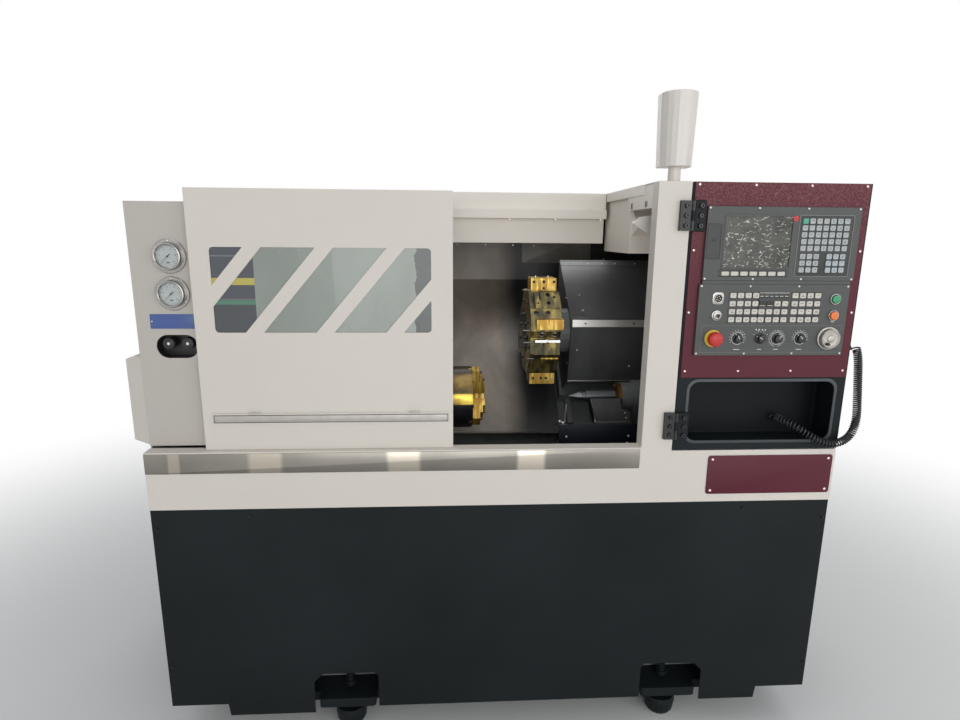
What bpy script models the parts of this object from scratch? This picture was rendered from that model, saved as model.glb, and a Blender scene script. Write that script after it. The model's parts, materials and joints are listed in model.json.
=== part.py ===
"""Slant-bed turning lathe with its sheet-metal enclosure.

Lengths are in metres. The machine frame has X to the right along the spindle, Y from the front
face towards the back and Z up from the floor. An empty moves it so that the world origin is
under the middle of the machine's box.
"""

import math

import bmesh
import bpy
from mathutils import Matrix, Vector

# General
SHEET = 0.003  # thickness of the sheet-metal covers
GAP = 0.0003  # clearance between pieces that touch
RUNNING = 0.0005  # radial clearance of turning and sliding fits
ROUND = 24  # sides of a large turned piece
SMALL_ROUND = 16  # sides of a small turned piece

# Enclosure
FRONT_WIDTH = 2.0
HALF_WIDTH = FRONT_WIDTH / 2
BODY_DEPTH = 1.15
FLOOR_GAP = 0.100  # floor to the underside of the base frame
FRAME_THICKNESS = 0.030
BASE_TOP = 0.7786  # top of the black base
SILL_TOP = 0.9509  # ledge that the sliding door stands over
COLUMN_TOP = 1.6957
CONTROL_SIDE = 0.589  # column and control door together, from the right side
COLUMN_LEFT = HALF_WIDTH - CONTROL_SIDE
COLUMN_WIDTH = 0.091
COLUMN_DEPTH = 0.050
LEDGE_DEPTH = 0.0455
CABINET_DEPTH = 0.22
CABINET_WIDTH = 1.10
CABINET_HEIGHT = 1.05
END_GUARD_REACH = 0.066
END_GUARD_HEIGHT = 0.262
END_GUARD_DEPTH = 0.62
HOOD_FRONT = 0.55  # front edge of the fixed roof

HOOD_LEFT = -0.86
FASCIA_HEIGHT = 0.055
RAIL_HEIGHT = 0.032
RAIL_REACH = 0.013
RECESS_HEIGHT = 0.084

# Kick panel outline
KICK_BOTTOM = 0.130
SKIRT_DROP = 0.040
ARCH_TOP = 0.2265
ARCH_CHAMFER = 0.028
ARCH_WIDTH = 0.197
SKIRT_WIDTH = 0.260
MIDDLE_DROP = 0.0235

# Feet
FOOT_LEFT_X = -0.468
FOOT_RIGHT_X = 0.557
FOOT_FRONT_Y = 0.085
FOOT_PAD_RADIUS = 0.050
FOOT_PAD_HEIGHT = 0.058
FOOT_BOLT_RADIUS = 0.012
LUG_WIDTH = 0.176
LUG_REACH = 0.070

# Spindle and headstock
SPINDLE_Y = 0.400
SPINDLE_Z = 1.005
SPINDLE_RADIUS = 0.050
SPINDLE_BORE = 0.026
SPINDLE_REAR = -0.800
NOSE_X = -0.200
NOSE_LENGTH = 0.025
NOSE_RADIUS = 0.080
CHUCK_RADIUS = 0.106
CHUCK_LENGTH = 0.109
JAW_COUNT = 3
JAW_WIDTH = 0.040
JAW_HEIGHT = 0.044
JAW_SEAT = 0.012
JAW_INNER = 0.020
JAW_OUTER = 0.1045
JAW_FIRST_ANGLE = 100.0
CYLINDER_RADIUS = 0.088
CYLINDER_LENGTH = 0.120
SPINDLE_PULLEY_RADIUS = 0.100
MOTOR_PULLEY_RADIUS = 0.075
PULLEY_WIDTH = 0.066
PULLEY_RIM = 0.006
PULLEY_X = -0.710
BELT_THICKNESS = 0.005
MOTOR_Y = 0.450
MOTOR_Z = 0.300
MOTOR_LENGTH = 0.340
MOTOR_SIZE = 0.220
HEADSTOCK_LEFT = -0.640
HEADSTOCK_LENGTH = 0.400

# Slant bed, in the bed's own directions: up the slope and square to it
SLANT = math.radians(45.0)
AXIS_HEIGHT = 0.320  # spindle axis above the bed's slanted face
BED_LEFT = -0.640
BED_RIGHT = 0.800
BED_LOW = -0.320
BED_HIGH = 0.557
BED_BACK = 1.120
BED_FRONT = 0.120
TOE_TOP = 0.360
TOE_RISE = 0.080
WAY_LOW = -0.200
WAY_HIGH = -0.020
WAY_HEIGHT = 0.030
RAIL_WIDTH = 0.025
RAIL_TOP = 0.022
LOWER_RAIL = 0.050
UPPER_RAIL = 0.450
RAIL_START = -0.150
SCREW_SLOPE = 0.250
SCREW_RADIUS = 0.0125
BED_WALL = 0.035
CHAMBER_DEPTH = 0.080
CHAMBER_LENGTH = 0.270
TROUGH_WIDTH = 0.080
TROUGH_DEPTH = 0.040

# Carriage and turret
CARRIAGE_X = 0.275
CARRIAGE_LENGTH = 0.300
SADDLE_LOW = 0.015
SADDLE_HIGH = 0.485
SADDLE_FOOT = 0.006
SADDLE_UNDER = 0.035
SADDLE_TOP = 0.070
CROSS_RAIL_WIDTH = 0.020
CROSS_RAIL_HEIGHT = 0.025
CROSS_RAIL_INSET = 0.035
CROSS_LOW = 0.120
CROSS_HIGH = 0.440
CROSS_TOP = 0.125
CROSS_SCREW_RADIUS = 0.010
CROSS_SCREW_HEIGHT = 0.060
CROSS_TROUGH_WIDTH = 0.040
CROSS_MOTOR = 0.080
CROSS_MOTOR_LENGTH = 0.130
TURRET_SLOPE = 0.285
HOUSING_RADIUS = 0.082
HOUSING_LENGTH = 0.250
TURRET_LEFT = 0.172
TURRET_LENGTH = 0.078
TURRET_FLAT_RADIUS = 0.135
STATIONS = 8
BLOCK_HEIGHT = 0.060
BLOCK_WIDTH = 0.092
BLOCK_LEFT = 0.152
BLOCK_LENGTH = 0.098
COVER_LEFT = 0.295
COVER_LENGTH = 0.400
COVER_TOP = (0.780, 1.457)
COVER_RIDGE = (0.500, 1.246)
COVER_FOOT = (0.540, 1.026)
WAY_COVER_HEIGHT = 0.107
WAY_COVER_LOW = -0.033
FIXED_COVER_RIGHT = 0.135
SLIDING_COVER_LEFT = 0.020

# Tailstock
TAIL_LEFT = 0.498
TAIL_LENGTH = 0.170
TAIL_RADIUS = 0.055
TAIL_NECK_LOW = -0.150
TAIL_CAP_RADIUS = 0.047
TAIL_CAP_LENGTH = 0.046
QUILL_RADIUS = 0.022
QUILL_TIP = 0.272
QUILL_POINT = 0.040

# Splash guard in front of the tailstock
GUARD_Y = 0.200
GUARD_TOP = 0.962
GUARD_LEFT = 0.205

# Sliding door
DOOR_FACE = 0.020
DOOR_LEFT = -0.8346
DOOR_WIDTH = 0.698
DOOR_TOP = 1.665
DOOR_RETURN = 0.023
WINDOW_LEFT = -0.7808
WINDOW_WIDTH = 0.585
WINDOW_BOTTOM = 1.2864
WINDOW_HEIGHT = 0.2283
WINDOW_CORNER = 0.010
BAR_COUNT = 4
BAR_PITCH = 0.190
BAR_WIDTH = 0.049
BAR_LEAN = 0.855
BAR_START = -0.6949
PANE_THICKNESS = 0.005
HANDLE_BOTTOM = 1.027
HANDLE_HEIGHT = 0.032
BAR_PROUD = 0.008  # reach of the pull rail in front of the door
PANE_BORDER = 0.018

# Headstock enclosure, gauges and pressure valves
CASE_FACE = 0.0465
CASE_TOP = 1.631
CASE_RIGHT = -0.165
GAUGE_INSET = 0.1056
GAUGE_X = GAUGE_INSET - HALF_WIDTH
GAUGE_Z = 1.489
GAUGE_PITCH = 0.0995
GAUGE_FLANGE = 0.0458
GAUGE_BEZEL = 0.0350
GAUGE_DIAL = 0.0305
GAUGE_BODY = 0.0300
GAUGE_DEPTH = 0.040
NEEDLE_LENGTH = 0.022
SLOT_INSET = 0.048
SLOT_LEFT = SLOT_INSET - HALF_WIDTH
SLOT_WIDTH = 0.112
SLOT_HEIGHT = 0.0648
SLOT_Z = 1.244
SLOT_DEPTH = 0.040
VALVE_PITCH = 0.0513
VALVE_INSET = 0.0302
VALVE_X = SLOT_LEFT + VALVE_INSET
VALVE_Z = 1.2510
VALVE_KNOB = 0.0165

# Control door
LEAF_BOTTOM = 0.9436
LEAF_RETURN = 0.040
PLATE_BOTTOM = 1.1595
PLATE_SIDE = 0.005
PLATE_THICKNESS = 0.003
OPENING_INSET = 0.0365
OPENING_LEFT = COLUMN_LEFT + COLUMN_WIDTH + 0.002 + OPENING_INSET
OPENING_WIDTH = 0.4275
OPENING_BOTTOM = 0.972
OPENING_HEIGHT = 0.174
OPENING_CORNER = 0.026
POCKET_DEPTH = 0.100
UNIT_INSET = 0.455  # upper unit's left edge from the right side
UNIT_LEFT = HALF_WIDTH - UNIT_INSET
UNIT_WIDTH = 0.428
UNIT_PROUD = 0.009
UNIT_BODY = 0.060
UNIT_BORDER = 0.016
CNC_BOTTOM = 1.4350
CNC_HEIGHT = 0.197
OPERATOR_SHIFT = 0.006
OPERATOR_LEFT = UNIT_LEFT - OPERATOR_SHIFT
OPERATOR_BOTTOM = 1.2260
OPERATOR_HEIGHT = 0.199
SCREEN_INSET = 0.053
SCREEN_LEFT = UNIT_LEFT + SCREEN_INSET
SCREEN_WIDTH = 0.185
SCREEN_BOTTOM = 1.469
SCREEN_HEIGHT = 0.138
SCREEN_RECESS = 0.002
HINGE_HEIGHT = 0.0787
HINGE_LEAF = 0.0345
HINGE_THICKNESS = 0.0095
HINGE_PIN = 0.0030
HINGE_KNUCKLE = 0.0062
HINGE_UPPER = 1.5668
HINGE_LOWER = 0.9790
KNOB_Z = 1.2745
KNOB_INSETS = (0.1199, 0.1860, 0.2335, 0.3006)
KNOB_RADIUS = 0.0155
KNOB_HEIGHT = 0.016
WHEEL_INSET = 0.3826
WHEEL_X = OPERATOR_LEFT + WHEEL_INSET
WHEEL_RADIUS = 0.033
STOP_INSET = 0.0498
STOP_X = OPERATOR_LEFT + STOP_INSET
STOP_RADIUS = 0.0195
STOP_STEM = 0.0110
BUTTON_BORE = 0.0110
BUTTON_INSET = 0.3893
BUTTON_X = OPERATOR_LEFT + BUTTON_INSET
START_Z = 1.3851
HOLD_Z = 1.3391
BUTTON_RADIUS = 0.0115
KEY_LOCK_INSET = 0.0538
KEY_LOCK_Z = 1.3390
KEY_LOCK = (OPERATOR_LEFT + KEY_LOCK_INSET, KEY_LOCK_Z)
KEY_LOCK_RADIUS = 0.0140
MAT = 0.0006
KEY_RISE = 0.0030
KEY_GROUPS = (0.0876, 0.1735, 0.2620)  # left edges of the operator unit's key groups
KEY_PITCH = 0.0209
KEY_ROWS_UP = 0.0933
KEYPAD_INSET = 0.2650
KEYPAD_PITCH = 0.0196
KEYPAD_UP = 0.0210

# Control partition, lamp and column
PARTITION_DEPTH = 0.285
LAMP_BOX_FRONT = 0.290
LAMP_BOX_INSET = 0.013
LAMP_BOX_LEFT = COLUMN_LEFT + LAMP_BOX_INSET
LAMP_BOX_BOTTOM = 1.498
SIDE_LIP_BOTTOM = 1.667
SIDE_PLATE_BOTTOM = 1.628
LANTERN_INSET = 0.068
LANTERN_X = COLUMN_LEFT + LANTERN_INSET
LANTERN_Y = 0.085
LANTERN_BOTTOM = 1.738
LANTERN_TOP = 1.930
LANTERN_FOOT_WIDTH = 0.087
LANTERN_HEAD_WIDTH = 0.099
LANTERN_DEPTH = 0.080
NECK_RADIUS = 0.018

# Curly cord, a fat tube of the coil's outer diameter
CORD_RADIUS = 0.0125
CORD_ROUTE = (
    (1.0120, 0.0200, 1.2520),
    (1.0300, 0.0180, 1.2400),
    (1.0370, 0.0120, 1.2050),
    (1.0390, 0.0040, 1.1500),
    (1.0400, -0.0050, 1.0900),
    (1.0390, -0.0130, 1.0350),
    (1.0260, -0.0190, 0.9950),
    (1.0000, -0.0220, 0.9720),
    (0.9640, -0.0230, 0.9650),
    (0.9280, -0.0210, 0.9740),
    (0.8960, -0.0120, 0.9930),
    (0.8700, 0.0080, 1.0100),
    (0.8500, 0.0420, 1.0180),
    (0.8500, 0.0700, 1.0180),
    (0.8500, 0.0962, 1.0180),
)

FRAME_TOP = FLOOR_GAP + FRAME_THICKNESS
COLUMN_RIGHT = COLUMN_LEFT + COLUMN_WIDTH
LEAF_LEFT = COLUMN_RIGHT + 0.002
HINGE_X = LEAF_LEFT + 0.001
HINGE_Y = -HINGE_KNUCKLE - 0.004
FRONT_PROUD = 0.046  # the handwheel's reach in front of the front face
UNIT_FACE = -PLATE_THICKNESS - GAP - UNIT_PROUD

ORIGIN_X = END_GUARD_REACH / 2
ORIGIN_Y = -(BODY_DEPTH + CABINET_DEPTH - FRONT_PROUD) / 2

COLOURS = {
    "white_paint": ((0.72, 0.69, 0.65), 0.45, 0.0),
    "black_paint": ((0.015, 0.018, 0.020), 0.45, 0.0),
    "liner_paint": ((0.045, 0.050, 0.058), 0.40, 0.0),
    "maroon_paint": ((0.130, 0.016, 0.026), 0.40, 0.0),
    "cast_paint": ((0.160, 0.170, 0.170), 0.55, 0.0),
    "steel": ((0.52, 0.51, 0.49), 0.30, 1.0),
    "dark_steel": ((0.10, 0.10, 0.11), 0.40, 1.0),
    "chrome": ((0.75, 0.74, 0.72), 0.12, 1.0),
    "gold_film": ((0.60, 0.42, 0.10), 0.32, 1.0),
    "aluminium": ((0.62, 0.62, 0.61), 0.35, 1.0),
    "grey_panel": ((0.060, 0.066, 0.066), 0.50, 0.0),
    "key_rubber": ((0.62, 0.60, 0.56), 0.60, 0.0),
    "black_plastic": ((0.012, 0.012, 0.013), 0.35, 0.0),
    "red_plastic": ((0.60, 0.030, 0.025), 0.35, 0.0),
    "green_plastic": ((0.010, 0.260, 0.130), 0.30, 0.0),
    "orange_plastic": ((0.850, 0.230, 0.020), 0.30, 0.0),
    "frosted_pane": ((0.45, 0.52, 0.48), 0.30, 0.0),
    "lamp_plastic": ((0.74, 0.71, 0.67), 0.35, 0.0),
    "rubber": ((0.015, 0.015, 0.015), 0.70, 0.0),
}


def clear_scene():
    for obj in list(bpy.data.objects):
        bpy.data.objects.remove(obj, do_unlink=True)


def material(name):
    found = bpy.data.materials.get(name)
    if found:
        return found
    colour, roughness, metallic = COLOURS[name]
    made = bpy.data.materials.new(name)
    made.use_nodes = True
    shader = made.node_tree.nodes["Principled BSDF"]
    shader.inputs["Base Color"].default_value = (*colour, 1.0)
    shader.inputs["Roughness"].default_value = roughness
    shader.inputs["Metallic"].default_value = metallic
    made.diffuse_color = (*colour, 1.0)
    return made


def slope_point(along, above):
    """(y, z) of a point given up the bed's slope from below the spindle and square to its face."""
    up = Vector((math.cos(SLANT), math.sin(SLANT)))
    square = Vector((-math.sin(SLANT), math.cos(SLANT)))
    foot = Vector((SPINDLE_Y, SPINDLE_Z)) - square * AXIS_HEIGHT
    return tuple(foot + up * along + square * above)


def mesh_of(points, faces):
    """A bmesh from points and faces, with its faces turned outwards."""
    made = bmesh.new()
    verts = [made.verts.new(point) for point in points]
    for face in faces:
        made.faces.new([verts[i] for i in face])
    bmesh.ops.recalc_face_normals(made, faces=made.faces)
    return made


def prism(outline, low, high, place):
    """An outline of (u, v) points carried from low to high; place(u, v, w) gives a point."""
    count = len(outline)
    points = [place(u, v, low) for u, v in outline] + [place(u, v, high) for u, v in outline]
    sides = [(i, (i + 1) % count, (i + 1) % count + count, i + count) for i in range(count)]
    return mesh_of(points, [tuple(range(count)), tuple(range(count, 2 * count)), *sides])


def prism_x(outline, left, right):
    return prism(outline, left, right, lambda y, z, x: (x, y, z))


def prism_y(outline, front, back):
    return prism(outline, front, back, lambda x, z, y: (x, y, z))


def prism_z(outline, low, high):
    return prism(outline, low, high, lambda x, y, z: (x, y, z))


def prism_slope(outline, low, high):
    """An outline of (x, height above the bed) points carried up the bed's slope."""
    return prism(outline, low, high, lambda x, above, along: (x, *slope_point(along, above)))


def box(low, high):
    outline = [(low[0], low[1]), (high[0], low[1]), (high[0], high[1]), (low[0], high[1])]
    return prism_z(outline, low[2], high[2])


def slope_box(left, right, low, high, under, over):
    return prism_slope([(left, under), (right, under), (right, over), (left, over)], low, high)


def centred_box(middle, size):
    low = [m - s / 2 for m, s in zip(middle, size)]
    high = [m + s / 2 for m, s in zip(middle, size)]
    return box(low, high)


def circle(middle, radius, count, start=0.0):
    steps = [start + 2 * math.pi * i / count for i in range(count)]
    return [(middle[0] + radius * math.cos(a), middle[1] + radius * math.sin(a)) for a in steps]


def rounded_outline(low, high, radius, steps=4):
    """A rectangle's corners, anticlockwise, each turned by an arc."""
    centres = (
        (high[0] - radius, high[1] - radius),
        (low[0] + radius, high[1] - radius),
        (low[0] + radius, low[1] + radius),
        (high[0] - radius, low[1] + radius),
    )
    points = []
    for corner, (u, v) in enumerate(centres):
        for step in range(steps + 1):
            angle = math.pi / 2 * (corner + step / steps)
            points.append((u + radius * math.cos(angle), v + radius * math.sin(angle)))
    return points


def turned(profile, centre, axis, count=ROUND):
    """A profile of (along, radius) points turned round an axis; radius 0 makes a pole.

    A profile with no pole is a closed loop, so the piece has a bore.
    """
    made = bmesh.new()
    rings = []
    for along, radius in profile:
        if radius == 0:
            rings.append([made.verts.new((along, 0, 0))])
            continue
        ring = circle((0, 0), radius, count)
        rings.append([made.verts.new((along, y, z)) for y, z in ring])
    looped = all(len(ring) > 1 for ring in rings)
    pairs = list(zip(rings, rings[1:] + rings[:1])) if looped else list(zip(rings, rings[1:]))
    for first, second in pairs:
        for i in range(count):
            j = (i + 1) % count
            if len(first) == 1:
                made.faces.new((first[0], second[i], second[j]))
            elif len(second) == 1:
                made.faces.new((first[i], first[j], second[0]))
            else:
                made.faces.new((first[i], first[j], second[j], second[i]))
    turn = {
        "x": Matrix.Identity(3),
        "y": Matrix(((0, 1, 0), (1, 0, 0), (0, 0, -1))),
        "z": Matrix(((0, 0, -1), (0, 1, 0), (1, 0, 0))),
    }[axis]
    bmesh.ops.transform(made, matrix=Matrix.Translation(centre) @ turn.to_4x4(), verts=made.verts)
    bmesh.ops.recalc_face_normals(made, faces=made.faces)
    return made


def rod(centre, radius, low, high, axis, count=SMALL_ROUND):
    return turned([(low, 0), (low, radius), (high, radius), (high, 0)], centre, axis, count)


def folded(path, thickness, left, right):
    """A sheet folded along a path of (y, z) points, its thickness on the left of the path."""
    count = len(path)
    inner = []
    for i, point in enumerate(path):
        before = Vector(path[max(i - 1, 0)])
        here = Vector(point)
        after = Vector(path[min(i + 1, count - 1)])
        first = (here - before).normalized() if i else (after - here).normalized()
        second = (after - here).normalized() if i < count - 1 else first
        bend = Vector((-(first.y + second.y), first.x + second.x)).normalized()
        reach = thickness / max(bend.dot(Vector((-first.y, first.x))), 0.2)
        inner.append(tuple(here + bend * reach))
    return prism_x(list(path) + inner[::-1], left, right)


def blank(made, name):
    mesh = bpy.data.meshes.new(name)
    made.to_mesh(mesh)
    made.free()
    obj = bpy.data.objects.new(name, mesh)
    bpy.context.scene.collection.objects.link(obj)
    return obj


def shaped(start, steps):
    """The mesh left when (operation, bmesh) steps are worked on a start with Booleans."""
    body = blank(start, "blank")
    helpers = []
    for operation, tool in steps:
        helper = blank(tool, "tool")
        helpers.append(helper)
        boolean = body.modifiers.new("step", "BOOLEAN")
        boolean.operation = operation
        boolean.solver = "EXACT"
        boolean.object = helper
    graph = bpy.context.evaluated_depsgraph_get()
    mesh = bpy.data.meshes.new_from_object(body.evaluated_get(graph))
    for obj in [body, *helpers]:
        bpy.data.objects.remove(obj, do_unlink=True)
    made = bmesh.new()
    made.from_mesh(mesh)
    bpy.data.meshes.remove(mesh)
    return made


def join(first, *others):
    return shaped(first, [("UNION", other) for other in others])


def cut(first, *tools):
    return shaped(first, [("DIFFERENCE", tool) for tool in tools])


FRAME = {}


def node(name, made, finish, origin=(0.0, 0.0, 0.0)):
    """An object of its own, whose origin lies on its joint's axis."""
    bmesh.ops.translate(made, vec=[-value for value in origin], verts=made.verts)
    obj = blank(made, name)
    obj.data.materials.append(material(finish))
    obj.location = origin
    obj.parent = FRAME["machine"]
    obj.data.shade_smooth()
    obj.data.set_sharp_from_angle(angle=math.radians(35))
    return obj


def base_pieces():
    inner = HALF_WIDTH - 0.015
    back = BODY_DEPTH - 0.020
    plate = box((-inner, 0.045, FLOOR_GAP), (inner, back, FRAME_TOP))
    feet = [
        (x, y) for y in (FOOT_FRONT_Y, BODY_DEPTH - FOOT_FRONT_Y) for x in (FOOT_LEFT_X, FOOT_RIGHT_X)
    ]
    lugs = []
    for x in (FOOT_LEFT_X, FOOT_RIGHT_X):
        outline = rounded_outline((x - LUG_WIDTH / 2, 0.010), (x + LUG_WIDTH / 2, LUG_REACH), 0.010, 2)
        lugs.append(prism_z(outline, FLOOR_GAP, FRAME_TOP))
    bays = [
        box((left, 0.20, FLOOR_GAP - 0.01), (left + 0.34, back - 0.16, FRAME_TOP + 0.01))
        for left in (-0.88, -0.41, 0.06, 0.53)
    ]
    nut = 0.019
    profile = [
        (0, 0),
        (0, FOOT_PAD_RADIUS * 0.78),
        (0.012, FOOT_PAD_RADIUS * 0.92),
        (FOOT_PAD_HEIGHT * 0.75, FOOT_PAD_RADIUS),
        (FOOT_PAD_HEIGHT, FOOT_PAD_RADIUS * 0.94),
        (FOOT_PAD_HEIGHT, nut),
        (FLOOR_GAP + 0.001, nut),
        (FLOOR_GAP + 0.001, FOOT_BOLT_RADIUS),
        (FRAME_TOP - 0.001, FOOT_BOLT_RADIUS),
    ]
    bolt_end = [
        (FRAME_TOP - 0.001, nut),
        (FRAME_TOP + 0.014, nut),
        (FRAME_TOP + 0.014, FOOT_BOLT_RADIUS),
        (FRAME_TOP + 0.040, FOOT_BOLT_RADIUS),
        (FRAME_TOP + 0.040, 0),
    ]
    stands = []
    for x, y in feet:
        in_front = y < BED_FRONT
        whole = profile + (bolt_end if in_front else [(FRAME_TOP - 0.001, 0)])
        stands.append(turned(whole, (x, y, 0), "z", SMALL_ROUND))
    node("base_frame", join(cut(join(plate, *lugs), *bays), *stands), "black_paint")

    left_arch = FOOT_LEFT_X - ARCH_WIDTH / 2
    right_arch = FOOT_RIGHT_X - ARCH_WIDTH / 2
    skirt = KICK_BOTTOM - SKIRT_DROP
    middle = KICK_BOTTOM - MIDDLE_DROP
    outline = [
        (-HALF_WIDTH, KICK_BOTTOM),
        (left_arch - SKIRT_WIDTH - 0.005, KICK_BOTTOM),
        (left_arch - SKIRT_WIDTH, skirt),
        (left_arch, skirt),
        (left_arch, ARCH_TOP - ARCH_CHAMFER),
        (left_arch + ARCH_CHAMFER, ARCH_TOP),
        (left_arch + ARCH_WIDTH - 0.012, ARCH_TOP),
        (left_arch + ARCH_WIDTH, ARCH_TOP - 0.012),
        (left_arch + ARCH_WIDTH, middle),
        (right_arch, middle),
        (right_arch, ARCH_TOP - 0.012),
        (right_arch + 0.012, ARCH_TOP),
        (right_arch + ARCH_WIDTH - ARCH_CHAMFER, ARCH_TOP),
        (right_arch + ARCH_WIDTH, ARCH_TOP - ARCH_CHAMFER),
        (right_arch + ARCH_WIDTH, skirt),
        (right_arch + ARCH_WIDTH + SKIRT_WIDTH * 0.7, skirt),
        (right_arch + ARCH_WIDTH + SKIRT_WIDTH * 0.7 + 0.005, KICK_BOTTOM),
        (HALF_WIDTH, KICK_BOTTOM),
        (HALF_WIDTH, BASE_TOP - GAP),
        (-HALF_WIDTH, BASE_TOP - GAP),
    ]
    face = 0.003
    node("kick_panel", prism_y(outline, face, face + SHEET), "black_paint")

    lip = 0.035
    front = face + SHEET + GAP
    rear = BODY_DEPTH
    wall = [
        (-HALF_WIDTH + lip, front),
        (-HALF_WIDTH, front),
        (-HALF_WIDTH, rear),
        (HALF_WIDTH, rear),
        (HALF_WIDTH, front),
        (HALF_WIDTH - lip, front),
        (HALF_WIDTH - lip, front + SHEET),
        (HALF_WIDTH - SHEET, front + SHEET),
        (HALF_WIDTH - SHEET, rear - SHEET),
        (-HALF_WIDTH + SHEET, rear - SHEET),
        (-HALF_WIDTH + SHEET, front + SHEET),
        (-HALF_WIDTH + lip, front + SHEET),
    ]
    skirt_low = KICK_BOTTOM + GAP
    shelf = [
        box((side * (HALF_WIDTH - 0.014) - 0.014, 0.06, skirt_low),
            (side * (HALF_WIDTH - 0.014) + 0.014, rear - 0.02, skirt_low + SHEET))
        for side in (-1, 1)
    ]
    node("base_skirt", join(prism_z(wall, skirt_low, BASE_TOP - GAP), *shelf), "black_paint")


def bed_pieces():
    low_y, low_z = slope_point(BED_LOW, 0)
    high_y, high_z = slope_point(BED_HIGH, 0)
    section = [
        (BED_FRONT, FRAME_TOP + GAP),
        (BED_BACK, FRAME_TOP + GAP),
        (BED_BACK, high_z),
        (high_y, high_z),
        slope_point(WAY_HIGH, 0),
        slope_point(WAY_HIGH, WAY_HEIGHT),
        slope_point(WAY_LOW, WAY_HEIGHT),
        slope_point(WAY_LOW, 0),
        (low_y, low_z),
        (low_y, TOE_TOP + TOE_RISE),
        (BED_FRONT, TOE_TOP),
    ]
    trough = slope_box(
        RAIL_START, BED_RIGHT + 0.01, SCREW_SLOPE - TROUGH_WIDTH / 2, SCREW_SLOPE + TROUGH_WIDTH / 2,
        -TROUGH_DEPTH, 0.01,
    )
    reach = MOTOR_SIZE / 2 + 0.045
    bay = box(
        (BED_LEFT - 0.01, MOTOR_Y - reach, FRAME_TOP - 0.01),
        (BED_LEFT + MOTOR_LENGTH + 0.05, MOTOR_Y + reach, MOTOR_Z + reach),
    )
    wall = BED_WALL
    chamber = [
        (BED_FRONT + wall, FRAME_TOP - 0.01), (BED_BACK - wall, FRAME_TOP - 0.01),
        (BED_BACK - wall, high_z - wall), (high_y + wall / 2, high_z - wall),
        slope_point(BED_LOW + 0.010, -CHAMBER_DEPTH), (BED_FRONT + wall, TOE_TOP - wall / 2),
    ]
    cores = []
    for i in range(3):
        left = -0.140 + i * (CHAMBER_LENGTH + wall)
        cores.append(prism_x(chamber, left, left + CHAMBER_LENGTH))
        outline = rounded_outline((left + 0.03, 0.20), (left + CHAMBER_LENGTH - 0.03, 0.32), 0.03, 2)
        cores.append(prism_y(outline, BED_FRONT - 0.01, BED_FRONT + 2 * wall))
    behind = MOTOR_Y + reach + wall
    rise = slope_point(0, -CHAMBER_DEPTH)
    rear = [
        (behind, FRAME_TOP - 0.01), (BED_BACK - wall, FRAME_TOP - 0.01), (BED_BACK - wall, high_z - wall),
        (high_y + wall / 2, high_z - wall), (behind, rise[1] + behind - rise[0]),
    ]
    cores.append(prism_x(rear, BED_LEFT + wall, -0.140 - wall))
    half = RAIL_WIDTH / 2
    neck = half - 0.003
    outline = [
        (-half, -0.002), (half, -0.002), (half, 0.008), (neck, 0.011),
        (half, 0.014), (half, RAIL_TOP), (-half, RAIL_TOP), (-half, 0.014),
        (-neck, 0.011), (-half, 0.008),
    ]
    rails = []
    for slope in (LOWER_RAIL, UPPER_RAIL):
        profile = [slope_point(slope + along, above) for along, above in outline]
        rails.append(prism_x(profile, RAIL_START, BED_RIGHT - 0.02))
    bed = cut(prism_x(section, BED_LEFT, BED_RIGHT), trough, bay, *cores)
    node("bed_casting", join(bed, *rails), "cast_paint")

    screw_y, screw_z = slope_point(SCREW_SLOPE, 0)
    node(
        "z_screw",
        rod((0, screw_y, screw_z), SCREW_RADIUS, RAIL_START + GAP, BED_RIGHT, "x"),
        "steel",
        (RAIL_START, screw_y, screw_z),
    )
    half = 0.060
    body = slope_box(BED_RIGHT + GAP, BED_RIGHT + 0.150, SCREW_SLOPE - half, SCREW_SLOPE + half, -half, half)
    flange = slope_box(BED_RIGHT + GAP, BED_RIGHT + 0.015, SCREW_SLOPE - 0.075, SCREW_SLOPE + 0.075, -0.075, half)
    node("z_motor", join(body, flange), "black_plastic")


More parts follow.
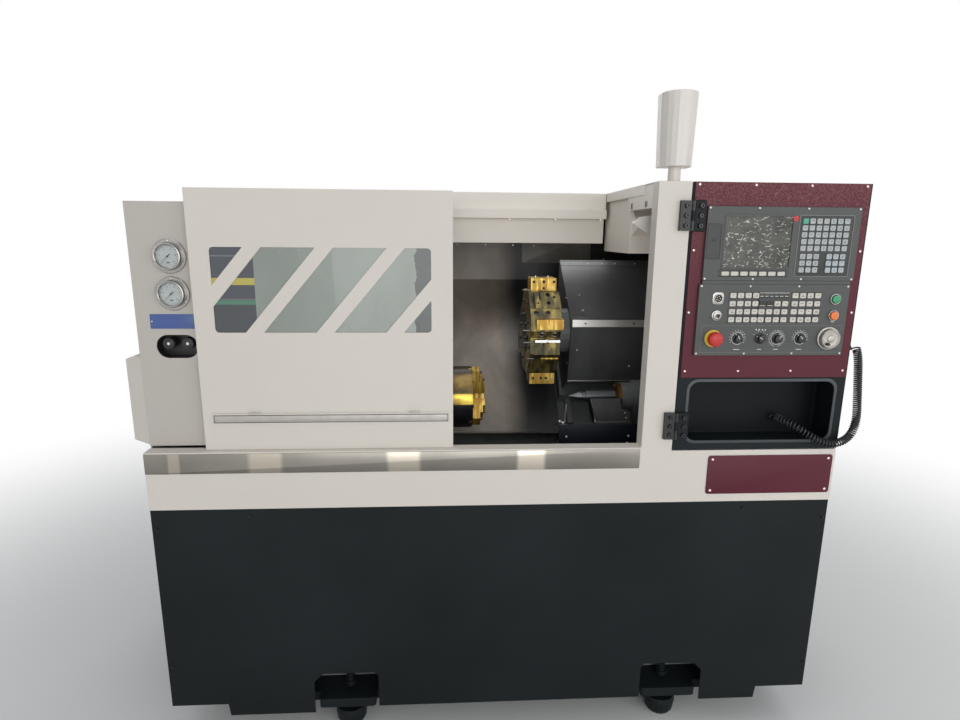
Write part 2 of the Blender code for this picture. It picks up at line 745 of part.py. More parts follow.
def headstock_pieces():
    axis = (0, SPINDLE_Y, SPINDLE_Z)
    height = AXIS_HEIGHT
    outline = [
        (-0.215, GAP + WAY_HEIGHT), (0.0, GAP + WAY_HEIGHT), (0.0, GAP), (0.220, GAP), (0.220, 0.050),
        (0.150, 0.110), (0.135, height + 0.060), (0.080, height + 0.125), (-0.080, height + 0.125),
        (-0.135, height + 0.060), (-0.150, 0.110), (-0.215, 0.080),
    ]
    right = HEADSTOCK_LEFT + HEADSTOCK_LENGTH
    profile = [slope_point(along, above) for along, above in outline]
    casting = prism_x(profile, HEADSTOCK_LEFT, right)
    bore = rod(axis, SPINDLE_RADIUS + RUNNING, HEADSTOCK_LEFT - 0.05, right + 0.05, "x", ROUND)
    cap = rod(axis, NOSE_RADIUS + 0.012, right - 0.005, right + 0.022, "x", ROUND)
    node("headstock_casting", cut(join(casting, cap), bore), "cast_paint")

    nose = NOSE_X + NOSE_LENGTH
    rear = SPINDLE_REAR
    profile = [
        (rear - CYLINDER_LENGTH, SPINDLE_BORE), (rear - CYLINDER_LENGTH, 0.045), (rear - 0.075, 0.045),
        (rear - 0.075, CYLINDER_RADIUS), (rear - 0.020, CYLINDER_RADIUS), (rear - 0.020, 0.070),
        (rear, 0.070), (rear, SPINDLE_RADIUS), (NOSE_X, SPINDLE_RADIUS),
        (NOSE_X, NOSE_RADIUS), (nose, NOSE_RADIUS), (nose, SPINDLE_BORE),
    ]
    node("spindle", turned(profile, axis, "x"), "steel", (NOSE_X, SPINDLE_Y, SPINDLE_Z))

    back = nose + GAP
    face = back + CHUCK_LENGTH
    profile = [
        (back, SPINDLE_BORE), (back, CHUCK_RADIUS - 0.006), (back + 0.006, CHUCK_RADIUS),
        (face - 0.004, CHUCK_RADIUS), (face, CHUCK_RADIUS - 0.004), (face, 0.034),
        (face - 0.008, 0.030), (face - 0.008, SPINDLE_BORE),
    ]
    slots = []
    for i in range(JAW_COUNT):
        half = JAW_WIDTH / 2 + GAP
        slot = box((face - JAW_SEAT - GAP, -half, 0.010), (face + 0.02, half, CHUCK_RADIUS + 0.02))
        bmesh.ops.transform(slot, matrix=jaw_turn(i), verts=slot.verts)
        slots.append(slot)
    node("chuck_body", cut(turned(profile, axis, "x"), *slots), "steel", (back, SPINDLE_Y, SPINDLE_Z))

    top = face + JAW_HEIGHT
    step = (JAW_OUTER - JAW_INNER) * 0.30
    outline = [
        (face - JAW_SEAT, JAW_INNER), (face - JAW_SEAT, JAW_OUTER), (face + JAW_HEIGHT * 0.45, JAW_OUTER),
        (top, JAW_OUTER - 0.004), (top, JAW_INNER + step), (face + JAW_HEIGHT * 0.55, JAW_INNER + step),
        (face + JAW_HEIGHT * 0.55, JAW_INNER),
    ]
    for i in range(JAW_COUNT):
        jaw = prism(outline, -JAW_WIDTH / 2, JAW_WIDTH / 2, lambda x, r, w: (x, w, r))
        bmesh.ops.transform(jaw, matrix=jaw_turn(i), verts=jaw.verts)
        node(f"chuck_jaw_{i + 1}", jaw, "gold_film", (face, SPINDLE_Y, SPINDLE_Z))


def jaw_turn(index):
    angle = math.radians(JAW_FIRST_ANGLE + 360.0 * index / JAW_COUNT - 90.0)
    return Matrix.Translation((0, SPINDLE_Y, SPINDLE_Z)) @ Matrix.Rotation(angle, 4, "X")


def pulley(name, centre_y, centre_z, radius, bore, finish):
    """A grooved belt pulley with a rim on each side."""
    left = PULLEY_X - PULLEY_WIDTH / 2
    right = PULLEY_X + PULLEY_WIDTH / 2
    rim = radius + BELT_THICKNESS + 0.003
    profile = [
        (left, bore), (left, rim), (left + PULLEY_RIM, rim), (left + PULLEY_RIM, radius),
        (right - PULLEY_RIM, radius), (right - PULLEY_RIM, rim), (right, rim), (right, bore),
    ]
    node(name, turned(profile, (0, centre_y, centre_z), "x"), finish, (PULLEY_X, centre_y, centre_z))


def drive_pieces():
    pulley("spindle_pulley", SPINDLE_Y, SPINDLE_Z, SPINDLE_PULLEY_RADIUS, SPINDLE_RADIUS + GAP, "aluminium")
    shaft = 0.019
    pulley("motor_pulley", MOTOR_Y, MOTOR_Z, MOTOR_PULLEY_RADIUS, shaft + GAP, "aluminium")

    def belt_loop(grow):
        """Outline round both pulleys, grown outwards: two arcs joined by the straight runs."""
        spindle = Vector((SPINDLE_Y, SPINDLE_Z))
        motor = Vector((MOTOR_Y, MOTOR_Z))
        line = motor - spindle
        lean = math.asin((SPINDLE_PULLEY_RADIUS - MOTOR_PULLEY_RADIUS) / line.length)
        heading = math.atan2(line.y, line.x)
        steps = 10
        points = []
        half = math.pi / 2 - lean
        for centre, radius, start, sweep in (
            (spindle, SPINDLE_PULLEY_RADIUS, heading + half, 2 * math.pi - 2 * half),
            (motor, MOTOR_PULLEY_RADIUS, heading - half, 2 * half),
        ):
            for i in range(steps + 1):
                angle = start + sweep * i / steps
                reach = (radius + grow) / math.cos(sweep / steps / 2)
                points.append(tuple(centre + reach * Vector((math.cos(angle), math.sin(angle)))))
        return points

    half_width = PULLEY_WIDTH / 2 - PULLEY_RIM - 0.001
    outer = prism_x(belt_loop(GAP + BELT_THICKNESS), PULLEY_X - half_width, PULLEY_X + half_width)
    inner = prism_x(belt_loop(2 * GAP), PULLEY_X - half_width - 0.01, PULLEY_X + half_width + 0.01)
    node("drive_belt", cut(outer, inner), "rubber")

    start = PULLEY_X + PULLEY_WIDTH / 2 + 0.022
    half = MOTOR_SIZE / 2
    chamfer = half * 0.35
    outline = [
        (MOTOR_Y - half, MOTOR_Z - half + chamfer), (MOTOR_Y - half + chamfer, MOTOR_Z - half),
        (MOTOR_Y + half - chamfer, MOTOR_Z - half), (MOTOR_Y + half, MOTOR_Z - half + chamfer),
        (MOTOR_Y + half, MOTOR_Z + half - chamfer), (MOTOR_Y + half - chamfer, MOTOR_Z + half),
        (MOTOR_Y - half + chamfer, MOTOR_Z + half), (MOTOR_Y - half, MOTOR_Z + half - chamfer),
    ]
    body = prism_x(outline, start, start + MOTOR_LENGTH)
    stub = rod((0, MOTOR_Y, MOTOR_Z), shaft, PULLEY_X - PULLEY_WIDTH / 2, start + 0.01, "x")
    pads = [
        box((start + 0.04, y - 0.028, FRAME_TOP + GAP), (start + 0.28, y + 0.028, MOTOR_Z - half + 0.03))
        for y in (MOTOR_Y - 0.075, MOTOR_Y + 0.075)
    ]
    node("spindle_motor", join(body, stub, *pads), "cast_paint")


def carriage_pieces():
    left, right = CARRIAGE_X, CARRIAGE_X + CARRIAGE_LENGTH
    half = RAIL_WIDTH / 2 + GAP
    roof = RAIL_TOP + GAP
    section = [(SADDLE_LOW, SADDLE_FOOT)]
    for rail, after in ((LOWER_RAIL, LOWER_RAIL + 0.035), (UPPER_RAIL, SADDLE_HIGH)):
        section += [(rail - half, SADDLE_FOOT), (rail - half, roof), (rail + half, roof)]
        section += [(rail + half, SADDLE_FOOT), (after, SADDLE_FOOT)]
        if rail == LOWER_RAIL:
            section += [(after, SADDLE_UNDER), (UPPER_RAIL - 0.035, SADDLE_UNDER)]
            section += [(UPPER_RAIL - 0.035, SADDLE_FOOT)]
    section += [(SADDLE_HIGH, SADDLE_TOP), (SADDLE_LOW, SADDLE_TOP)]
    saddle = prism_x([slope_point(*point) for point in section], left, right)
    screw_y, screw_z = slope_point(SCREW_SLOPE, 0)
    nut = slope_box(left + 0.09, right - 0.09, SCREW_SLOPE - 0.028, SCREW_SLOPE + 0.028, -0.028, SADDLE_UNDER + 0.005)
    cross_rails = [
        slope_box(x, x + CROSS_RAIL_WIDTH, SADDLE_LOW, SADDLE_HIGH, SADDLE_TOP - 0.005, SADDLE_TOP + CROSS_RAIL_HEIGHT)
        for x in (left + CROSS_RAIL_INSET, right - CROSS_RAIL_INSET - CROSS_RAIL_WIDTH)
    ]
    middle = (left + right) / 2
    half_trough = CROSS_TROUGH_WIDTH / 2
    trough = slope_box(
        middle - half_trough, middle + half_trough, SADDLE_LOW + 0.015, SADDLE_HIGH + 0.01,
        CROSS_SCREW_HEIGHT - 0.016, SADDLE_TOP + 0.01,
    )
    bore = rod((0, screw_y, screw_z), SCREW_RADIUS + RUNNING, left, right, "x")
    motor_half = CROSS_MOTOR / 2
    motor = slope_box(
        middle - motor_half, middle + motor_half, SADDLE_HIGH - 0.002, SADDLE_HIGH + CROSS_MOTOR_LENGTH,
        CROSS_SCREW_HEIGHT - motor_half, CROSS_SCREW_HEIGHT + motor_half,
    )
    node("saddle", cut(join(saddle, nut, motor, *cross_rails), trough, bore), "cast_paint")

    rise = Matrix.Rotation(SLANT, 4, "X")
    start = SADDLE_LOW + 0.015 + GAP
    screw = rod((0, 0, 0), CROSS_SCREW_RADIUS, start, SADDLE_HIGH + 0.01 - GAP, "y")
    origin = (middle, *slope_point(0, CROSS_SCREW_HEIGHT))
    bmesh.ops.transform(screw, matrix=Matrix.Translation(origin) @ rise, verts=screw.verts)
    node("x_screw", screw, "steel", origin)

    inset = 0.010
    under = SADDLE_TOP + 0.005
    groove = SADDLE_TOP + CROSS_RAIL_HEIGHT + GAP
    first = left + CROSS_RAIL_INSET
    second = right - CROSS_RAIL_INSET - CROSS_RAIL_WIDTH
    section = [(left + inset, under)]
    for rail in (first, second):
        section += [(rail - GAP, under), (rail - GAP, groove)]
        section += [(rail + CROSS_RAIL_WIDTH + GAP, groove), (rail + CROSS_RAIL_WIDTH + GAP, under)]
    section += [(right - inset, under), (right - inset, CROSS_TOP), (left + inset, CROSS_TOP)]
    plate = prism_slope(section, CROSS_LOW, CROSS_HIGH)
    nut = slope_box(middle - 0.015, middle + 0.015, 0.265, 0.305, CROSS_SCREW_HEIGHT - 0.014, under + 0.005)
    pedestal = slope_box(
        left + 0.030, left + 0.240, TURRET_SLOPE - 0.070, TURRET_SLOPE + 0.070, CROSS_TOP - 0.005, AXIS_HEIGHT
    )
    turret_y, turret_z = slope_point(TURRET_SLOPE, AXIS_HEIGHT)
    front = TURRET_LEFT + TURRET_LENGTH + GAP
    barrel = rod((0, turret_y, turret_z), HOUSING_RADIUS, front, front + HOUSING_LENGTH, "x", ROUND)
    screw_hole = rod((0, 0, 0), CROSS_SCREW_RADIUS + RUNNING, 0.1, 0.5, "y")
    bmesh.ops.transform(screw_hole, matrix=Matrix.Translation(origin) @ rise, verts=screw_hole.verts)
    node("cross_slide", cut(join(plate, nut, pedestal, barrel), screw_hole), "cast_paint")

    shell = folded([COVER_FOOT, COVER_RIDGE, COVER_TOP], -SHEET, COVER_LEFT, COVER_LEFT + COVER_LENGTH)
    wall = [
        COVER_TOP, COVER_RIDGE, COVER_FOOT,
        slope_point(CROSS_LOW + 0.03, CROSS_TOP + GAP), slope_point(CROSS_HIGH - 0.01, CROSS_TOP + GAP),
    ]
    end = prism_x(wall, COVER_LEFT, COVER_LEFT + SHEET)
    port = rod((0, turret_y, turret_z), HOUSING_RADIUS + 0.001, COVER_LEFT - 0.02, COVER_LEFT + 0.02, "x", ROUND)
    node("slide_cover", cut(join(shell, end), port), "liner_paint")

    top = WAY_COVER_HEIGHT - SHEET - 0.0015
    edge = left - GAP
    section = [
        (SLIDING_COVER_LEFT, top - SHEET), (edge - SHEET, top - SHEET), (edge - SHEET, SADDLE_UNDER + 0.003),
        (edge, SADDLE_UNDER + 0.003), (edge, top), (SLIDING_COVER_LEFT, top),
    ]
    node("way_cover_sliding", prism_slope(section, WAY_COVER_LOW, 0.690), "liner_paint")


def turret_piece():
    turret_y, turret_z = slope_point(TURRET_SLOPE, AXIS_HEIGHT)
    half_step = math.pi / STATIONS
    corner = TURRET_FLAT_RADIUS / math.cos(half_step)
    outline = circle((0, 0), corner, STATIONS, half_step)
    disc = prism_x(outline, TURRET_LEFT, TURRET_LEFT + TURRET_LENGTH)
    hub = rod((0, 0, 0), 0.046, TURRET_LEFT - 0.012, TURRET_LEFT + 0.01, "x", ROUND)
    blocks = []
    for i in range(STATIONS):
        turn = Matrix.Rotation(2 * half_step * i, 4, "X")
        half = BLOCK_WIDTH / 2
        top = TURRET_FLAT_RADIUS + BLOCK_HEIGHT
        if i % 2:
            block = box((BLOCK_LEFT, -half * 0.72, TURRET_FLAT_RADIUS - 0.004), (BLOCK_LEFT + BLOCK_LENGTH, half * 0.72, top))
            block = cut(block, rod((0, 0, top - 0.030), 0.016, BLOCK_LEFT - 0.01, BLOCK_LEFT + 0.07, "x", 12))
        else:
            outline = [
                (-half, TURRET_FLAT_RADIUS - 0.004), (half * 0.8, TURRET_FLAT_RADIUS - 0.004),
                (half * 0.8, top - 0.024), (half * 0.35, top - 0.024), (half * 0.35, top), (-half, top),
            ]
            block = prism(outline, BLOCK_LEFT, BLOCK_LEFT + BLOCK_LENGTH, lambda y, z, x: (x, y, z))
            shank = box((BLOCK_LEFT - 0.022, half * 0.30, top - 0.026), (BLOCK_LEFT + 0.05, half * 0.62, top - 0.004))
            block = join(block, shank)
        bmesh.ops.transform(block, matrix=turn, verts=block.verts)
        blocks.append(block)
    made = join(disc, hub, *blocks)
    bmesh.ops.translate(made, vec=(0, turret_y, turret_z), verts=made.verts)
    node("turret_disc", made, "gold_film", (TURRET_LEFT, turret_y, turret_z))


def tailstock_pieces():
    axis = (0, SPINDLE_Y, SPINDLE_Z)
    right = TAIL_LEFT + TAIL_LENGTH
    base = WAY_HEIGHT + GAP
    outline = [
        (WAY_LOW - 0.012, base), (0.000, base), (0.000, 0.070), (-0.030, 0.110), (-0.028, AXIS_HEIGHT),
        (-0.050, AXIS_HEIGHT), (-0.100, 0.240), (TAIL_NECK_LOW, 0.110), (WAY_LOW - 0.012, 0.065),
    ]
    body = prism_x([slope_point(*point) for point in outline], TAIL_LEFT, right)
    head = rod(axis, TAIL_RADIUS, TAIL_LEFT, right, "x", ROUND)
    cap = rod(axis, TAIL_CAP_RADIUS, TAIL_LEFT - TAIL_CAP_LENGTH, TAIL_LEFT + 0.01, "x", ROUND)
    bore = rod(axis, QUILL_RADIUS + RUNNING, TAIL_LEFT - 0.1, right + 0.1, "x", ROUND)
    node("tailstock_body", cut(join(body, head, cap), bore), "cast_paint")
    profile = [
        (QUILL_TIP, 0), (QUILL_TIP + QUILL_POINT * 0.5, QUILL_RADIUS * 0.52),
        (QUILL_TIP + QUILL_POINT * 0.5, QUILL_RADIUS * 0.9), (QUILL_TIP + QUILL_POINT, QUILL_RADIUS),
        (right - 0.01, QUILL_RADIUS), (right - 0.01, 0),
    ]
    node("tailstock_quill", turned(profile, axis, "x"), "steel", (QUILL_TIP, SPINDLE_Y, SPINDLE_Z))


def liner_pieces():
    low_y, low_z = slope_point(BED_LOW, 0)
    path = [
        (COLUMN_DEPTH + 0.004, SILL_TOP - SHEET - 0.0035), (COLUMN_DEPTH + 0.045, 0.850),
        (low_y - 0.050, low_z + 0.070), (low_y - GAP - 0.004, low_z - 0.020),
    ]
    chute = folded(path, -SHEET, CASE_RIGHT + GAP, HALF_WIDTH - 0.060)
    fall = (path[2][1] - path[1][1]) / (path[2][0] - path[1][0])
    foot = path[1][1] + fall * (GUARD_Y - path[1][0]) - 0.0025
    fence = [(GUARD_Y, foot), (GUARD_Y, GUARD_TOP), (GUARD_Y + 0.100, GUARD_TOP - 0.032)]
    guard = folded(fence, -SHEET, GUARD_LEFT, HALF_WIDTH - 0.120)
    node("chip_chute", join(chute, guard), "liner_paint")

    over = WAY_COVER_HEIGHT
    plate = slope_box(CASE_RIGHT + GAP, FIXED_COVER_RIGHT, WAY_COVER_LOW, 0.700, over - SHEET, over)
    corner = slope_point(0.720, over - SHEET)
    path = [slope_point(0.670, over - SHEET), corner, (corner[0], COLUMN_TOP - SHEET - GAP)]
    wall = folded(path, SHEET, CASE_RIGHT + GAP, HALF_WIDTH - 0.060)
    node("back_liner", join(wall, plate), "liner_paint")


def front_frame_piece():
    top, ledge = SILL_TOP, LEDGE_DEPTH
    band_right_top = LEAF_BOTTOM - 0.003
    outline = [
        (-HALF_WIDTH, BASE_TOP), (HALF_WIDTH, BASE_TOP), (HALF_WIDTH, band_right_top),
        (COLUMN_RIGHT, band_right_top), (COLUMN_RIGHT, COLUMN_TOP), (COLUMN_LEFT, COLUMN_TOP),
        (COLUMN_LEFT, top), (-HALF_WIDTH, top),
    ]
    face = prism_y(outline, 0, SHEET)
    pieces = [
        box((-HALF_WIDTH, 0.001, top - SHEET), (COLUMN_LEFT + 0.01, ledge, top)),
        box((-HALF_WIDTH, ledge - SHEET, top - 0.020), (COLUMN_LEFT + 0.01, ledge, top - 0.001)),
        box((COLUMN_RIGHT - 0.01, 0.001, band_right_top - SHEET), (HALF_WIDTH, ledge, band_right_top)),
        box((-HALF_WIDTH, 0.001, BASE_TOP), (HALF_WIDTH, 0.035, BASE_TOP + SHEET)),
        box((COLUMN_LEFT, 0.001, top - 0.01), (COLUMN_LEFT + SHEET, COLUMN_DEPTH, COLUMN_TOP)),
        box((COLUMN_RIGHT - SHEET, 0.001, band_right_top - 0.01), (COLUMN_RIGHT, COLUMN_DEPTH, COLUMN_TOP)),
        box((COLUMN_LEFT, 0.001, COLUMN_TOP - SHEET), (COLUMN_RIGHT, COLUMN_DEPTH + 0.080, COLUMN_TOP)),
        box((-HALF_WIDTH, 0.001, BASE_TOP), (-HALF_WIDTH + SHEET, ledge, top)),
        box((HALF_WIDTH - SHEET, 0.001, BASE_TOP), (HALF_WIDTH, ledge, band_right_top)),
    ]
    node("front_frame", join(face, *pieces), "white_paint")


def case_pieces():
    left = -HALF_WIDTH
    low = SILL_TOP + 0.006
    back = BODY_DEPTH - 0.004
    shelf = COLUMN_TOP - FASCIA_HEIGHT - RAIL_HEIGHT - RECESS_HEIGHT - 0.004
    step = HOOD_FRONT - RAIL_REACH - 0.004

    def hull(inset):
        """The case's outside, or its inside when inset: the right part steps down under the roof."""
        floor = BASE_TOP + (SHEET + GAP if inset == 0 else -0.01)
        rear = back if inset == 0 else back + 0.01
        front = CASE_FACE + inset
        tall = box((left + inset, front, floor), (HOOD_LEFT - 0.003 - inset, back - inset, CASE_TOP - inset))
        outline = [
            (front, floor), (rear, floor), (rear, shelf - inset), (step - inset, shelf - inset),
            (step - inset, CASE_TOP - inset), (front, CASE_TOP - inset),
        ]
        return join(prism_x(outline, HOOD_LEFT - 0.010 - inset, CASE_RIGHT - inset), tall)

    outer = hull(0)
    inner = hull(SHEET)
    half = SLOT_HEIGHT / 2
    pill = rounded_outline((SLOT_LEFT, SLOT_Z - half), (SLOT_LEFT + SLOT_WIDTH, SLOT_Z + half), half - 0.001, 5)
    cuts = [inner, prism_y(pill, CASE_FACE - 0.02, CASE_FACE + 0.02)]
    for i in range(2):
        axis = (GAUGE_X, 0, GAUGE_Z - GAUGE_PITCH * i)
        cuts.append(rod(axis, GAUGE_BODY + RUNNING, CASE_FACE - 0.02, CASE_FACE + 0.02, "y", ROUND))
    axis = (0, SPINDLE_Y, SPINDLE_Z)
    cuts.append(rod(axis, CHUCK_RADIUS + 0.005, CASE_RIGHT - 0.02, CASE_RIGHT + 0.02, "x", ROUND))
    high = slope_point(BED_HIGH, 0.075)
    low_corner = slope_point(BED_LOW - 0.25, 0.075)
    bed_hole = [
        (BED_BACK + 0.003, 0.3), (BED_BACK + 0.003, high[1]), high, low_corner, (low_corner[0], 0.3),
    ]
    cuts.append(prism_x(bed_hole, CASE_RIGHT - 0.02, CASE_RIGHT + 0.02))
    cuts.append(box((left - 0.1, CASE_FACE - 0.1, BASE_TOP - 0.1), (CASE_RIGHT + 0.1, CASE_FACE + 0.004, low)))
    node("headstock_case", cut(outer, *cuts), "white_paint")

    face = CASE_FACE + SHEET + GAP
    deep = face + SLOT_DEPTH
    block = box((SLOT_LEFT - 0.012, face, SLOT_Z - half - 0.012), (SLOT_LEFT + SLOT_WIDTH + 0.012, deep + 0.020, SLOT_Z + half + 0.012))
    pocket = prism_y(pill, face - 0.01, deep)
    shafts = [
        rod((VALVE_X + VALVE_PITCH * i, 0, VALVE_Z), 0.006, deep - 0.012, deep + 0.005, "y", 12) for i in range(2)
    ]
    node("valve_block", join(cut(block, pocket), *shafts), "black_plastic")
    for i, side in enumerate(("left", "right")):
        centre = (VALVE_X + VALVE_PITCH * i, 0, VALVE_Z)
        start = deep - 0.012 - GAP
        profile = [
            (start - 0.026, 0), (start - 0.026, VALVE_KNOB * 0.70), (start - 0.022, VALVE_KNOB * 0.86),
            (start, VALVE_KNOB), (start, 0),
        ]
        node(f"pressure_knob_{side}", turned(profile, centre, "y", SMALL_ROUND), "black_plastic", (centre[0], start, VALVE_Z))

    for i, name in enumerate(("upper", "lower")):
        centre = (GAUGE_X, 0, GAUGE_Z - GAUGE_PITCH * i)
        seat = CASE_FACE - GAP
        lens = seat - 0.020
        dial = seat - 0.009
        profile = [
            (seat + GAUGE_DEPTH, 0), (seat + GAUGE_DEPTH, GAUGE_BODY), (seat, GAUGE_BODY),
            (seat, GAUGE_FLANGE), (seat - 0.003, GAUGE_FLANGE), (seat - 0.003, GAUGE_BEZEL),
            (lens + 0.002, GAUGE_BEZEL), (lens, GAUGE_BEZEL - 0.002), (lens, GAUGE_DIAL + 0.001),
            (lens + 0.003, GAUGE_DIAL), (dial, GAUGE_DIAL), (dial, 0.0025), (dial - 0.003, 0.0025), (dial - 0.003, 0),
        ]
        node(f"gauge_{name}", turned(profile, centre, "y"), "chrome")
        blade = dial - 0.003 - GAP
        turn = math.radians(-135)
        outline = [
            (-0.008, -0.0022), (0.0, -0.0022), (NEEDLE_LENGTH, -0.0005), (NEEDLE_LENGTH, 0.0005), (0.0, 0.0022), (-0.008, 0.0022),
        ]
        rotated = [
            (centre[0] + u * math.cos(turn) - v * math.sin(turn), centre[2] + u * math.sin(turn) + v * math.cos(turn))
            for u, v in outline
        ]
        node(f"gauge_needle_{name}", prism_y(rotated, blade - 0.0012, blade), "black_plastic", (centre[0], blade, centre[2]))

    reach = END_GUARD_REACH
    front, back = 0.100, 0.100 + END_GUARD_DEPTH
    plan = [
        (left - GAP, front - 0.050), (left - reach, front), (left - reach, back - 0.030),
        (left - reach + 0.030, back), (left - GAP, back),
    ]
    guard = prism_z(plan, SILL_TOP + 0.008, SILL_TOP + END_GUARD_HEIGHT)
    wedge = [
        (left - reach - 0.01, SILL_TOP + END_GUARD_HEIGHT - 0.018), (left, SILL_TOP + END_GUARD_HEIGHT + 0.012),
        (left - reach - 0.01, SILL_TOP + END_GUARD_HEIGHT + 0.012),
    ]
    inside = [
        (left + 0.01, front - 0.043), (left - reach + SHEET, front + SHEET), (left - reach + SHEET, back - 0.030),
        (left - reach + 0.030, back - SHEET), (left + 0.01, back - SHEET),
    ]
    hollow = prism_z(inside, SILL_TOP - 0.01, SILL_TOP + END_GUARD_HEIGHT - 0.022)
    node("end_guard", cut(guard, prism_y(wedge, 0, back + 0.05), hollow), "white_paint")


def hood_pieces():
    wall_top = COLUMN_TOP
    back = BODY_DEPTH
    fascia = wall_top - FASCIA_HEIGHT
    rail = fascia - RAIL_HEIGHT
    recess = rail - RECESS_HEIGHT
    path = [
        (HOOD_FRONT + 0.025, recess), (HOOD_FRONT + 0.025, rail), (HOOD_FRONT - RAIL_REACH, rail),
        (HOOD_FRONT - RAIL_REACH, fascia), (HOOD_FRONT, fascia), (HOOD_FRONT, wall_top),
        (back, wall_top), (back, BASE_TOP),
    ]
    node("rear_hood", folded(path, -SHEET, HOOD_LEFT, COLUMN_LEFT - GAP), "white_paint")

    inner = COLUMN_LEFT
    side = HALF_WIDTH
    depth = COLUMN_DEPTH + 0.080 + GAP
    roof = box((inner, depth, wall_top - SHEET), (side, back, wall_top))
    pieces = [
        box((COLUMN_RIGHT + GAP, LEDGE_DEPTH + GAP, wall_top - SHEET), (side, depth + 0.01, wall_top)),
        box((side - SHEET, LEDGE_DEPTH + GAP, BASE_TOP + GAP), (side, back, wall_top - 0.001)),
        box((inner, back - SHEET, BASE_TOP + GAP), (side, back, wall_top - 0.001)),
        box((inner, depth, SIDE_LIP_BOTTOM), (inner + SHEET, HOOD_FRONT - 0.004, wall_top - 0.001)),
        box((LAMP_BOX_LEFT, LAMP_BOX_FRONT, LAMP_BOX_BOTTOM), (LAMP_BOX_LEFT + SHEET, HOOD_FRONT + 0.050, wall_top - 0.001)),
        box((LAMP_BOX_LEFT, LAMP_BOX_FRONT, LAMP_BOX_BOTTOM), (side - 0.001, LAMP_BOX_FRONT + SHEET, wall_top - 0.001)),
        box((COLUMN_RIGHT + 0.003, COLUMN_DEPTH + 0.004, GUARD_TOP + 0.004), (COLUMN_RIGHT + 0.003 + SHEET, LAMP_BOX_FRONT + 0.001, wall_top - 0.001)),
        box((COLUMN_RIGHT + 0.003, LAMP_BOX_FRONT - SHEET, GUARD_TOP + 0.004), (side - 0.001, LAMP_BOX_FRONT, wall_top - 0.001)),
    ]
    plate = box(
        (inner + SHEET - 0.0005, COLUMN_DEPTH + GAP, SIDE_PLATE_BOTTOM),
        (inner + 2 * SHEET, LAMP_BOX_FRONT - GAP, wall_top - SHEET - GAP),
    )
    holes = []
    for y in (0.105, 0.245):
        outline = rounded_outline((y - 0.006, 1.632), (y + 0.006, 1.650), 0.0055, 3)
        holes.append(prism_x(outline, inner - 0.01, inner + 0.03))
    front = LAMP_BOX_FRONT
    lamp = [(front + 0.001, 1.630), (front - 0.055, 1.585), (front - 0.055, 1.575), (front + 0.001, 1.552)]
    deflector = prism_x(lamp, LAMP_BOX_LEFT + 0.006, COLUMN_RIGHT - 0.002)
    node("side_hood", join(roof, *pieces, cut(plate, *holes), deflector), "white_paint")

    centre = 0.35
    low = 0.42
    outline = rounded_outline((centre - CABINET_WIDTH / 2, low), (centre + CABINET_WIDTH / 2, low + CABINET_HEIGHT), 0.012, 2)
    cabinet = prism_y(outline, back + GAP, back + CABINET_DEPTH)
    seam = box((centre - 0.002, back + CABINET_DEPTH - 0.004, low + 0.03), (centre + 0.002, back + CABINET_DEPTH + 0.01, low + CABINET_HEIGHT - 0.03))
    vents = []
    for row in range(6):
        height = low + 0.12 + 0.024 * row
        vents.append(box((centre - 0.42, back + CABINET_DEPTH - 0.006, height), (centre - 0.18, back + CABINET_DEPTH + 0.01, height + 0.010)))
    hollow = box(
        (centre - CABINET_WIDTH / 2 + SHEET, back - 0.01, low + SHEET),
        (centre + CABINET_WIDTH / 2 - SHEET, back + CABINET_DEPTH - 2 * SHEET, low + CABINET_HEIGHT - SHEET),
    )
    node("electrics_cabinet", cut(cabinet, hollow, seam, *vents), "white_paint")


def signal_piece():
    """A tapered half-round lantern on a round neck."""
    def plan(width):
        half = width / 2
        front = [
            (LANTERN_X + half * math.cos(a), LANTERN_Y + LANTERN_DEPTH * 0.62 * math.sin(a))
            for a in [math.pi + math.pi * i / 10 for i in range(11)]
        ]
        back = LANTERN_Y + LANTERN_DEPTH * 0.38
        return [*front, (LANTERN_X + half, back), (LANTERN_X - half, back)]

    low, high = plan(LANTERN_FOOT_WIDTH), plan(LANTERN_HEAD_WIDTH)
    count = len(low)
    points = [(x, y, LANTERN_BOTTOM) for x, y in low] + [(x, y, LANTERN_TOP) for x, y in high]
    sides = [(i, (i + 1) % count, (i + 1) % count + count, i + count) for i in range(count)]
    body = mesh_of(points, [tuple(range(count)), tuple(range(count, 2 * count)), *sides])
    neck = rod((LANTERN_X, LANTERN_Y, 0), NECK_RADIUS, COLUMN_TOP + GAP, LANTERN_BOTTOM + 0.004, "z")
    base = rod((LANTERN_X, LANTERN_Y, 0), NECK_RADIUS + 0.008, COLUMN_TOP + GAP, COLUMN_TOP + 0.005, "z")
    node("signal_lamp", join(body, neck, base), "lamp_plastic")


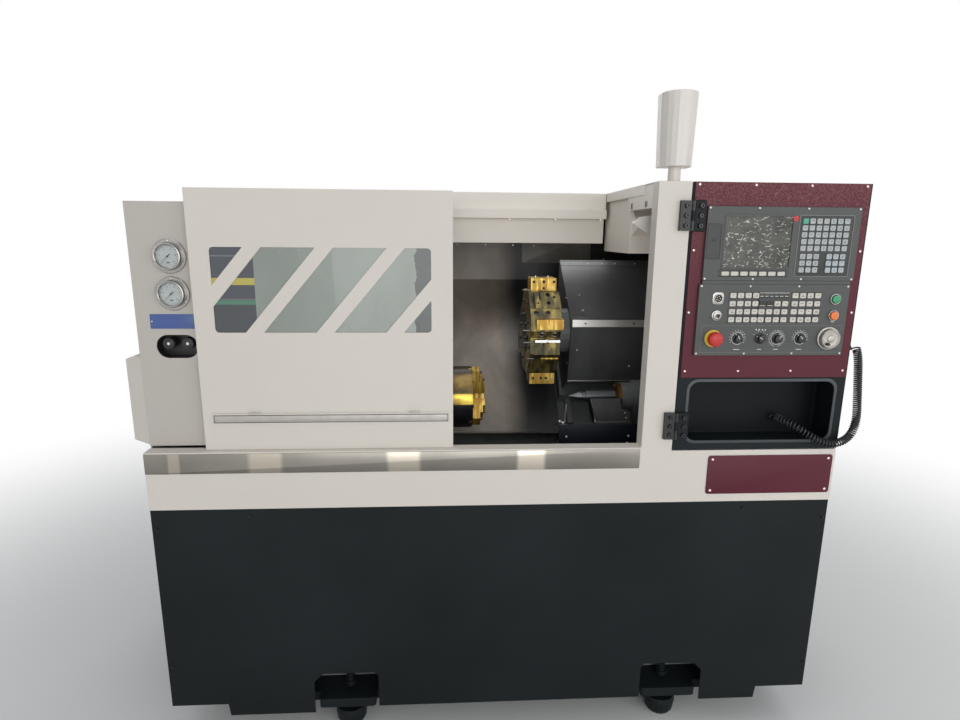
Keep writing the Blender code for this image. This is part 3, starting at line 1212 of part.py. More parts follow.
def door_pieces():
    left, right = DOOR_LEFT, DOOR_LEFT + DOOR_WIDTH
    low, top, face = SILL_TOP + GAP, DOOR_TOP, DOOR_FACE
    back = HOOD_FRONT - 0.0035
    rail_top = COLUMN_TOP - FASCIA_HEIGHT
    front = box((left, face, low), (right, face + SHEET, top))
    pieces = [
        box((left, face + 0.001, low), (left + SHEET, face + DOOR_RETURN, top - 0.001)),
        box((right - SHEET, face + 0.001, low), (right, face + DOOR_RETURN, top - 0.001)),
        box((left, face + 0.001, low), (right, face + DOOR_RETURN, low + SHEET)),
        box((left, face + 0.001, top - SHEET), (right, back, top)),
        box((left, back - SHEET, rail_top + GAP), (right, back, top - 0.001)),
    ]
    bar = prism_z(
        [
            (left + 0.027, face + 0.001), (left + 0.030, face - BAR_PROUD), (right - 0.012, face - BAR_PROUD),
            (right - 0.009, face + 0.001),
        ],
        HANDLE_BOTTOM, HANDLE_BOTTOM + HANDLE_HEIGHT,
    )
    shell = join(front, bar, *pieces)
    window = prism_y(window_outline(), face - 0.01, face + SHEET + 0.005)
    bars = []
    for i in range(BAR_COUNT):
        start = BAR_START + BAR_PITCH * i
        reach = WINDOW_HEIGHT + 0.02
        head = WINDOW_BOTTOM + WINDOW_HEIGHT + 0.01
        slip = 0.01 * BAR_LEAN
        outline = [
            (start + slip, head), (start + slip - reach * BAR_LEAN, head - reach),
            (start + slip - reach * BAR_LEAN + BAR_WIDTH, head - reach), (start + slip + BAR_WIDTH, head),
        ]
        bars.append(prism_y(outline, face - 0.02, face + SHEET + 0.02))
    shell = cut(shell, cut(window, *bars))
    node("sliding_door", shell, "white_paint")
    border = PANE_BORDER
    pane = box(
        (WINDOW_LEFT - border, face + SHEET + GAP, WINDOW_BOTTOM - border),
        (WINDOW_LEFT + WINDOW_WIDTH + border, face + SHEET + GAP + PANE_THICKNESS, WINDOW_BOTTOM + WINDOW_HEIGHT + border),
    )
    node("door_window", pane, "frosted_pane")


def window_outline():
    high = (WINDOW_LEFT + WINDOW_WIDTH, WINDOW_BOTTOM + WINDOW_HEIGHT)
    return rounded_outline((WINDOW_LEFT, WINDOW_BOTTOM), high, WINDOW_CORNER, 3)


def key_mat(columns, rows, size, plane, margin):
    """A rubber mat with keys standing on it: each (column, row) cell holds one key's corner."""
    width, height = size
    xs = sorted({round(x, 5) for x in columns} | {round(x + width, 5) for x in columns})
    zs = sorted({round(z, 5) for z in rows} | {round(z + height, 5) for z in rows})
    xs = [xs[0] - margin, *xs, xs[-1] + margin]
    zs = [zs[0] - margin, *zs, zs[-1] + margin]
    made = bmesh.new()
    grid = [[made.verts.new((x, plane - MAT, z)) for z in zs] for x in xs]
    keys = []
    for i in range(len(xs) - 1):
        for j in range(len(zs) - 1):
            face = made.faces.new((grid[i][j], grid[i + 1][j], grid[i + 1][j + 1], grid[i][j + 1]))
            if i % 2 and j % 2:
                keys.append(face)
    border = [edge for edge in made.edges if edge.is_boundary]
    sides = bmesh.ops.extrude_edge_only(made, edges=border)
    moved = [item for item in sides["geom"] if isinstance(item, bmesh.types.BMVert)]
    bmesh.ops.translate(made, vec=(0, MAT, 0), verts=moved)
    bmesh.ops.holes_fill(made, edges=[edge for edge in made.edges if edge.is_boundary], sides=0)
    raised = bmesh.ops.extrude_discrete_faces(made, faces=keys)
    tops = {vert for face in raised["faces"] for vert in face.verts}
    bmesh.ops.translate(made, vec=(0, -KEY_RISE, 0), verts=list(tops))
    bmesh.ops.recalc_face_normals(made, faces=made.faces)
    return made


def control_pieces():
    left, right = LEAF_LEFT, HALF_WIDTH
    low, top = LEAF_BOTTOM, COLUMN_TOP - 0.001
    opening_high = (OPENING_LEFT + OPENING_WIDTH, OPENING_BOTTOM + OPENING_HEIGHT)
    opening = rounded_outline((OPENING_LEFT, OPENING_BOTTOM), opening_high, OPENING_CORNER, 3)
    tray = box((left, 0, low), (right, LEAF_RETURN, top))
    hollow = box((left + SHEET, SHEET, low + SHEET), (right - SHEET, LEAF_RETURN + 0.01, top - SHEET))
    border = UNIT_BORDER - 0.001
    unit_cuts = [
        box((UNIT_LEFT + border, -0.05, CNC_BOTTOM + border), (UNIT_LEFT + UNIT_WIDTH - border, 0.02, CNC_BOTTOM + CNC_HEIGHT - border)),
        box((OPERATOR_LEFT + border, -0.05, OPERATOR_BOTTOM + border), (OPERATOR_LEFT + UNIT_WIDTH - border, 0.02, OPERATOR_BOTTOM + OPERATOR_HEIGHT - border)),
    ]
    leaf = cut(tray, hollow, prism_y(opening, -0.01, 0.01), *[other.copy() for other in unit_cuts])
    hinges = []
    for base in (HINGE_UPPER, HINGE_LOWER):
        third = HINGE_HEIGHT / 3
        wing = box((HINGE_X + HINGE_KNUCKLE * 0.5, -HINGE_THICKNESS - PLATE_THICKNESS, base), (HINGE_X + HINGE_LEAF, 0.001, base + HINGE_HEIGHT))
        relief = [
            rod((HINGE_X, HINGE_Y, 0), HINGE_KNUCKLE + 0.0006, base - 0.01, base + third + GAP, "z"),
            rod((HINGE_X, HINGE_Y, 0), HINGE_KNUCKLE + 0.0006, base + 2 * third - GAP, base + HINGE_HEIGHT + 0.01, "z"),
        ]
        knuckle = rod((HINGE_X, HINGE_Y, 0), HINGE_KNUCKLE, base + third + GAP, base + 2 * third - GAP, "z")
        bore = rod((HINGE_X, HINGE_Y, 0), HINGE_PIN + RUNNING, base - 0.01, base + HINGE_HEIGHT + 0.01, "z", 12)
        hinges.append(cut(join(cut(wing, *relief), knuckle), bore))
    pivot = (HINGE_X, HINGE_Y, low)
    wall = 0.003
    pocket = box(
        (OPENING_LEFT - 0.012, SHEET - 0.0005, OPENING_BOTTOM - 0.010),
        (opening_high[0] + 0.012, POCKET_DEPTH, opening_high[1] + 0.008),
    )
    inside = box(
        (OPENING_LEFT - 0.012 + wall, -0.01, OPENING_BOTTOM - 0.010 + wall),
        (opening_high[0] + 0.012 - wall, POCKET_DEPTH - wall, opening_high[1] + 0.008 - wall),
    )
    pocket = cut(pocket, inside)
    node("control_door", join(leaf, pocket, *hinges), "black_paint", pivot)

    for name, base in (("hinge_upper", HINGE_UPPER), ("hinge_lower", HINGE_LOWER)):
        third = HINGE_HEIGHT / 3
        wing = box((HINGE_X - HINGE_LEAF, -HINGE_THICKNESS - PLATE_THICKNESS, base), (HINGE_X - HINGE_KNUCKLE * 0.5, -GAP, base + HINGE_HEIGHT))
        relief = rod((HINGE_X, HINGE_Y, 0), HINGE_KNUCKLE + 0.0006, base + third - GAP, base + 2 * third + GAP, "z")
        ends = [
            rod((HINGE_X, HINGE_Y, 0), HINGE_KNUCKLE, base, base + third - GAP, "z"),
            rod((HINGE_X, HINGE_Y, 0), HINGE_KNUCKLE, base + 2 * third + GAP, base + HINGE_HEIGHT, "z"),
        ]
        pin = rod((HINGE_X, HINGE_Y, 0), HINGE_PIN, base + 0.001, base + HINGE_HEIGHT - 0.001, "z", 12)
        node(name, join(cut(wing, relief), *ends, pin), "black_paint")

    plate = box((left + PLATE_SIDE, -PLATE_THICKNESS - GAP, PLATE_BOTTOM), (right - PLATE_SIDE, -GAP, top))
    notch = box((left, -0.02, HINGE_UPPER - 0.001), (HINGE_X + HINGE_LEAF + 0.001, 0.01, HINGE_UPPER + HINGE_HEIGHT + 0.001))
    node("control_plate", cut(plate, notch, *unit_cuts), "maroon_paint", pivot)

    plane = -PLATE_THICKNESS - 2 * GAP
    rear = UNIT_BORDER
    screen = box((SCREEN_LEFT, UNIT_FACE - 0.01, SCREEN_BOTTOM), (SCREEN_LEFT + SCREEN_WIDTH, UNIT_FACE + SCREEN_RECESS, SCREEN_BOTTOM + SCREEN_HEIGHT))
    bores = [
        rod((x, UNIT_FACE, z), radius + RUNNING, -0.01, BUTTON_BORE, "y", ROUND)
        for x, z, radius in (
            (STOP_X, KNOB_Z, STOP_STEM), (BUTTON_X, START_Z, BUTTON_RADIUS), (BUTTON_X, HOLD_Z, BUTTON_RADIUS)
        )
    ]
    for name, start, base, height, extra in (
        ("cnc_unit", UNIT_LEFT, CNC_BOTTOM, CNC_HEIGHT, [screen]),
        ("operator_unit", OPERATOR_LEFT, OPERATOR_BOTTOM, OPERATOR_HEIGHT, bores),
    ):
        bezel = box((start, UNIT_FACE, base), (start + UNIT_WIDTH, plane, base + height))
        body = box((start + rear, plane - 0.001, base + rear), (start + UNIT_WIDTH - rear, UNIT_BODY, base + height - rear))
        made = cut(join(bezel, body), *extra)
        node(name, made, "grey_panel", pivot)

    mat_plane = UNIT_FACE - GAP
    columns = [OPERATOR_LEFT + inset + KEY_PITCH * i for inset in KEY_GROUPS for i in range(4)]
    rows = [OPERATOR_BOTTOM + KEY_ROWS_UP + 0.0230 * i for i in range(4)]
    node("operator_keys", key_mat(columns, rows, (0.0163, 0.0150), mat_plane, 0.002), "key_rubber", pivot)
    columns = [UNIT_LEFT + KEYPAD_INSET + KEYPAD_PITCH * i for i in range(7)]
    rows = [CNC_BOTTOM + KEYPAD_UP + 0.0187 * i for i in range(8)]
    node("cnc_keys", key_mat(columns, rows, (0.0160, 0.0150), mat_plane, 0.002), "key_rubber", pivot)

    seat = UNIT_FACE - GAP
    for i, x in enumerate(OPERATOR_LEFT + inset for inset in KNOB_INSETS):
        knob_piece(f"selector_knob_{i + 1}", (x, seat, KNOB_Z))
    centre = (WHEEL_X, seat, KNOB_Z)
    profile = [
        (0, 0), (0, WHEEL_RADIUS * 0.80), (-0.010, WHEEL_RADIUS * 0.80), (-0.010, WHEEL_RADIUS),
        (-0.022, WHEEL_RADIUS), (-0.025, WHEEL_RADIUS - 0.003), (-0.025, WHEEL_RADIUS * 0.72),
        (-0.023, WHEEL_RADIUS * 0.68), (-0.023, 0),
    ]
    wheel = turned(profile, centre, "y")
    grip = rod((WHEEL_X + 0.012, seat, KNOB_Z - 0.013), 0.0045, -0.0335, -0.020, "y", 12)
    node("pulse_handwheel", join(wheel, grip), "aluminium", centre)
    buttons = (
        ("emergency_stop", (STOP_X, seat, KNOB_Z), "red_plastic", [
            (0.004, 0), (0.004, STOP_STEM), (-0.010, STOP_STEM), (-0.012, STOP_RADIUS), (-0.023, STOP_RADIUS),
            (-0.028, STOP_RADIUS * 0.75), (-0.0295, 0),
        ]),
        ("start_button", (BUTTON_X, seat, START_Z), "green_plastic", [
            (0.004, 0), (0.004, BUTTON_RADIUS), (-0.008, BUTTON_RADIUS), (-0.0095, BUTTON_RADIUS - 0.0015), (-0.0095, 0),
        ]),
        ("hold_button", (BUTTON_X, seat, HOLD_Z), "orange_plastic", [
            (0.004, 0), (0.004, BUTTON_RADIUS), (-0.008, BUTTON_RADIUS), (-0.0095, BUTTON_RADIUS - 0.0015), (-0.0095, 0),
        ]),
    )
    for name, centre, finish, profile in buttons:
        node(name, turned(profile, centre, "y", SMALL_ROUND), finish, centre)
    centre = (KEY_LOCK[0], seat, KEY_LOCK[1])
    profile = [(0, 0), (0, KEY_LOCK_RADIUS), (-0.006, KEY_LOCK_RADIUS), (-0.008, KEY_LOCK_RADIUS * 0.8), (-0.008, 0)]
    barrel = turned(profile, centre, "y", SMALL_ROUND)
    bow = centred_box((centre[0], seat - 0.014, centre[2]), (0.0022, 0.016, 0.014))
    node("key_switch", join(barrel, bow), "chrome", centre)


def knob_piece(name, centre):
    """A pointer knob: a round skirt under a narrow grip bar."""
    skirt = turned([(0, 0), (0, KNOB_RADIUS), (-0.003, KNOB_RADIUS), (-0.005, KNOB_RADIUS * 0.8), (-0.005, 0)], centre, "y", SMALL_ROUND)
    x, y, z = centre
    outline = rounded_outline((x - 0.0042, z - KNOB_RADIUS * 0.86), (x + 0.0042, z + KNOB_RADIUS * 0.86), 0.003, 2)
    grip = prism_y(outline, y - KNOB_HEIGHT, y - 0.004)
    turn = Matrix.Translation(centre) @ Matrix.Rotation(math.radians(40), 4, "Y") @ Matrix.Translation([-v for v in centre])
    bmesh.ops.transform(grip, matrix=turn, verts=grip.verts)
    node(name, join(skirt, grip), "black_plastic", centre)


def cord_piece():
    """The curly cord's outer tube, on a smooth curve through its route."""
    route = [Vector(point) for point in CORD_ROUTE]
    ends = [route[0] * 2 - route[1], *route, route[-1] * 2 - route[-2]]
    points = []
    for i in range(1, len(ends) - 2):
        before, here, after, later = ends[i - 1 : i + 3]
        for step in range(2):
            t = step / 2
            points.append(
                0.5 * (2 * here + (after - before) * t + (2 * before - 5 * here + 4 * after - later) * t**2
                       + (3 * here - before - 3 * after + later) * t**3)
            )
    points.append(route[-1])
    curve = bpy.data.curves.new("curly_cord", "CURVE")
    curve.dimensions = "3D"
    curve.bevel_depth = CORD_RADIUS
    curve.bevel_resolution = 3
    curve.use_fill_caps = True
    spline = curve.splines.new("POLY")
    spline.points.add(len(points) - 1)
    for target, point in zip(spline.points, points):
        target.co = (*point, 1)
    obj = bpy.data.objects.new("curly_cord", curve)
    bpy.context.scene.collection.objects.link(obj)
    curve.materials.append(material("rubber"))
    obj.parent = FRAME["machine"]


def main():
    clear_scene()
    machine = bpy.data.objects.new("machine_frame", None)
    bpy.context.scene.collection.objects.link(machine)
    machine.location = (ORIGIN_X, ORIGIN_Y, 0)
    FRAME["machine"] = machine
    base_pieces()
    bed_pieces()
    headstock_pieces()
    drive_pieces()
    carriage_pieces()
    turret_piece()
    tailstock_pieces()
    liner_pieces()
    front_frame_piece()
    case_pieces()
    hood_pieces()
    signal_piece()
    door_pieces()
    control_pieces()
    cord_piece()


main()
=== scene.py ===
import json
import math
import random

import bmesh
import bpy
from bpy.props import FloatProperty, FloatVectorProperty, IntProperty, PointerProperty
from mathutils import Matrix, Vector

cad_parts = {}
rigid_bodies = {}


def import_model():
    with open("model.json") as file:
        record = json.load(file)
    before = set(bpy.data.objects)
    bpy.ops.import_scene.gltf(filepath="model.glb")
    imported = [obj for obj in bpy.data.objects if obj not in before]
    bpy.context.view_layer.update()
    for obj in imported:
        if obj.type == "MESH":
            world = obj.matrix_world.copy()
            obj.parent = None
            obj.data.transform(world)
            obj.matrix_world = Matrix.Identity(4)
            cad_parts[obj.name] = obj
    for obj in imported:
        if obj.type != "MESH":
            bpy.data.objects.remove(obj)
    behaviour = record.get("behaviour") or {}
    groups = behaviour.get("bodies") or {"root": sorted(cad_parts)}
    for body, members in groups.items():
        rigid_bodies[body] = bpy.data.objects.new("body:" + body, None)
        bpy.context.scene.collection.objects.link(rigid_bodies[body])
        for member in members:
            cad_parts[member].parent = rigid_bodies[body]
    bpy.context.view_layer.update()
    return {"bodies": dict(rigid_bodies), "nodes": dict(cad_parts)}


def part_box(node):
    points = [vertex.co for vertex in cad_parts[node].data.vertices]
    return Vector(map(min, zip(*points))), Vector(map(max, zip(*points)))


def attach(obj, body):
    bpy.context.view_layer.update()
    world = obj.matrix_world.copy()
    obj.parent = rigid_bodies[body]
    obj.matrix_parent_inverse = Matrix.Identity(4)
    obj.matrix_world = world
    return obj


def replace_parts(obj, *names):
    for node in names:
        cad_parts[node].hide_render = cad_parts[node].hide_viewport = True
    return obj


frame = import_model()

bl_info = {
    "name": "Slant-bed lathe dressing",
    "version": (1, 0, 0),
    "blender": (4, 5, 0),
    "location": "3D View > Sidebar > Lathe",
    "description": "Finishes and fine pieces for a slant-bed turning lathe",
    "category": "Object",
}

# The front plane's foot at the middle of the base, in the row frame
MACHINE = Vector((0.033, -0.662, 0.0))

# Faces that pieces sit on, as depths behind the front plane, in metres
DOOR_FACE = 0.012
PLATE_FACE = -0.0033
HINGE_FACE = -0.0098
UNIT_FACE = -0.0123
KICK_FACE = 0.003
CASE_FACE = 0.0465

# Axes that run along X, as (y, z)
SPINDLE = (0.4, 1.005)
TURRET = (0.6015, 1.2065)

# Centre line of the coiled lead, from the control door's side to its pocket
CORD_ROUTE = (
    (1.012, 0.02, 1.252),
    (1.03, 0.018, 1.24),
    (1.037, 0.012, 1.205),
    (1.039, 0.004, 1.15),
    (1.04, -0.005, 1.09),
    (1.039, -0.013, 1.035),
    (1.026, -0.019, 0.995),
    (1.0, -0.022, 0.972),
    (0.964, -0.023, 0.965),
    (0.928, -0.021, 0.974),
    (0.896, -0.012, 0.993),
    (0.87, 0.008, 1.01),
    (0.85, 0.042, 1.018),
    (0.85, 0.07, 1.018),
    (0.85, 0.0962, 1.018),
)


def colour_property(name, description, value):
    return FloatVectorProperty(
        name=name, description=description, subtype="COLOR", size=3, min=0.0, max=1.0, default=value
    )


def length_property(name, description, value):
    return FloatProperty(
        name=name, description=description, subtype="DISTANCE", unit="LENGTH", default=value
    )


def count_property(name, description, value):
    return IntProperty(name=name, description=description, min=1, default=value)


def screen(red, green, blue):
    """A colour as a screen shows it, 0 to 255, made linear."""
    return tuple(
        c / 3294.6 if c <= 10.31 else ((c / 255 + 0.055) / 1.055) ** 2.4 for c in (red, green, blue)
    )


# Painted reflections on the brushed band, as light patches: left end, right end, gain
PAINTED_REFLECTIONS = (
    (-0.935, -0.903, 0.6), (-0.713, -0.622, 0.75), (-0.325, -0.232, 0.9), (0.05, 0.129, 1.1)
)
REFLECTION_TINT = (0.62, 0.56, 0.47)

# Thickness of the legends on the keys, and of the print around them
INK = 0.00012
PRINT = 0.00016


class LatheColours(bpy.types.PropertyGroup):
    white: colour_property("White paint", "Textured paint of the guards", screen(222, 216, 207))
    black: colour_property("Black paint", "Satin paint of the base", screen(22, 28, 30))
    maroon: colour_property("Maroon paint", "Paint of the control plate", screen(89, 30, 43))
    panel: colour_property("Panel grey", "Face of the control units", screen(72, 75, 73))
    key: colour_property("Key caps", "Rubber key caps", screen(208, 204, 194))
    gold: colour_property("Gold film", "Rust film on bare tool blocks", screen(172, 142, 58))
    blue: colour_property("Blue plate", "Bare plate on the headstock case", screen(62, 88, 150))
    frost: colour_property("Window film", "Pale film left on the window", screen(146, 153, 145))


class LatheSizes(bpy.types.PropertyGroup):
    wire: length_property("Wire diameter", "Diameter of the coiled lead", 0.0046)
    coil: length_property("Coil radius", "Radius of the coil's centre line", 0.0098)
    pitch: length_property("Coil pitch", "Rise of one turn of the coiled lead", 0.0056)
    screw: length_property("Panel screw", "Radius of a panel screw's head", 0.004)
    key: length_property("Key width", "Width of one square key cap", 0.0146)
    slats: count_property("Cabinet slats", "Slats in the rear cabinet's grille", 12)


def colours():
    return bpy.context.scene.lathe_colours


def sizes():
    return bpy.context.scene.lathe_sizes


class Finish:
    """One node material, with short calls for the nodes that the finishes share."""

    def __init__(self, name, colour, rough=0.5, metal=0.0, **extra):
        self.material = bpy.data.materials.new("lathe_" + name)
        self.material.use_nodes = True
        self.tree = self.material.node_tree
        self.shader = self.tree.nodes["Principled BSDF"]
        self.set(**{"Base Color": (*colour, 1.0), "Roughness": rough, "Metallic": metal})
        self.set(**{key.replace("_", " "): value for key, value in extra.items()})
        self.place = self.add("ShaderNodeTexCoord").outputs["Object"]

    def set(self, **values):
        for socket, value in values.items():
            self.shader.inputs[socket].default_value = value

    def add(self, kind, **settings):
        node = self.tree.nodes.new(kind)
        for key, value in settings.items():
            setattr(node, key, value)
        return node

    def wire(self, value, socket):
        if isinstance(value, bpy.types.NodeSocket):
            self.tree.links.new(value, socket)
        else:
            colour = isinstance(value, tuple) and len(value) == 3
            socket.default_value = (*value, 1.0) if colour else value

    def stretched(self, stretch, turn=(0.0, 0.0, 0.0)):
        node = self.add("ShaderNodeMapping")
        self.wire(self.place, node.inputs["Vector"])
        node.inputs["Rotation"].default_value = turn
        node.inputs["Scale"].default_value = stretch
        return node.outputs["Vector"]

    def noise(self, scale, detail=2.0, stretch=None, rough=0.5, warp=0.0):
        node = self.add("ShaderNodeTexNoise")
        self.wire(self.stretched(stretch) if stretch else self.place, node.inputs["Vector"])
        node.inputs["Scale"].default_value = scale
        node.inputs["Detail"].default_value = detail
        node.inputs["Roughness"].default_value = rough
        node.inputs["Distortion"].default_value = warp
        return node.outputs["Fac"]

    def cells(self, scale, feature="F1"):
        node = self.add("ShaderNodeTexVoronoi", feature=feature)
        self.wire(self.place, node.inputs["Vector"])
        node.inputs["Scale"].default_value = scale
        return node.outputs["Distance"]

    def axis(self, letter, offset=0.0):
        node = self.add("ShaderNodeSeparateXYZ")
        self.wire(self.place, node.inputs["Vector"])
        return self.maths("ADD", node.outputs[letter], offset) if offset else node.outputs[letter]

    def maths(self, operation, first, second=0.0, third=0.0):
        node = self.add("ShaderNodeMath", operation=operation)
        for value, socket in zip((first, second, third), node.inputs):
            self.wire(value, socket)
        return node.outputs["Value"]

    def steps(self, source, *stops, smooth=True):
        """A colour ramp: each stop is a place and a grey value or a colour."""
        node = self.add("ShaderNodeValToRGB")
        ramp = node.color_ramp
        ramp.interpolation = "LINEAR" if smooth else "CONSTANT"
        while len(ramp.elements) < len(stops):
            ramp.elements.new(1.0)
        for element, (place, value) in zip(ramp.elements, stops):
            element.position = place
            element.color = (*value, 1.0) if isinstance(value, tuple) else (value,) * 3 + (1.0,)
        self.wire(source, node.inputs["Fac"])
        return node.outputs["Color"]

    def mix(self, factor, first, second):
        """A blend of two colours, whose sockets share their names and so go by number."""
        node = self.add("ShaderNodeMix", data_type="RGBA")
        self.wire(factor, node.inputs["Factor"])
        self.wire(first, node.inputs[6])
        self.wire(second, node.inputs[7])
        return node.outputs[2]

    def paint(self, source):
        self.wire(source, self.shader.inputs["Base Color"])
        return self

    def gloss(self, source, low, high):
        node = self.add("ShaderNodeMapRange")
        self.wire(source, node.inputs["Value"])
        node.inputs["To Min"].default_value = low
        node.inputs["To Max"].default_value = high
        self.wire(node.outputs["Result"], self.shader.inputs["Roughness"])
        return self

    def bump(self, height, distance):
        """Adds a bump of this many metres over those already there."""
        node = self.add("ShaderNodeBump")
        node.inputs["Distance"].default_value = distance
        self.wire(height, node.inputs["Height"])
        old = self.shader.inputs["Normal"]
        if old.is_linked:
            self.wire(old.links[0].from_socket, node.inputs["Normal"])
        self.wire(node.outputs["Normal"], old)
        return self


def shade(colour, factor):
    return tuple(min(1.0, c * factor) for c in colour)


# A level above one lightens the copy as painted light; below one darkens it as painted shade.
def white_paint(name, level=1.0):
    base = shade(tuple(colours().white), level)
    f = Finish(name, base, rough=0.5, Specular_IOR_Level=0.28)
    tone = f.noise(1.7, 3.0)
    dust = f.steps(f.noise(380.0, 2.0), (0.62, 0.0), (0.78, 1.0))
    body = f.mix(tone, shade(base, 0.95), shade(base, 1.04))
    f.paint(f.mix(f.maths("MULTIPLY", dust, 0.05), body, shade(base, 0.72)))
    f.gloss(f.noise(14.0, 3.0), 0.44, 0.58)
    f.bump(f.noise(3.2, 1.0), 0.0012).bump(f.noise(210.0, 2.0), 0.00045)
    return f


def black_paint(name, specks=True, base=None):
    base = base or tuple(colours().black)
    f = Finish(name, base, rough=0.48, Specular_IOR_Level=0.18)
    cloud = f.steps(f.noise(2.4, 4.0), (0.35, shade(base, 0.8)), (0.75, shade(base, 1.35)))
    if specks:
        fleck = f.steps(f.cells(95.0), (0.0, 1.0), (0.055, 0.0))
        pick = f.steps(f.noise(9.0, 2.0), (0.6, 0.0), (0.7, 1.0))
        cloud = f.mix(f.maths("MULTIPLY", fleck, pick), cloud, screen(150, 150, 140))
    f.paint(cloud)
    f.gloss(f.noise(6.0, 4.0), 0.42, 0.58)
    f.bump(f.noise(2.6, 1.0), 0.0015).bump(f.noise(700.0, 2.0), 0.00008)
    return f


def maroon_paint(name):
    """Pebbled paint with light specks painted into its colour as glint highlights, painted stronger
    near the top.
    """
    base = tuple(colours().maroon)
    f = Finish(name, base, rough=0.46, Specular_IOR_Level=0.25)
    painted_glint_specks = f.steps(f.noise(420.0, 2.0, rough=0.7), (0.5, 0.0), (0.66, 1.0))
    # Painted highlight: the glint specks are painted stronger towards the top.
    rise = f.steps(f.maths("MULTIPLY_ADD", f.axis("Z"), 2.6, -3.45), (0.3, 0.05), (0.92, 0.75))
    body = f.mix(f.noise(2.2, 2.0), shade(base, 0.88), shade(base, 1.12))
    f.paint(f.mix(f.maths("MULTIPLY", painted_glint_specks, rise), body, screen(156, 104, 102)))
    f.gloss(f.noise(10.0, 2.0), 0.38, 0.5)
    f.bump(f.noise(230.0, 2.0), 0.0004)
    return f


def liner_film(name, base):
    """Dark film over sheet steel, with long smears and a few crinkles."""
    f = Finish(name, base, rough=0.34, Specular_IOR_Level=0.45)
    smear = f.noise(5.0, 5.0, stretch=(1.0, 1.0, 0.25), rough=0.6, warp=0.6)
    tone = f.steps(smear, (0.3, shade(base, 0.62)), (0.55, base), (0.8, shade(base, 1.4)))
    f.paint(tone)
    f.gloss(f.noise(7.0, 4.0, stretch=(1.0, 1.0, 0.3)), 0.26, 0.52)
    f.bump(f.noise(24.0, 3.0, stretch=(1.0, 1.0, 0.4), warp=0.8), 0.0006)
    return f


def back_film(name):
    """The brown liner, with a painted shadow that darkens it towards the slide and at its top left.
    """
    f = liner_film(name, screen(148, 138, 127))
    tone = f.shader.inputs["Base Color"].links[0].from_socket
    # Painted shadow of the turret and hood: a dark blue-grey laid over the brown.
    painted_shade_fill = f.steps(
        f.noise(5.0, 4.0, warp=0.6), (0.3, screen(34, 36, 40)), (0.7, screen(50, 51, 54))
    )
    wander = f.maths("MULTIPLY_ADD", f.noise(4.0, 2.0), 0.5, -0.25)
    across = f.maths("MULTIPLY_ADD", f.axis("X", -MACHINE.x), 9.0, -0.55)
    shadow_edge = f.maths("ADD", across, wander)
    f.paint(f.mix(f.steps(shadow_edge, (0.05, 0.0), (0.85, 1.0)), tone, painted_shade_fill))
    return f


def gold_film(name):
    """Rust-preventing film on ground steel: white-gold and amber bands along X."""
    base = tuple(colours().gold)
    f = Finish(name, base, rough=0.34, metal=0.6)
    band = f.noise(52.0, 3.0, stretch=(1.0, 0.1, 0.1), warp=0.2)
    body = f.steps(
        band, (0.3, shade(base, 0.42)), (0.42, shade(base, 0.78)),
        (0.5, base), (0.56, screen(240, 212, 118)), (0.62, base), (0.74, shade(base, 0.6)),
    )
    patch = f.steps(f.noise(26.0, 4.0, warp=0.8), (0.4, 0.0), (0.66, 1.0))
    f.paint(f.mix(f.maths("MULTIPLY", patch, 0.55), body, screen(176, 120, 48)))
    f.gloss(f.noise(60.0, 3.0), 0.24, 0.46)
    f.bump(f.noise(240.0, 2.0, stretch=(1.0, 0.1, 0.1)), 0.00008)
    return f


def olive_film(name):
    """The same film lying thin and dark on blackened steel, with a few amber smears."""
    f = Finish(name, screen(104, 94, 56), rough=0.36, metal=0.45)
    band = f.noise(40.0, 4.0, stretch=(1.0, 0.3, 0.3), warp=0.5)
    f.paint(f.steps(
        band, (0.3, screen(50, 47, 32)), (0.46, screen(92, 84, 52)),
        (0.56, screen(134, 120, 70)), (0.66, screen(176, 156, 84)), (0.78, screen(84, 78, 50)),
    ))
    f.gloss(f.noise(60.0, 3.0), 0.26, 0.48)
    f.bump(f.noise(200.0, 2.0), 0.0001)
    return f


def gold_chuck(name):
    """The film on the chuck: brown above, a painted highlight band at its middle, painted shade
    near black below, dark brown at its top.
    """
    base = tuple(colours().gold)
    f = Finish(name, base, rough=0.34, metal=0.55)
    band = f.noise(26.0, 3.0, stretch=(0.4, 1.0, 1.0), warp=0.5)
    brown = f.steps(
        band, (0.32, screen(88, 76, 46)), (0.5, screen(132, 110, 64)), (0.66, screen(164, 140, 78))
    )
    # Painted highlight: a bright band just above the axis.
    bright = f.steps(band, (0.34, shade(base, 0.9)), (0.5, screen(250, 222, 96)), (0.66, base))
    # Painted shade: near black below the axis.
    low = f.steps(
        f.noise(14.0, 3.0, warp=0.6), (0.3, screen(30, 30, 34)), (0.7, screen(58, 56, 60))
    )
    height = f.axis("Z", -SPINDLE[1])
    upper = f.steps(f.maths("MULTIPLY_ADD", height, 12.0, 0.5), (0.9, 0.0), (0.93, 1.0))
    body = f.mix(upper, bright, brown)
    top = f.steps(f.maths("MULTIPLY_ADD", height, 8.0, 0.0), (0.7, 0.0), (0.76, 1.0))
    body = f.mix(top, body, screen(62, 56, 46))
    f.paint(
        f.mix(
            f.steps(f.maths("MULTIPLY_ADD", height, 12.0, 0.5), (0.47, 0.0), (0.52, 1.0)), low, body
        )
    )
    f.gloss(f.noise(60.0, 3.0), 0.26, 0.46)
    f.bump(f.noise(240.0, 2.0, stretch=(0.1, 1.0, 1.0)), 0.00008)
    return f


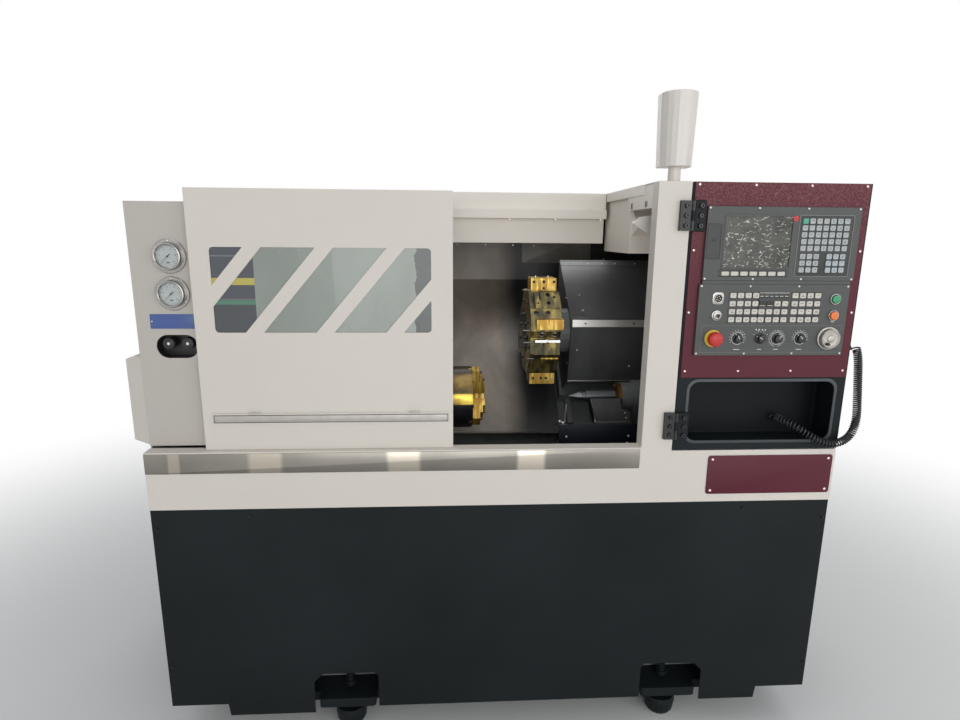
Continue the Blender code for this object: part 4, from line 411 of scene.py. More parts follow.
def brushed_steel(name, tint=(0.27, 0.255, 0.225)):
    """Stainless sheet brushed along its length, with broad light bands painted into its colour as
    reflections.
    """
    f = Finish(name, tint, rough=0.3, metal=1.0, Anisotropic=0.5)
    grain = f.noise(900.0, 2.0, stretch=(0.02, 1.0, 1.0))
    cloud = f.noise(2.6, 3.0, stretch=(1.0, 0.05, 1.4))
    tone = f.steps(cloud, (0.35, shade(tint, 0.75)), (0.65, shade(tint, 1.15)))
    waver = f.maths("MULTIPLY_ADD", f.noise(7.0, 2.0), 0.012, -0.006 - MACHINE.x)
    along = f.maths("ADD", f.axis("X"), waver)
    # Each patch paints a reflection as a lighter tint.
    for low, high, gain in PAINTED_REFLECTIONS:
        middle, half = (low + high) / 2, (high - low) / 2
        away = f.maths("ABSOLUTE", f.maths("SUBTRACT", along, middle))
        patch = f.steps(f.maths("DIVIDE", away, half * 2), (0.42, 1.0), (0.56, 0.0))
        tone = f.mix(patch, tone, shade(REFLECTION_TINT, gain))
    f.paint(f.mix(f.maths("MULTIPLY", grain, 0.25), tone, shade(tint, 0.6)))
    f.gloss(grain, 0.24, 0.38)
    f.bump(grain, 0.00003)
    return f


def metal(name, tint, rough=0.28, grain=600.0, stretch=None, wear=0.15):
    f = Finish(name, tint, rough=rough, metal=1.0)
    f.paint(f.mix(f.noise(22.0, 3.0), shade(tint, 1.0 - wear), shade(tint, 1.0 + wear)))
    f.gloss(f.noise(45.0, 3.0), rough * 0.75, rough * 1.35)
    f.bump(f.noise(grain, 2.0, stretch=stretch), 0.00004)
    return f


def plastic(name, tint, rough=0.4, grain=1400.0, vary=0.06, coat=0.0):
    f = Finish(name, tint, rough=rough, Coat_Weight=coat)
    f.paint(f.mix(f.noise(12.0, 3.0), shade(tint, 1.0 - vary), shade(tint, 1.0 + vary)))
    f.gloss(f.noise(60.0, 3.0), rough * 0.85, rough * 1.15)
    f.bump(f.noise(grain, 2.0), 0.00003)
    return f


def cast_paint(name, tint=(0.17, 0.18, 0.18)):
    f = Finish(name, tint, rough=0.5)
    f.paint(f.steps(f.noise(8.0, 5.0), (0.3, shade(tint, 0.7)), (0.7, shade(tint, 1.2))))
    f.gloss(f.noise(20.0, 3.0), 0.4, 0.62)
    f.bump(f.noise(160.0, 3.0), 0.0004)
    return f


def window_film(name):
    """Polycarbonate pane: pale film with a torn edge; the bare pane beside it painted dark as shade
    of the interior, the left pane a painted view of the interior.
    """
    frost = tuple(colours().frost)
    f = Finish(name, frost, rough=0.3, Coat_Weight=0.5)
    x, z = f.axis("X", -MACHINE.x), f.axis("Z")
    waver = f.maths("MULTIPLY_ADD", f.noise(16.0, 3.0), 0.05, -0.025)
    streak = f.noise(6.0, 4.0, stretch=(1.0, 1.0, 0.5), warp=0.5)
    film = f.steps(streak, (0.32, shade(frost, 0.86)), (0.6, frost), (0.78, shade(frost, 1.18)))
    # Painted shade: the bare pane beside the film is painted dark for the shaded interior seen
    # through it.
    dark = f.steps(f.noise(9.0, 4.0), (0.3, screen(44, 50, 50)), (0.7, screen(74, 82, 80)))
    slate, line = screen(70, 74, 82), screen(120, 124, 124)
    # A painted view of the interior through the left pane, in bands by height.
    bands = f.steps(
        f.maths("MULTIPLY_ADD", z, 4.0, -5.0),
        (0.0, screen(66, 70, 74)), (0.449, screen(78, 126, 104)), (0.496, slate), (0.502, line),
        (0.51, slate),
        (0.658, screen(190, 176, 82)), (0.731, slate), (0.96, line), (0.97, slate), smooth=False,
    )
    right = f.maths("GREATER_THAN", f.maths("ADD", x, waver), -0.235)
    left = f.maths("LESS_THAN", x, -0.6688)
    f.paint(f.mix(left, f.mix(right, film, dark), bands))
    f.gloss(f.noise(9.0, 3.0), 0.16, 0.34)
    f.bump(f.noise(20.0, 3.0, warp=0.6), 0.0004)
    return f


def crinkled_screen(name):
    """Display under loose film: olive dark with white glints painted along its creases as
    highlights.
    """
    f = Finish(name, screen(62, 64, 58), rough=0.28, Specular_IOR_Level=0.3, Coat_Weight=0.15)
    f.place = f.stretched((1.0, 1.0, 1.7), (0.0, 0.5, 0.0))
    crease = f.steps(f.cells(50.0, "DISTANCE_TO_EDGE"), (0.0, 1.0), (0.07, 0.0))
    broken = f.steps(f.noise(60.0, 4.0, warp=1.5), (0.52, 0.0), (0.6, 1.0))
    # Painted highlights: light glints along the creases, in the colour.
    painted_crease_glint = f.maths("MULTIPLY", crease, broken)
    tone = f.steps(
        f.noise(18.0, 4.0, warp=0.8), (0.3, screen(48, 50, 46)), (0.7, screen(86, 86, 76))
    )
    f.paint(f.mix(painted_crease_glint, tone, screen(238, 238, 232)))
    f.gloss(f.noise(30.0, 3.0), 0.14, 0.34)
    f.bump(f.noise(40.0, 4.0, warp=1.5), 0.0008)
    return f


def glass(name):
    f = Finish(name, (0.95, 0.97, 0.97), rough=0.04, Transmission_Weight=1.0, IOR=1.45)
    f.gloss(f.noise(30.0, 3.0), 0.02, 0.07)
    return f


FINISHES = {
    "white_paint": white_paint,
    # Two copies of the white paint: the headstock case's darkened as painted shade, the hoods'
    # lightened as painted light.
    "case_paint": lambda n: white_paint(n, 0.75),
    "hood_paint": lambda n: white_paint(n, 1.24),
    "black_paint": black_paint,
    "frame_paint": lambda n: black_paint(n, specks=False),
    "maroon_paint": maroon_paint,
    "back_film": back_film,
    "cover_film": lambda n: liner_film(n, screen(88, 89, 90)),
    "seam_film": lambda n: liner_film(n, screen(150, 148, 144)),
    # Near-black blue, as painted shade where the chute lies under the slide cover.
    "chute_film": lambda n: liner_film(n, screen(24, 29, 38)),
    "gold_film": gold_film,
    "olive_film": olive_film,
    "gold_chuck": gold_chuck,
    "brushed_steel": brushed_steel,
    "window_film": window_film,
    "clear_glass": glass,
    "crinkled_screen": crinkled_screen,
    "cast_paint": cast_paint,
    "turned_steel": lambda n: metal(n, (0.5, 0.49, 0.47), 0.26, 900.0, (0.1, 1.0, 1.0)),
    "ground_steel": lambda n: metal(n, (0.56, 0.55, 0.53), 0.2, 500.0, (0.05, 1.0, 1.0)),
    "dark_steel": lambda n: metal(n, (0.1, 0.1, 0.105), 0.38),
    "pin_steel": lambda n: metal(n, (0.2, 0.19, 0.17), 0.45),
    "quill_steel": lambda n: metal(n, (0.15, 0.16, 0.17), 0.38, 600.0, (0.05, 1.0, 1.0)),
    "panel_light": lambda n: plastic(n, screen(112, 116, 114), 0.45),
    "key_pale": lambda n: plastic(n, screen(176, 180, 180), 0.5, 1800.0, 0.04),
    "brass_film": lambda n: metal(n, screen(132, 104, 62), 0.36, 700.0, (1.0, 0.05, 0.05), 0.5),
    "satin_chrome": lambda n: metal(n, (0.34, 0.325, 0.3), 0.36, 300.0, None, 0.22),
    "chrome": lambda n: metal(n, (0.36, 0.35, 0.335), 0.22, 500.0, None, 0.3),
    "aluminium": lambda n: metal(n, (0.72, 0.72, 0.7), 0.34, 700.0, (0.05, 1.0, 1.0), 0.1),
    "zinc": lambda n: metal(n, (0.66, 0.65, 0.62), 0.3, 900.0, None, 0.1),
    "pink_zinc": lambda n: metal(n, (0.86, 0.72, 0.7), 0.24, 900.0, None, 0.08),
    "panel_grey": lambda n: plastic(n, tuple(colours().panel), 0.5, 1600.0, 0.05),
    "panel_dark": lambda n: plastic(n, screen(46, 48, 47), 0.45),
    "key_cap": lambda n: plastic(n, tuple(colours().key), 0.55, 1800.0, 0.04),
    "key_blue": lambda n: plastic(n, screen(178, 186, 190), 0.55, 1800.0, 0.04),
    "key_green": lambda n: plastic(n, screen(92, 168, 150), 0.5, 1800.0, 0.04),
    "ink_white": lambda n: plastic(n, screen(226, 226, 220), 0.5),
    "ink_black": lambda n: plastic(n, screen(24, 24, 26), 0.5),
    "black_plastic": lambda n: plastic(n, screen(24, 24, 25), 0.36, 1100.0, 0.1),
    "hinge_black": lambda n: plastic(n, screen(26, 27, 27), 0.42, 500.0, 0.18),
    "rim_grey": lambda n: plastic(n, screen(58, 64, 68), 0.44),
    # Black painted darker than the door's paint, as painted shade deep in the pocket.
    "pocket_dark": lambda n: black_paint(n, specks=False, base=screen(6, 11, 17)),
    "rail_satin": lambda n: metal(n, (0.42, 0.4, 0.375), 0.55, 700.0, (0.05, 1.0, 1.0), 0.1),
    "black_screw": lambda n: metal(n, (0.055, 0.055, 0.06), 0.36, 900.0, None, 0.2),
    "rubber": lambda n: plastic(n, screen(34, 35, 38), 0.36, 900.0, 0.15),
    "red_plastic": lambda n: plastic(n, screen(196, 40, 38), 0.42, 1100.0, 0.05, 0.1),
    "green_plastic": lambda n: plastic(n, screen(24, 150, 96), 0.28, 1100.0, 0.05, 0.3),
    "orange_plastic": lambda n: plastic(n, screen(240, 118, 34), 0.28, 1100.0, 0.05, 0.3),
    "yellow_plastic": lambda n: plastic(n, screen(232, 196, 40), 0.4),
    "blue_plate": lambda n: plastic(n, tuple(colours().blue), 0.36, 900.0, 0.06, 0.2),
    "dial_face": lambda n: plastic(n, screen(196, 200, 200), 0.35, 900.0, 0.04),
    "lamp_plastic": lambda n: plastic(n, screen(226, 220, 213), 0.34, 1200.0, 0.03, 0.1),
    "motor_paint": lambda n: cast_paint(n, (0.05, 0.07, 0.1)),
}


def finish(name):
    made = bpy.data.materials.get("lathe_" + name)
    return made or FINISHES[name](name).material


def facing(origin, u, v):
    """Local u, v and their cross product as axes of a frame at origin."""
    u, v = Vector(u).normalized(), Vector(v).normalized()
    frame_ = Matrix.Identity(4)
    for column, axis in enumerate((u, v, u.cross(v))):
        for row in range(3):
            frame_[row][column] = axis[row]
    frame_.translation = Vector(origin)
    return frame_


def front(x, y, z):
    """A frame on a front face: u to the right, v up, w towards the viewer."""
    return facing((x, y, z), (1, 0, 0), (0, 0, 1))


def along_x(x, y, z):
    """A frame whose w axis points to +X: u along Y, v along Z."""
    return facing((x, y, z), (0, 1, 0), (0, 0, 1))


def rounded(width, height, corner=0.0, steps=4):
    """A rounded rectangle about the origin, anticlockwise."""
    if corner <= 0:
        return [
            (-width / 2, -height / 2), (width / 2, -height / 2), (width / 2, height / 2),
            (-width / 2, height / 2)
        ]
    outline = []
    for quarter, (sx, sy) in enumerate(((1, -1), (1, 1), (-1, 1), (-1, -1))):
        centre = (sx * (width / 2 - corner), sy * (height / 2 - corner))
        for step in range(steps + 1):
            angle = math.radians(-90 + 90 * quarter + 90 * step / steps)
            outline.append(
                (centre[0] + corner * math.cos(angle), centre[1] + corner * math.sin(angle))
            )
    return outline


def disc(radius, sides=32, centre=(0.0, 0.0)):
    return [
        (
            centre[0] + radius * math.cos(math.tau * i / sides),
            centre[1] + radius * math.sin(math.tau * i / sides)
        )
        for i in range(sides)
    ]


def slab(outline, low, high, place, edge=0.0, steps=2):
    """A plate from low to high along w, its upper rim rounded by edge."""
    bm = bmesh.new()
    rings = [low, high - edge] if edge else [low, high]
    levels = [[bm.verts.new((u, v, w)) for u, v in outline] for w in rings]
    count = len(outline)
    bm.faces.new(list(reversed(levels[0])))
    top = bm.faces.new(levels[1])
    for i in range(count):
        j = (i + 1) % count
        bm.faces.new((levels[0][i], levels[0][j], levels[1][j], levels[1][i]))
    if edge:
        lift = bmesh.ops.extrude_face_region(bm, geom=[top])
        bm.faces.remove(top)
        raised = [v for v in lift["geom"] if isinstance(v, bmesh.types.BMVert)]
        for v in raised:
            v.co.z = high
        face = [g for g in lift["geom"] if isinstance(g, bmesh.types.BMFace)][0]
        bmesh.ops.bevel(
            bm, geom=list(face.edges), offset=edge * 0.999, segments=steps,
            profile=0.5, affect="EDGES", clamp_overlap=True,
        )
        bmesh.ops.remove_doubles(bm, verts=bm.verts, dist=1e-7)
    bm.transform(place)
    return bm


def lathe(profile, place, sides=32):
    """Turns (radius, w) points about the w axis; an end at radius 0 closes there."""
    bm = bmesh.new()
    rings = []
    for radius, w in profile:
        if radius < 1e-7:
            rings.append([bm.verts.new((0.0, 0.0, w))])
        else:
            rings.append([bm.verts.new((u, v, w)) for u, v in disc(radius, sides)])
    for low, high in zip(rings, rings[1:]):
        for i in range(sides):
            j = (i + 1) % sides
            corners = [
                low[i % len(low)], low[j % len(low)], high[j % len(high)], high[i % len(high)]
            ]
            unique = list(dict.fromkeys(corners))
            if len(unique) > 2:
                bm.faces.new(unique)
    for ring, turn in ((rings[0], True), (rings[-1], False)):
        if len(ring) > 1:
            bm.faces.new(list(reversed(ring)) if turn else ring)
    bm.transform(place)
    return bm


def ring(inner, outer, low, high, place, sides=40, edge=0.0):
    """A flat ring, closed all round, with its outer upper edge eased."""
    bm = bmesh.new()
    profile = [
        (inner, low), (outer, low), (outer, high - edge), (outer - edge, high),
        (inner + edge, high), (inner, high - edge)
    ]
    loops = [[bm.verts.new((u, v, w)) for u, v in disc(r, sides)] for r, w in profile]
    for k in range(len(loops)):
        a, b = loops[k], loops[(k + 1) % len(loops)]
        for i in range(sides):
            j = (i + 1) % sides
            bm.faces.new((a[i], a[j], b[j], b[i]))
    bmesh.ops.remove_doubles(bm, verts=bm.verts, dist=1e-7)
    bm.transform(place)
    return bm


def tube(path, radius, sides):
    """A round tube along a path, its section carried without twist."""
    bm = bmesh.new()
    points = [Vector(p) for p in path]
    last = len(points) - 1
    side = None
    loops = []
    for i, point in enumerate(points):
        ahead = points[min(i + 1, last)] - points[max(i - 1, 0)]
        ahead.normalize()
        if side is None:
            side = ahead.orthogonal().normalized()
        side = (side - ahead * side.dot(ahead)).normalized()
        other = ahead.cross(side)
        loops.append([bm.verts.new(point + side * u + other * v) for u, v in disc(radius, sides)])
    for a, b in zip(loops, loops[1:]):
        for k in range(sides):
            j = (k + 1) % sides
            bm.faces.new((a[k], a[j], b[j], b[k]))
    bm.faces.new(list(reversed(loops[0])))
    bm.faces.new(loops[-1])
    return bm


def block(low, high, edge=0.0, steps=2):
    """A box between two corners with all its edges eased."""
    bm = bmesh.new()
    bmesh.ops.create_cube(bm, size=1.0)
    for v in bm.verts:
        v.co = Vector((low[k] + (v.co[k] + 0.5) * (high[k] - low[k]) for k in range(3)))
    if edge:
        bmesh.ops.bevel(
            bm, geom=list(bm.edges), offset=edge, segments=steps, profile=0.5, affect="EDGES"
        )
    return bm


def merged(*shapes):
    whole = shapes[0]
    for shape in shapes[1:]:
        mesh = bpy.data.meshes.new("join")
        shape.to_mesh(mesh)
        whole.from_mesh(mesh)
        bpy.data.meshes.remove(mesh)
        shape.free()
    return whole


def piece(name, body, *layers, smooth=32.0):
    """One object from (shape, finish) layers, set in the row frame and riding on a body."""
    whole = bmesh.new()
    mesh = bpy.data.meshes.new(name)
    slots = []
    for shape, surface in layers:
        if surface not in slots:
            slots.append(surface)
            mesh.materials.append(finish(surface))
        for face in shape.faces:
            face.material_index = slots.index(surface)
            face.smooth = True
        part = bpy.data.meshes.new("layer")
        shape.to_mesh(part)
        whole.from_mesh(part)
        bpy.data.meshes.remove(part)
        shape.free()
    bmesh.ops.recalc_face_normals(whole, faces=whole.faces)
    whole.transform(Matrix.Translation(MACHINE))
    whole.to_mesh(mesh)
    whole.free()
    mesh.validate()
    mesh.set_sharp_from_angle(angle=math.radians(smooth))
    obj = bpy.data.objects.new(name, mesh)
    bpy.context.scene.collection.objects.link(obj)
    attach(obj, body)
    return obj


def tree_with(name, inputs):
    """A node tree with a geometry input, the named inputs and a geometry output."""
    tree = bpy.data.node_groups.new(name, "GeometryNodeTree")
    tree.interface.new_socket("Geometry", in_out="INPUT", socket_type="NodeSocketGeometry")
    for label, kind, value in inputs:
        socket = tree.interface.new_socket(label, in_out="INPUT", socket_type=kind)
        if value is not None:
            socket.default_value = value
    tree.interface.new_socket("Geometry", in_out="OUTPUT", socket_type="NodeSocketGeometry")
    return tree, tree.nodes.new("NodeGroupInput"), tree.nodes.new("NodeGroupOutput")


def closing(tree, source, entry, out):
    """Realize Instances, then Set Material, then the output."""
    real = tree.nodes.new("GeometryNodeRealizeInstances")
    paint = tree.nodes.new("GeometryNodeSetMaterial")
    tree.links.new(source, real.inputs["Geometry"])
    tree.links.new(real.outputs["Geometry"], paint.inputs["Geometry"])
    tree.links.new(entry.outputs["Finish"], paint.inputs["Material"])
    tree.links.new(paint.outputs["Geometry"], out.inputs["Geometry"])


def scatter_tree():
    """Sets Item on every point, turned and sized by the points' own attributes."""
    made = bpy.data.node_groups.get("Set on points")
    if made:
        return made
    tree, entry, out = tree_with("Set on points", (
        ("Item", "NodeSocketObject", None), ("Size", "NodeSocketFloat", 1.0),
        ("Loose Turn", "NodeSocketFloat", 0.0), ("Seed", "NodeSocketInt", 7),
        ("Finish", "NodeSocketMaterial", None),
    ))
    new, link = tree.nodes.new, tree.links.new
    info = new("GeometryNodeObjectInfo")
    spread = new("GeometryNodeInstanceOnPoints")
    turn, stretch = new("GeometryNodeInputNamedAttribute"), new("GeometryNodeInputNamedAttribute")
    for node, label in ((turn, "turn"), (stretch, "stretch")):
        node.data_type = "FLOAT_VECTOR"
        node.inputs["Name"].default_value = label
    grow = new("ShaderNodeVectorMath")
    grow.operation = "SCALE"
    chance = new("FunctionNodeRandomValue")
    spin, about = new("GeometryNodeRotateInstances"), new("ShaderNodeCombineXYZ")
    link(entry.outputs["Item"], info.inputs["Object"])
    link(entry.outputs["Geometry"], spread.inputs["Points"])
    link(info.outputs["Geometry"], spread.inputs["Instance"])
    link(turn.outputs["Attribute"], spread.inputs["Rotation"])
    link(stretch.outputs["Attribute"], grow.inputs[0])
    link(entry.outputs["Size"], grow.inputs["Scale"])
    link(grow.outputs["Vector"], spread.inputs["Scale"])
    link(entry.outputs["Loose Turn"], chance.inputs[3])
    link(entry.outputs["Seed"], chance.inputs["Seed"])
    link(chance.outputs[1], about.inputs["Z"])
    link(spread.outputs["Instances"], spin.inputs["Instances"])
    link(about.outputs["Vector"], spin.inputs["Rotation"])
    closing(tree, spin.outputs["Instances"], entry, out)
    return tree


def marks_tree():
    """Bars spread round a circle, as on a dial: from Start through Sweep."""
    made = bpy.data.node_groups.get("Dial marks")
    if made:
        return made
    tree, entry, out = tree_with("Dial marks", (
        ("Count", "NodeSocketInt", 12), ("Radius", "NodeSocketFloat", 0.02),
        ("Length", "NodeSocketFloat", 0.003), ("Width", "NodeSocketFloat", 0.0006),
        ("Height", "NodeSocketFloat", 0.0002), ("Start", "NodeSocketFloat", 0.0),
        ("Sweep", "NodeSocketFloat", math.tau), ("Finish", "NodeSocketMaterial", None),
    ))
    new, link = tree.nodes.new, tree.links.new

    def maths(operation, first, second):
        node = new("ShaderNodeMath")
        node.operation = operation
        for value, socket in zip((first, second), node.inputs):
            if isinstance(value, bpy.types.NodeSocket):
                link(value, socket)
            else:
                socket.default_value = value
        return node.outputs[0]

    line = new("GeometryNodeMeshLine")
    link(entry.outputs["Count"], line.inputs["Count"])
    index = new("GeometryNodeInputIndex").outputs[0]
    share = maths(
        "DIVIDE", index, maths("MAXIMUM", maths("SUBTRACT", entry.outputs["Count"], 1), 1)
    )
    angle = maths("ADD", entry.outputs["Start"], maths("MULTIPLY", share, entry.outputs["Sweep"]))
    spot = new("ShaderNodeCombineXYZ")
    link(maths("MULTIPLY", maths("COSINE", angle, 0.0), entry.outputs["Radius"]), spot.inputs["X"])
    link(maths("MULTIPLY", maths("SINE", angle, 0.0), entry.outputs["Radius"]), spot.inputs["Y"])
    moved, cube, bar = new("GeometryNodeSetPosition"), new("GeometryNodeMeshCube"), new(
        "ShaderNodeCombineXYZ"
    )
    link(line.outputs["Mesh"], moved.inputs["Geometry"])
    link(spot.outputs["Vector"], moved.inputs["Position"])
    for label, axis in (("Length", "X"), ("Width", "Y"), ("Height", "Z")):
        link(entry.outputs[label], bar.inputs[axis])
    link(bar.outputs["Vector"], cube.inputs["Size"])
    spread, facing_out = new("GeometryNodeInstanceOnPoints"), new("ShaderNodeCombineXYZ")
    link(angle, facing_out.inputs["Z"])
    link(moved.outputs["Geometry"], spread.inputs["Points"])
    link(cube.outputs["Mesh"], spread.inputs["Instance"])
    link(facing_out.outputs["Vector"], spread.inputs["Rotation"])
    closing(tree, spread.outputs["Instances"], entry, out)
    return tree


def grown(tree, values, base=None, place=None):
    """The tree's result as a shape; its inputs are set by their identifiers."""
    carrier = bpy.data.objects.new("carrier", base or bpy.data.meshes.new("carrier"))
    bpy.context.scene.collection.objects.link(carrier)
    modifier = carrier.modifiers.new("Repeat", "NODES")
    modifier.node_group = tree
    for item in tree.interface.items_tree:
        if item.in_out == "INPUT" and item.name in values:
            modifier[item.identifier] = values[item.name]
    graph = bpy.context.evaluated_depsgraph_get()
    mesh = bpy.data.meshes.new_from_object(carrier.evaluated_get(graph))
    carrier.modifiers.remove(modifier)
    bpy.data.objects.remove(carrier)
    bm = bmesh.new()
    bm.from_mesh(mesh)
    bpy.data.meshes.remove(mesh)
    if place:
        bm.transform(place)
    return bm


def repeated(shape, spots, surface, size=1.0, loose=0.0, seed=7):
    """Copies of a shape, made about the origin facing w, on (frame, stretch) spots."""
    mesh = bpy.data.meshes.new("item")
    shape.to_mesh(mesh)
    shape.free()
    item = bpy.data.objects.new("item", mesh)
    bpy.context.scene.collection.objects.link(item)
    points = bpy.data.meshes.new("spots")
    points.from_pydata([spot.translation[:] for spot, _ in spots], [], [])
    turn = points.attributes.new("turn", "FLOAT_VECTOR", "POINT")
    stretch = points.attributes.new("stretch", "FLOAT_VECTOR", "POINT")
    for i, (spot, scale) in enumerate(spots):
        turn.data[i].vector = spot.to_euler()[:]
        stretch.data[i].vector = scale
    values = {
        "Item": item, "Size": size, "Loose Turn": loose, "Seed": seed, "Finish": finish(surface)
    }
    bm = grown(scatter_tree(), values, points)
    bpy.data.objects.remove(item)
    return bm


def marks(place, count, radius, length, width, start, sweep, surface, height=0.0003):
    values = {
        "Count": count, "Radius": radius, "Length": length, "Width": width, "Height": height,
        "Start": math.radians(start), "Sweep": math.radians(sweep), "Finish": finish(surface),
    }
    return grown(marks_tree(), values, place=place)


EVEN = (1.0, 1.0, 1.0)
ORIGIN = Matrix.Identity(4)
OUTWARD = Matrix.Rotation(math.pi, 4, "X")


def screw_head():
    """A button head one unit in radius, with a round socket, in few faces."""
    profile = [(0, 0.16), (0.42, 0.16), (0.42 + 0.05, 0.62), (0.74, 0.5), (0.95, 0.26), (1.0, 0.0)]
    return lathe(profile, ORIGIN, 12)


def washer_head():
    """A cap screw on a thin washer, one unit in radius."""
    profile = [
        (0, 0.45), (0.3, 0.45), (0.32, 0.95), (0.58, 0.95), (0.64, 0.85),
        (0.64, 0.18), (0.97, 0.18), (1.0, 0.0),
    ]
    return lathe(profile, ORIGIN, 16)


def screws(spots, surface, radius, head=None):
    """Screw heads of one radius on frames, each turned a little differently."""
    spots = [(spot, EVEN) for spot in spots]
    return repeated(head or screw_head(), spots, surface, size=radius, loose=math.tau, seed=5)


def key_shape(corner=0.16, edge=0.12):
    """A key cap one unit wide, deep and high."""
    return slab(rounded(1.0, 1.0, corner, 2), 0.0, 1.0, ORIGIN, edge, 1)


def around(place, radius, degrees, w=0.0):
    """A frame moved out along its u and v axes at an angle, and w up, but not turned."""
    angle = math.radians(degrees)
    return place @ Matrix.Translation((radius * math.cos(angle), radius * math.sin(angle), w))


def carved(shape, *cutters):
    """The shape less the cutters, by exact Boolean."""
    names = []
    for part in (shape, *cutters):
        bmesh.ops.recalc_face_normals(part, faces=part.faces)
        mesh = bpy.data.meshes.new("carve")
        part.to_mesh(mesh)
        part.free()
        obj = bpy.data.objects.new("carve", mesh)
        bpy.context.scene.collection.objects.link(obj)
        names.append(obj)
    for cutter in names[1:]:
        modifier = names[0].modifiers.new("Cut", "BOOLEAN")
        modifier.operation, modifier.solver, modifier.object = "DIFFERENCE", "EXACT", cutter
    graph = bpy.context.evaluated_depsgraph_get()
    mesh = bpy.data.meshes.new_from_object(names[0].evaluated_get(graph))
    for obj in names:
        bpy.data.objects.remove(obj)
    bm = bmesh.new()
    bm.from_mesh(mesh)
    bpy.data.meshes.remove(mesh)
    return bm


def turned_copy(shape, centre, axis, degrees):
    """A copy of a shape turned about an axis through a point."""
    copy = shape.copy()
    centre = Vector(centre)
    spin = Matrix.Rotation(math.radians(degrees), 4, axis)
    copy.transform(Matrix.Translation(centre) @ spin @ Matrix.Translation(-centre))
    return copy


def eased(name, width):
    """Welds a solid's loose triangles and rounds its sharp edges, for soft highlights."""
    obj = frame["nodes"][name]
    weld = obj.modifiers.new("Weld", "WELD")
    weld.merge_threshold = 0.00002
    bevel = obj.modifiers.new("Soft edges", "BEVEL")
    bevel.width, bevel.segments, bevel.limit_method = width, 2, "ANGLE"
    bevel.angle_limit = math.radians(32.0)
    bevel.use_clamp_overlap = True


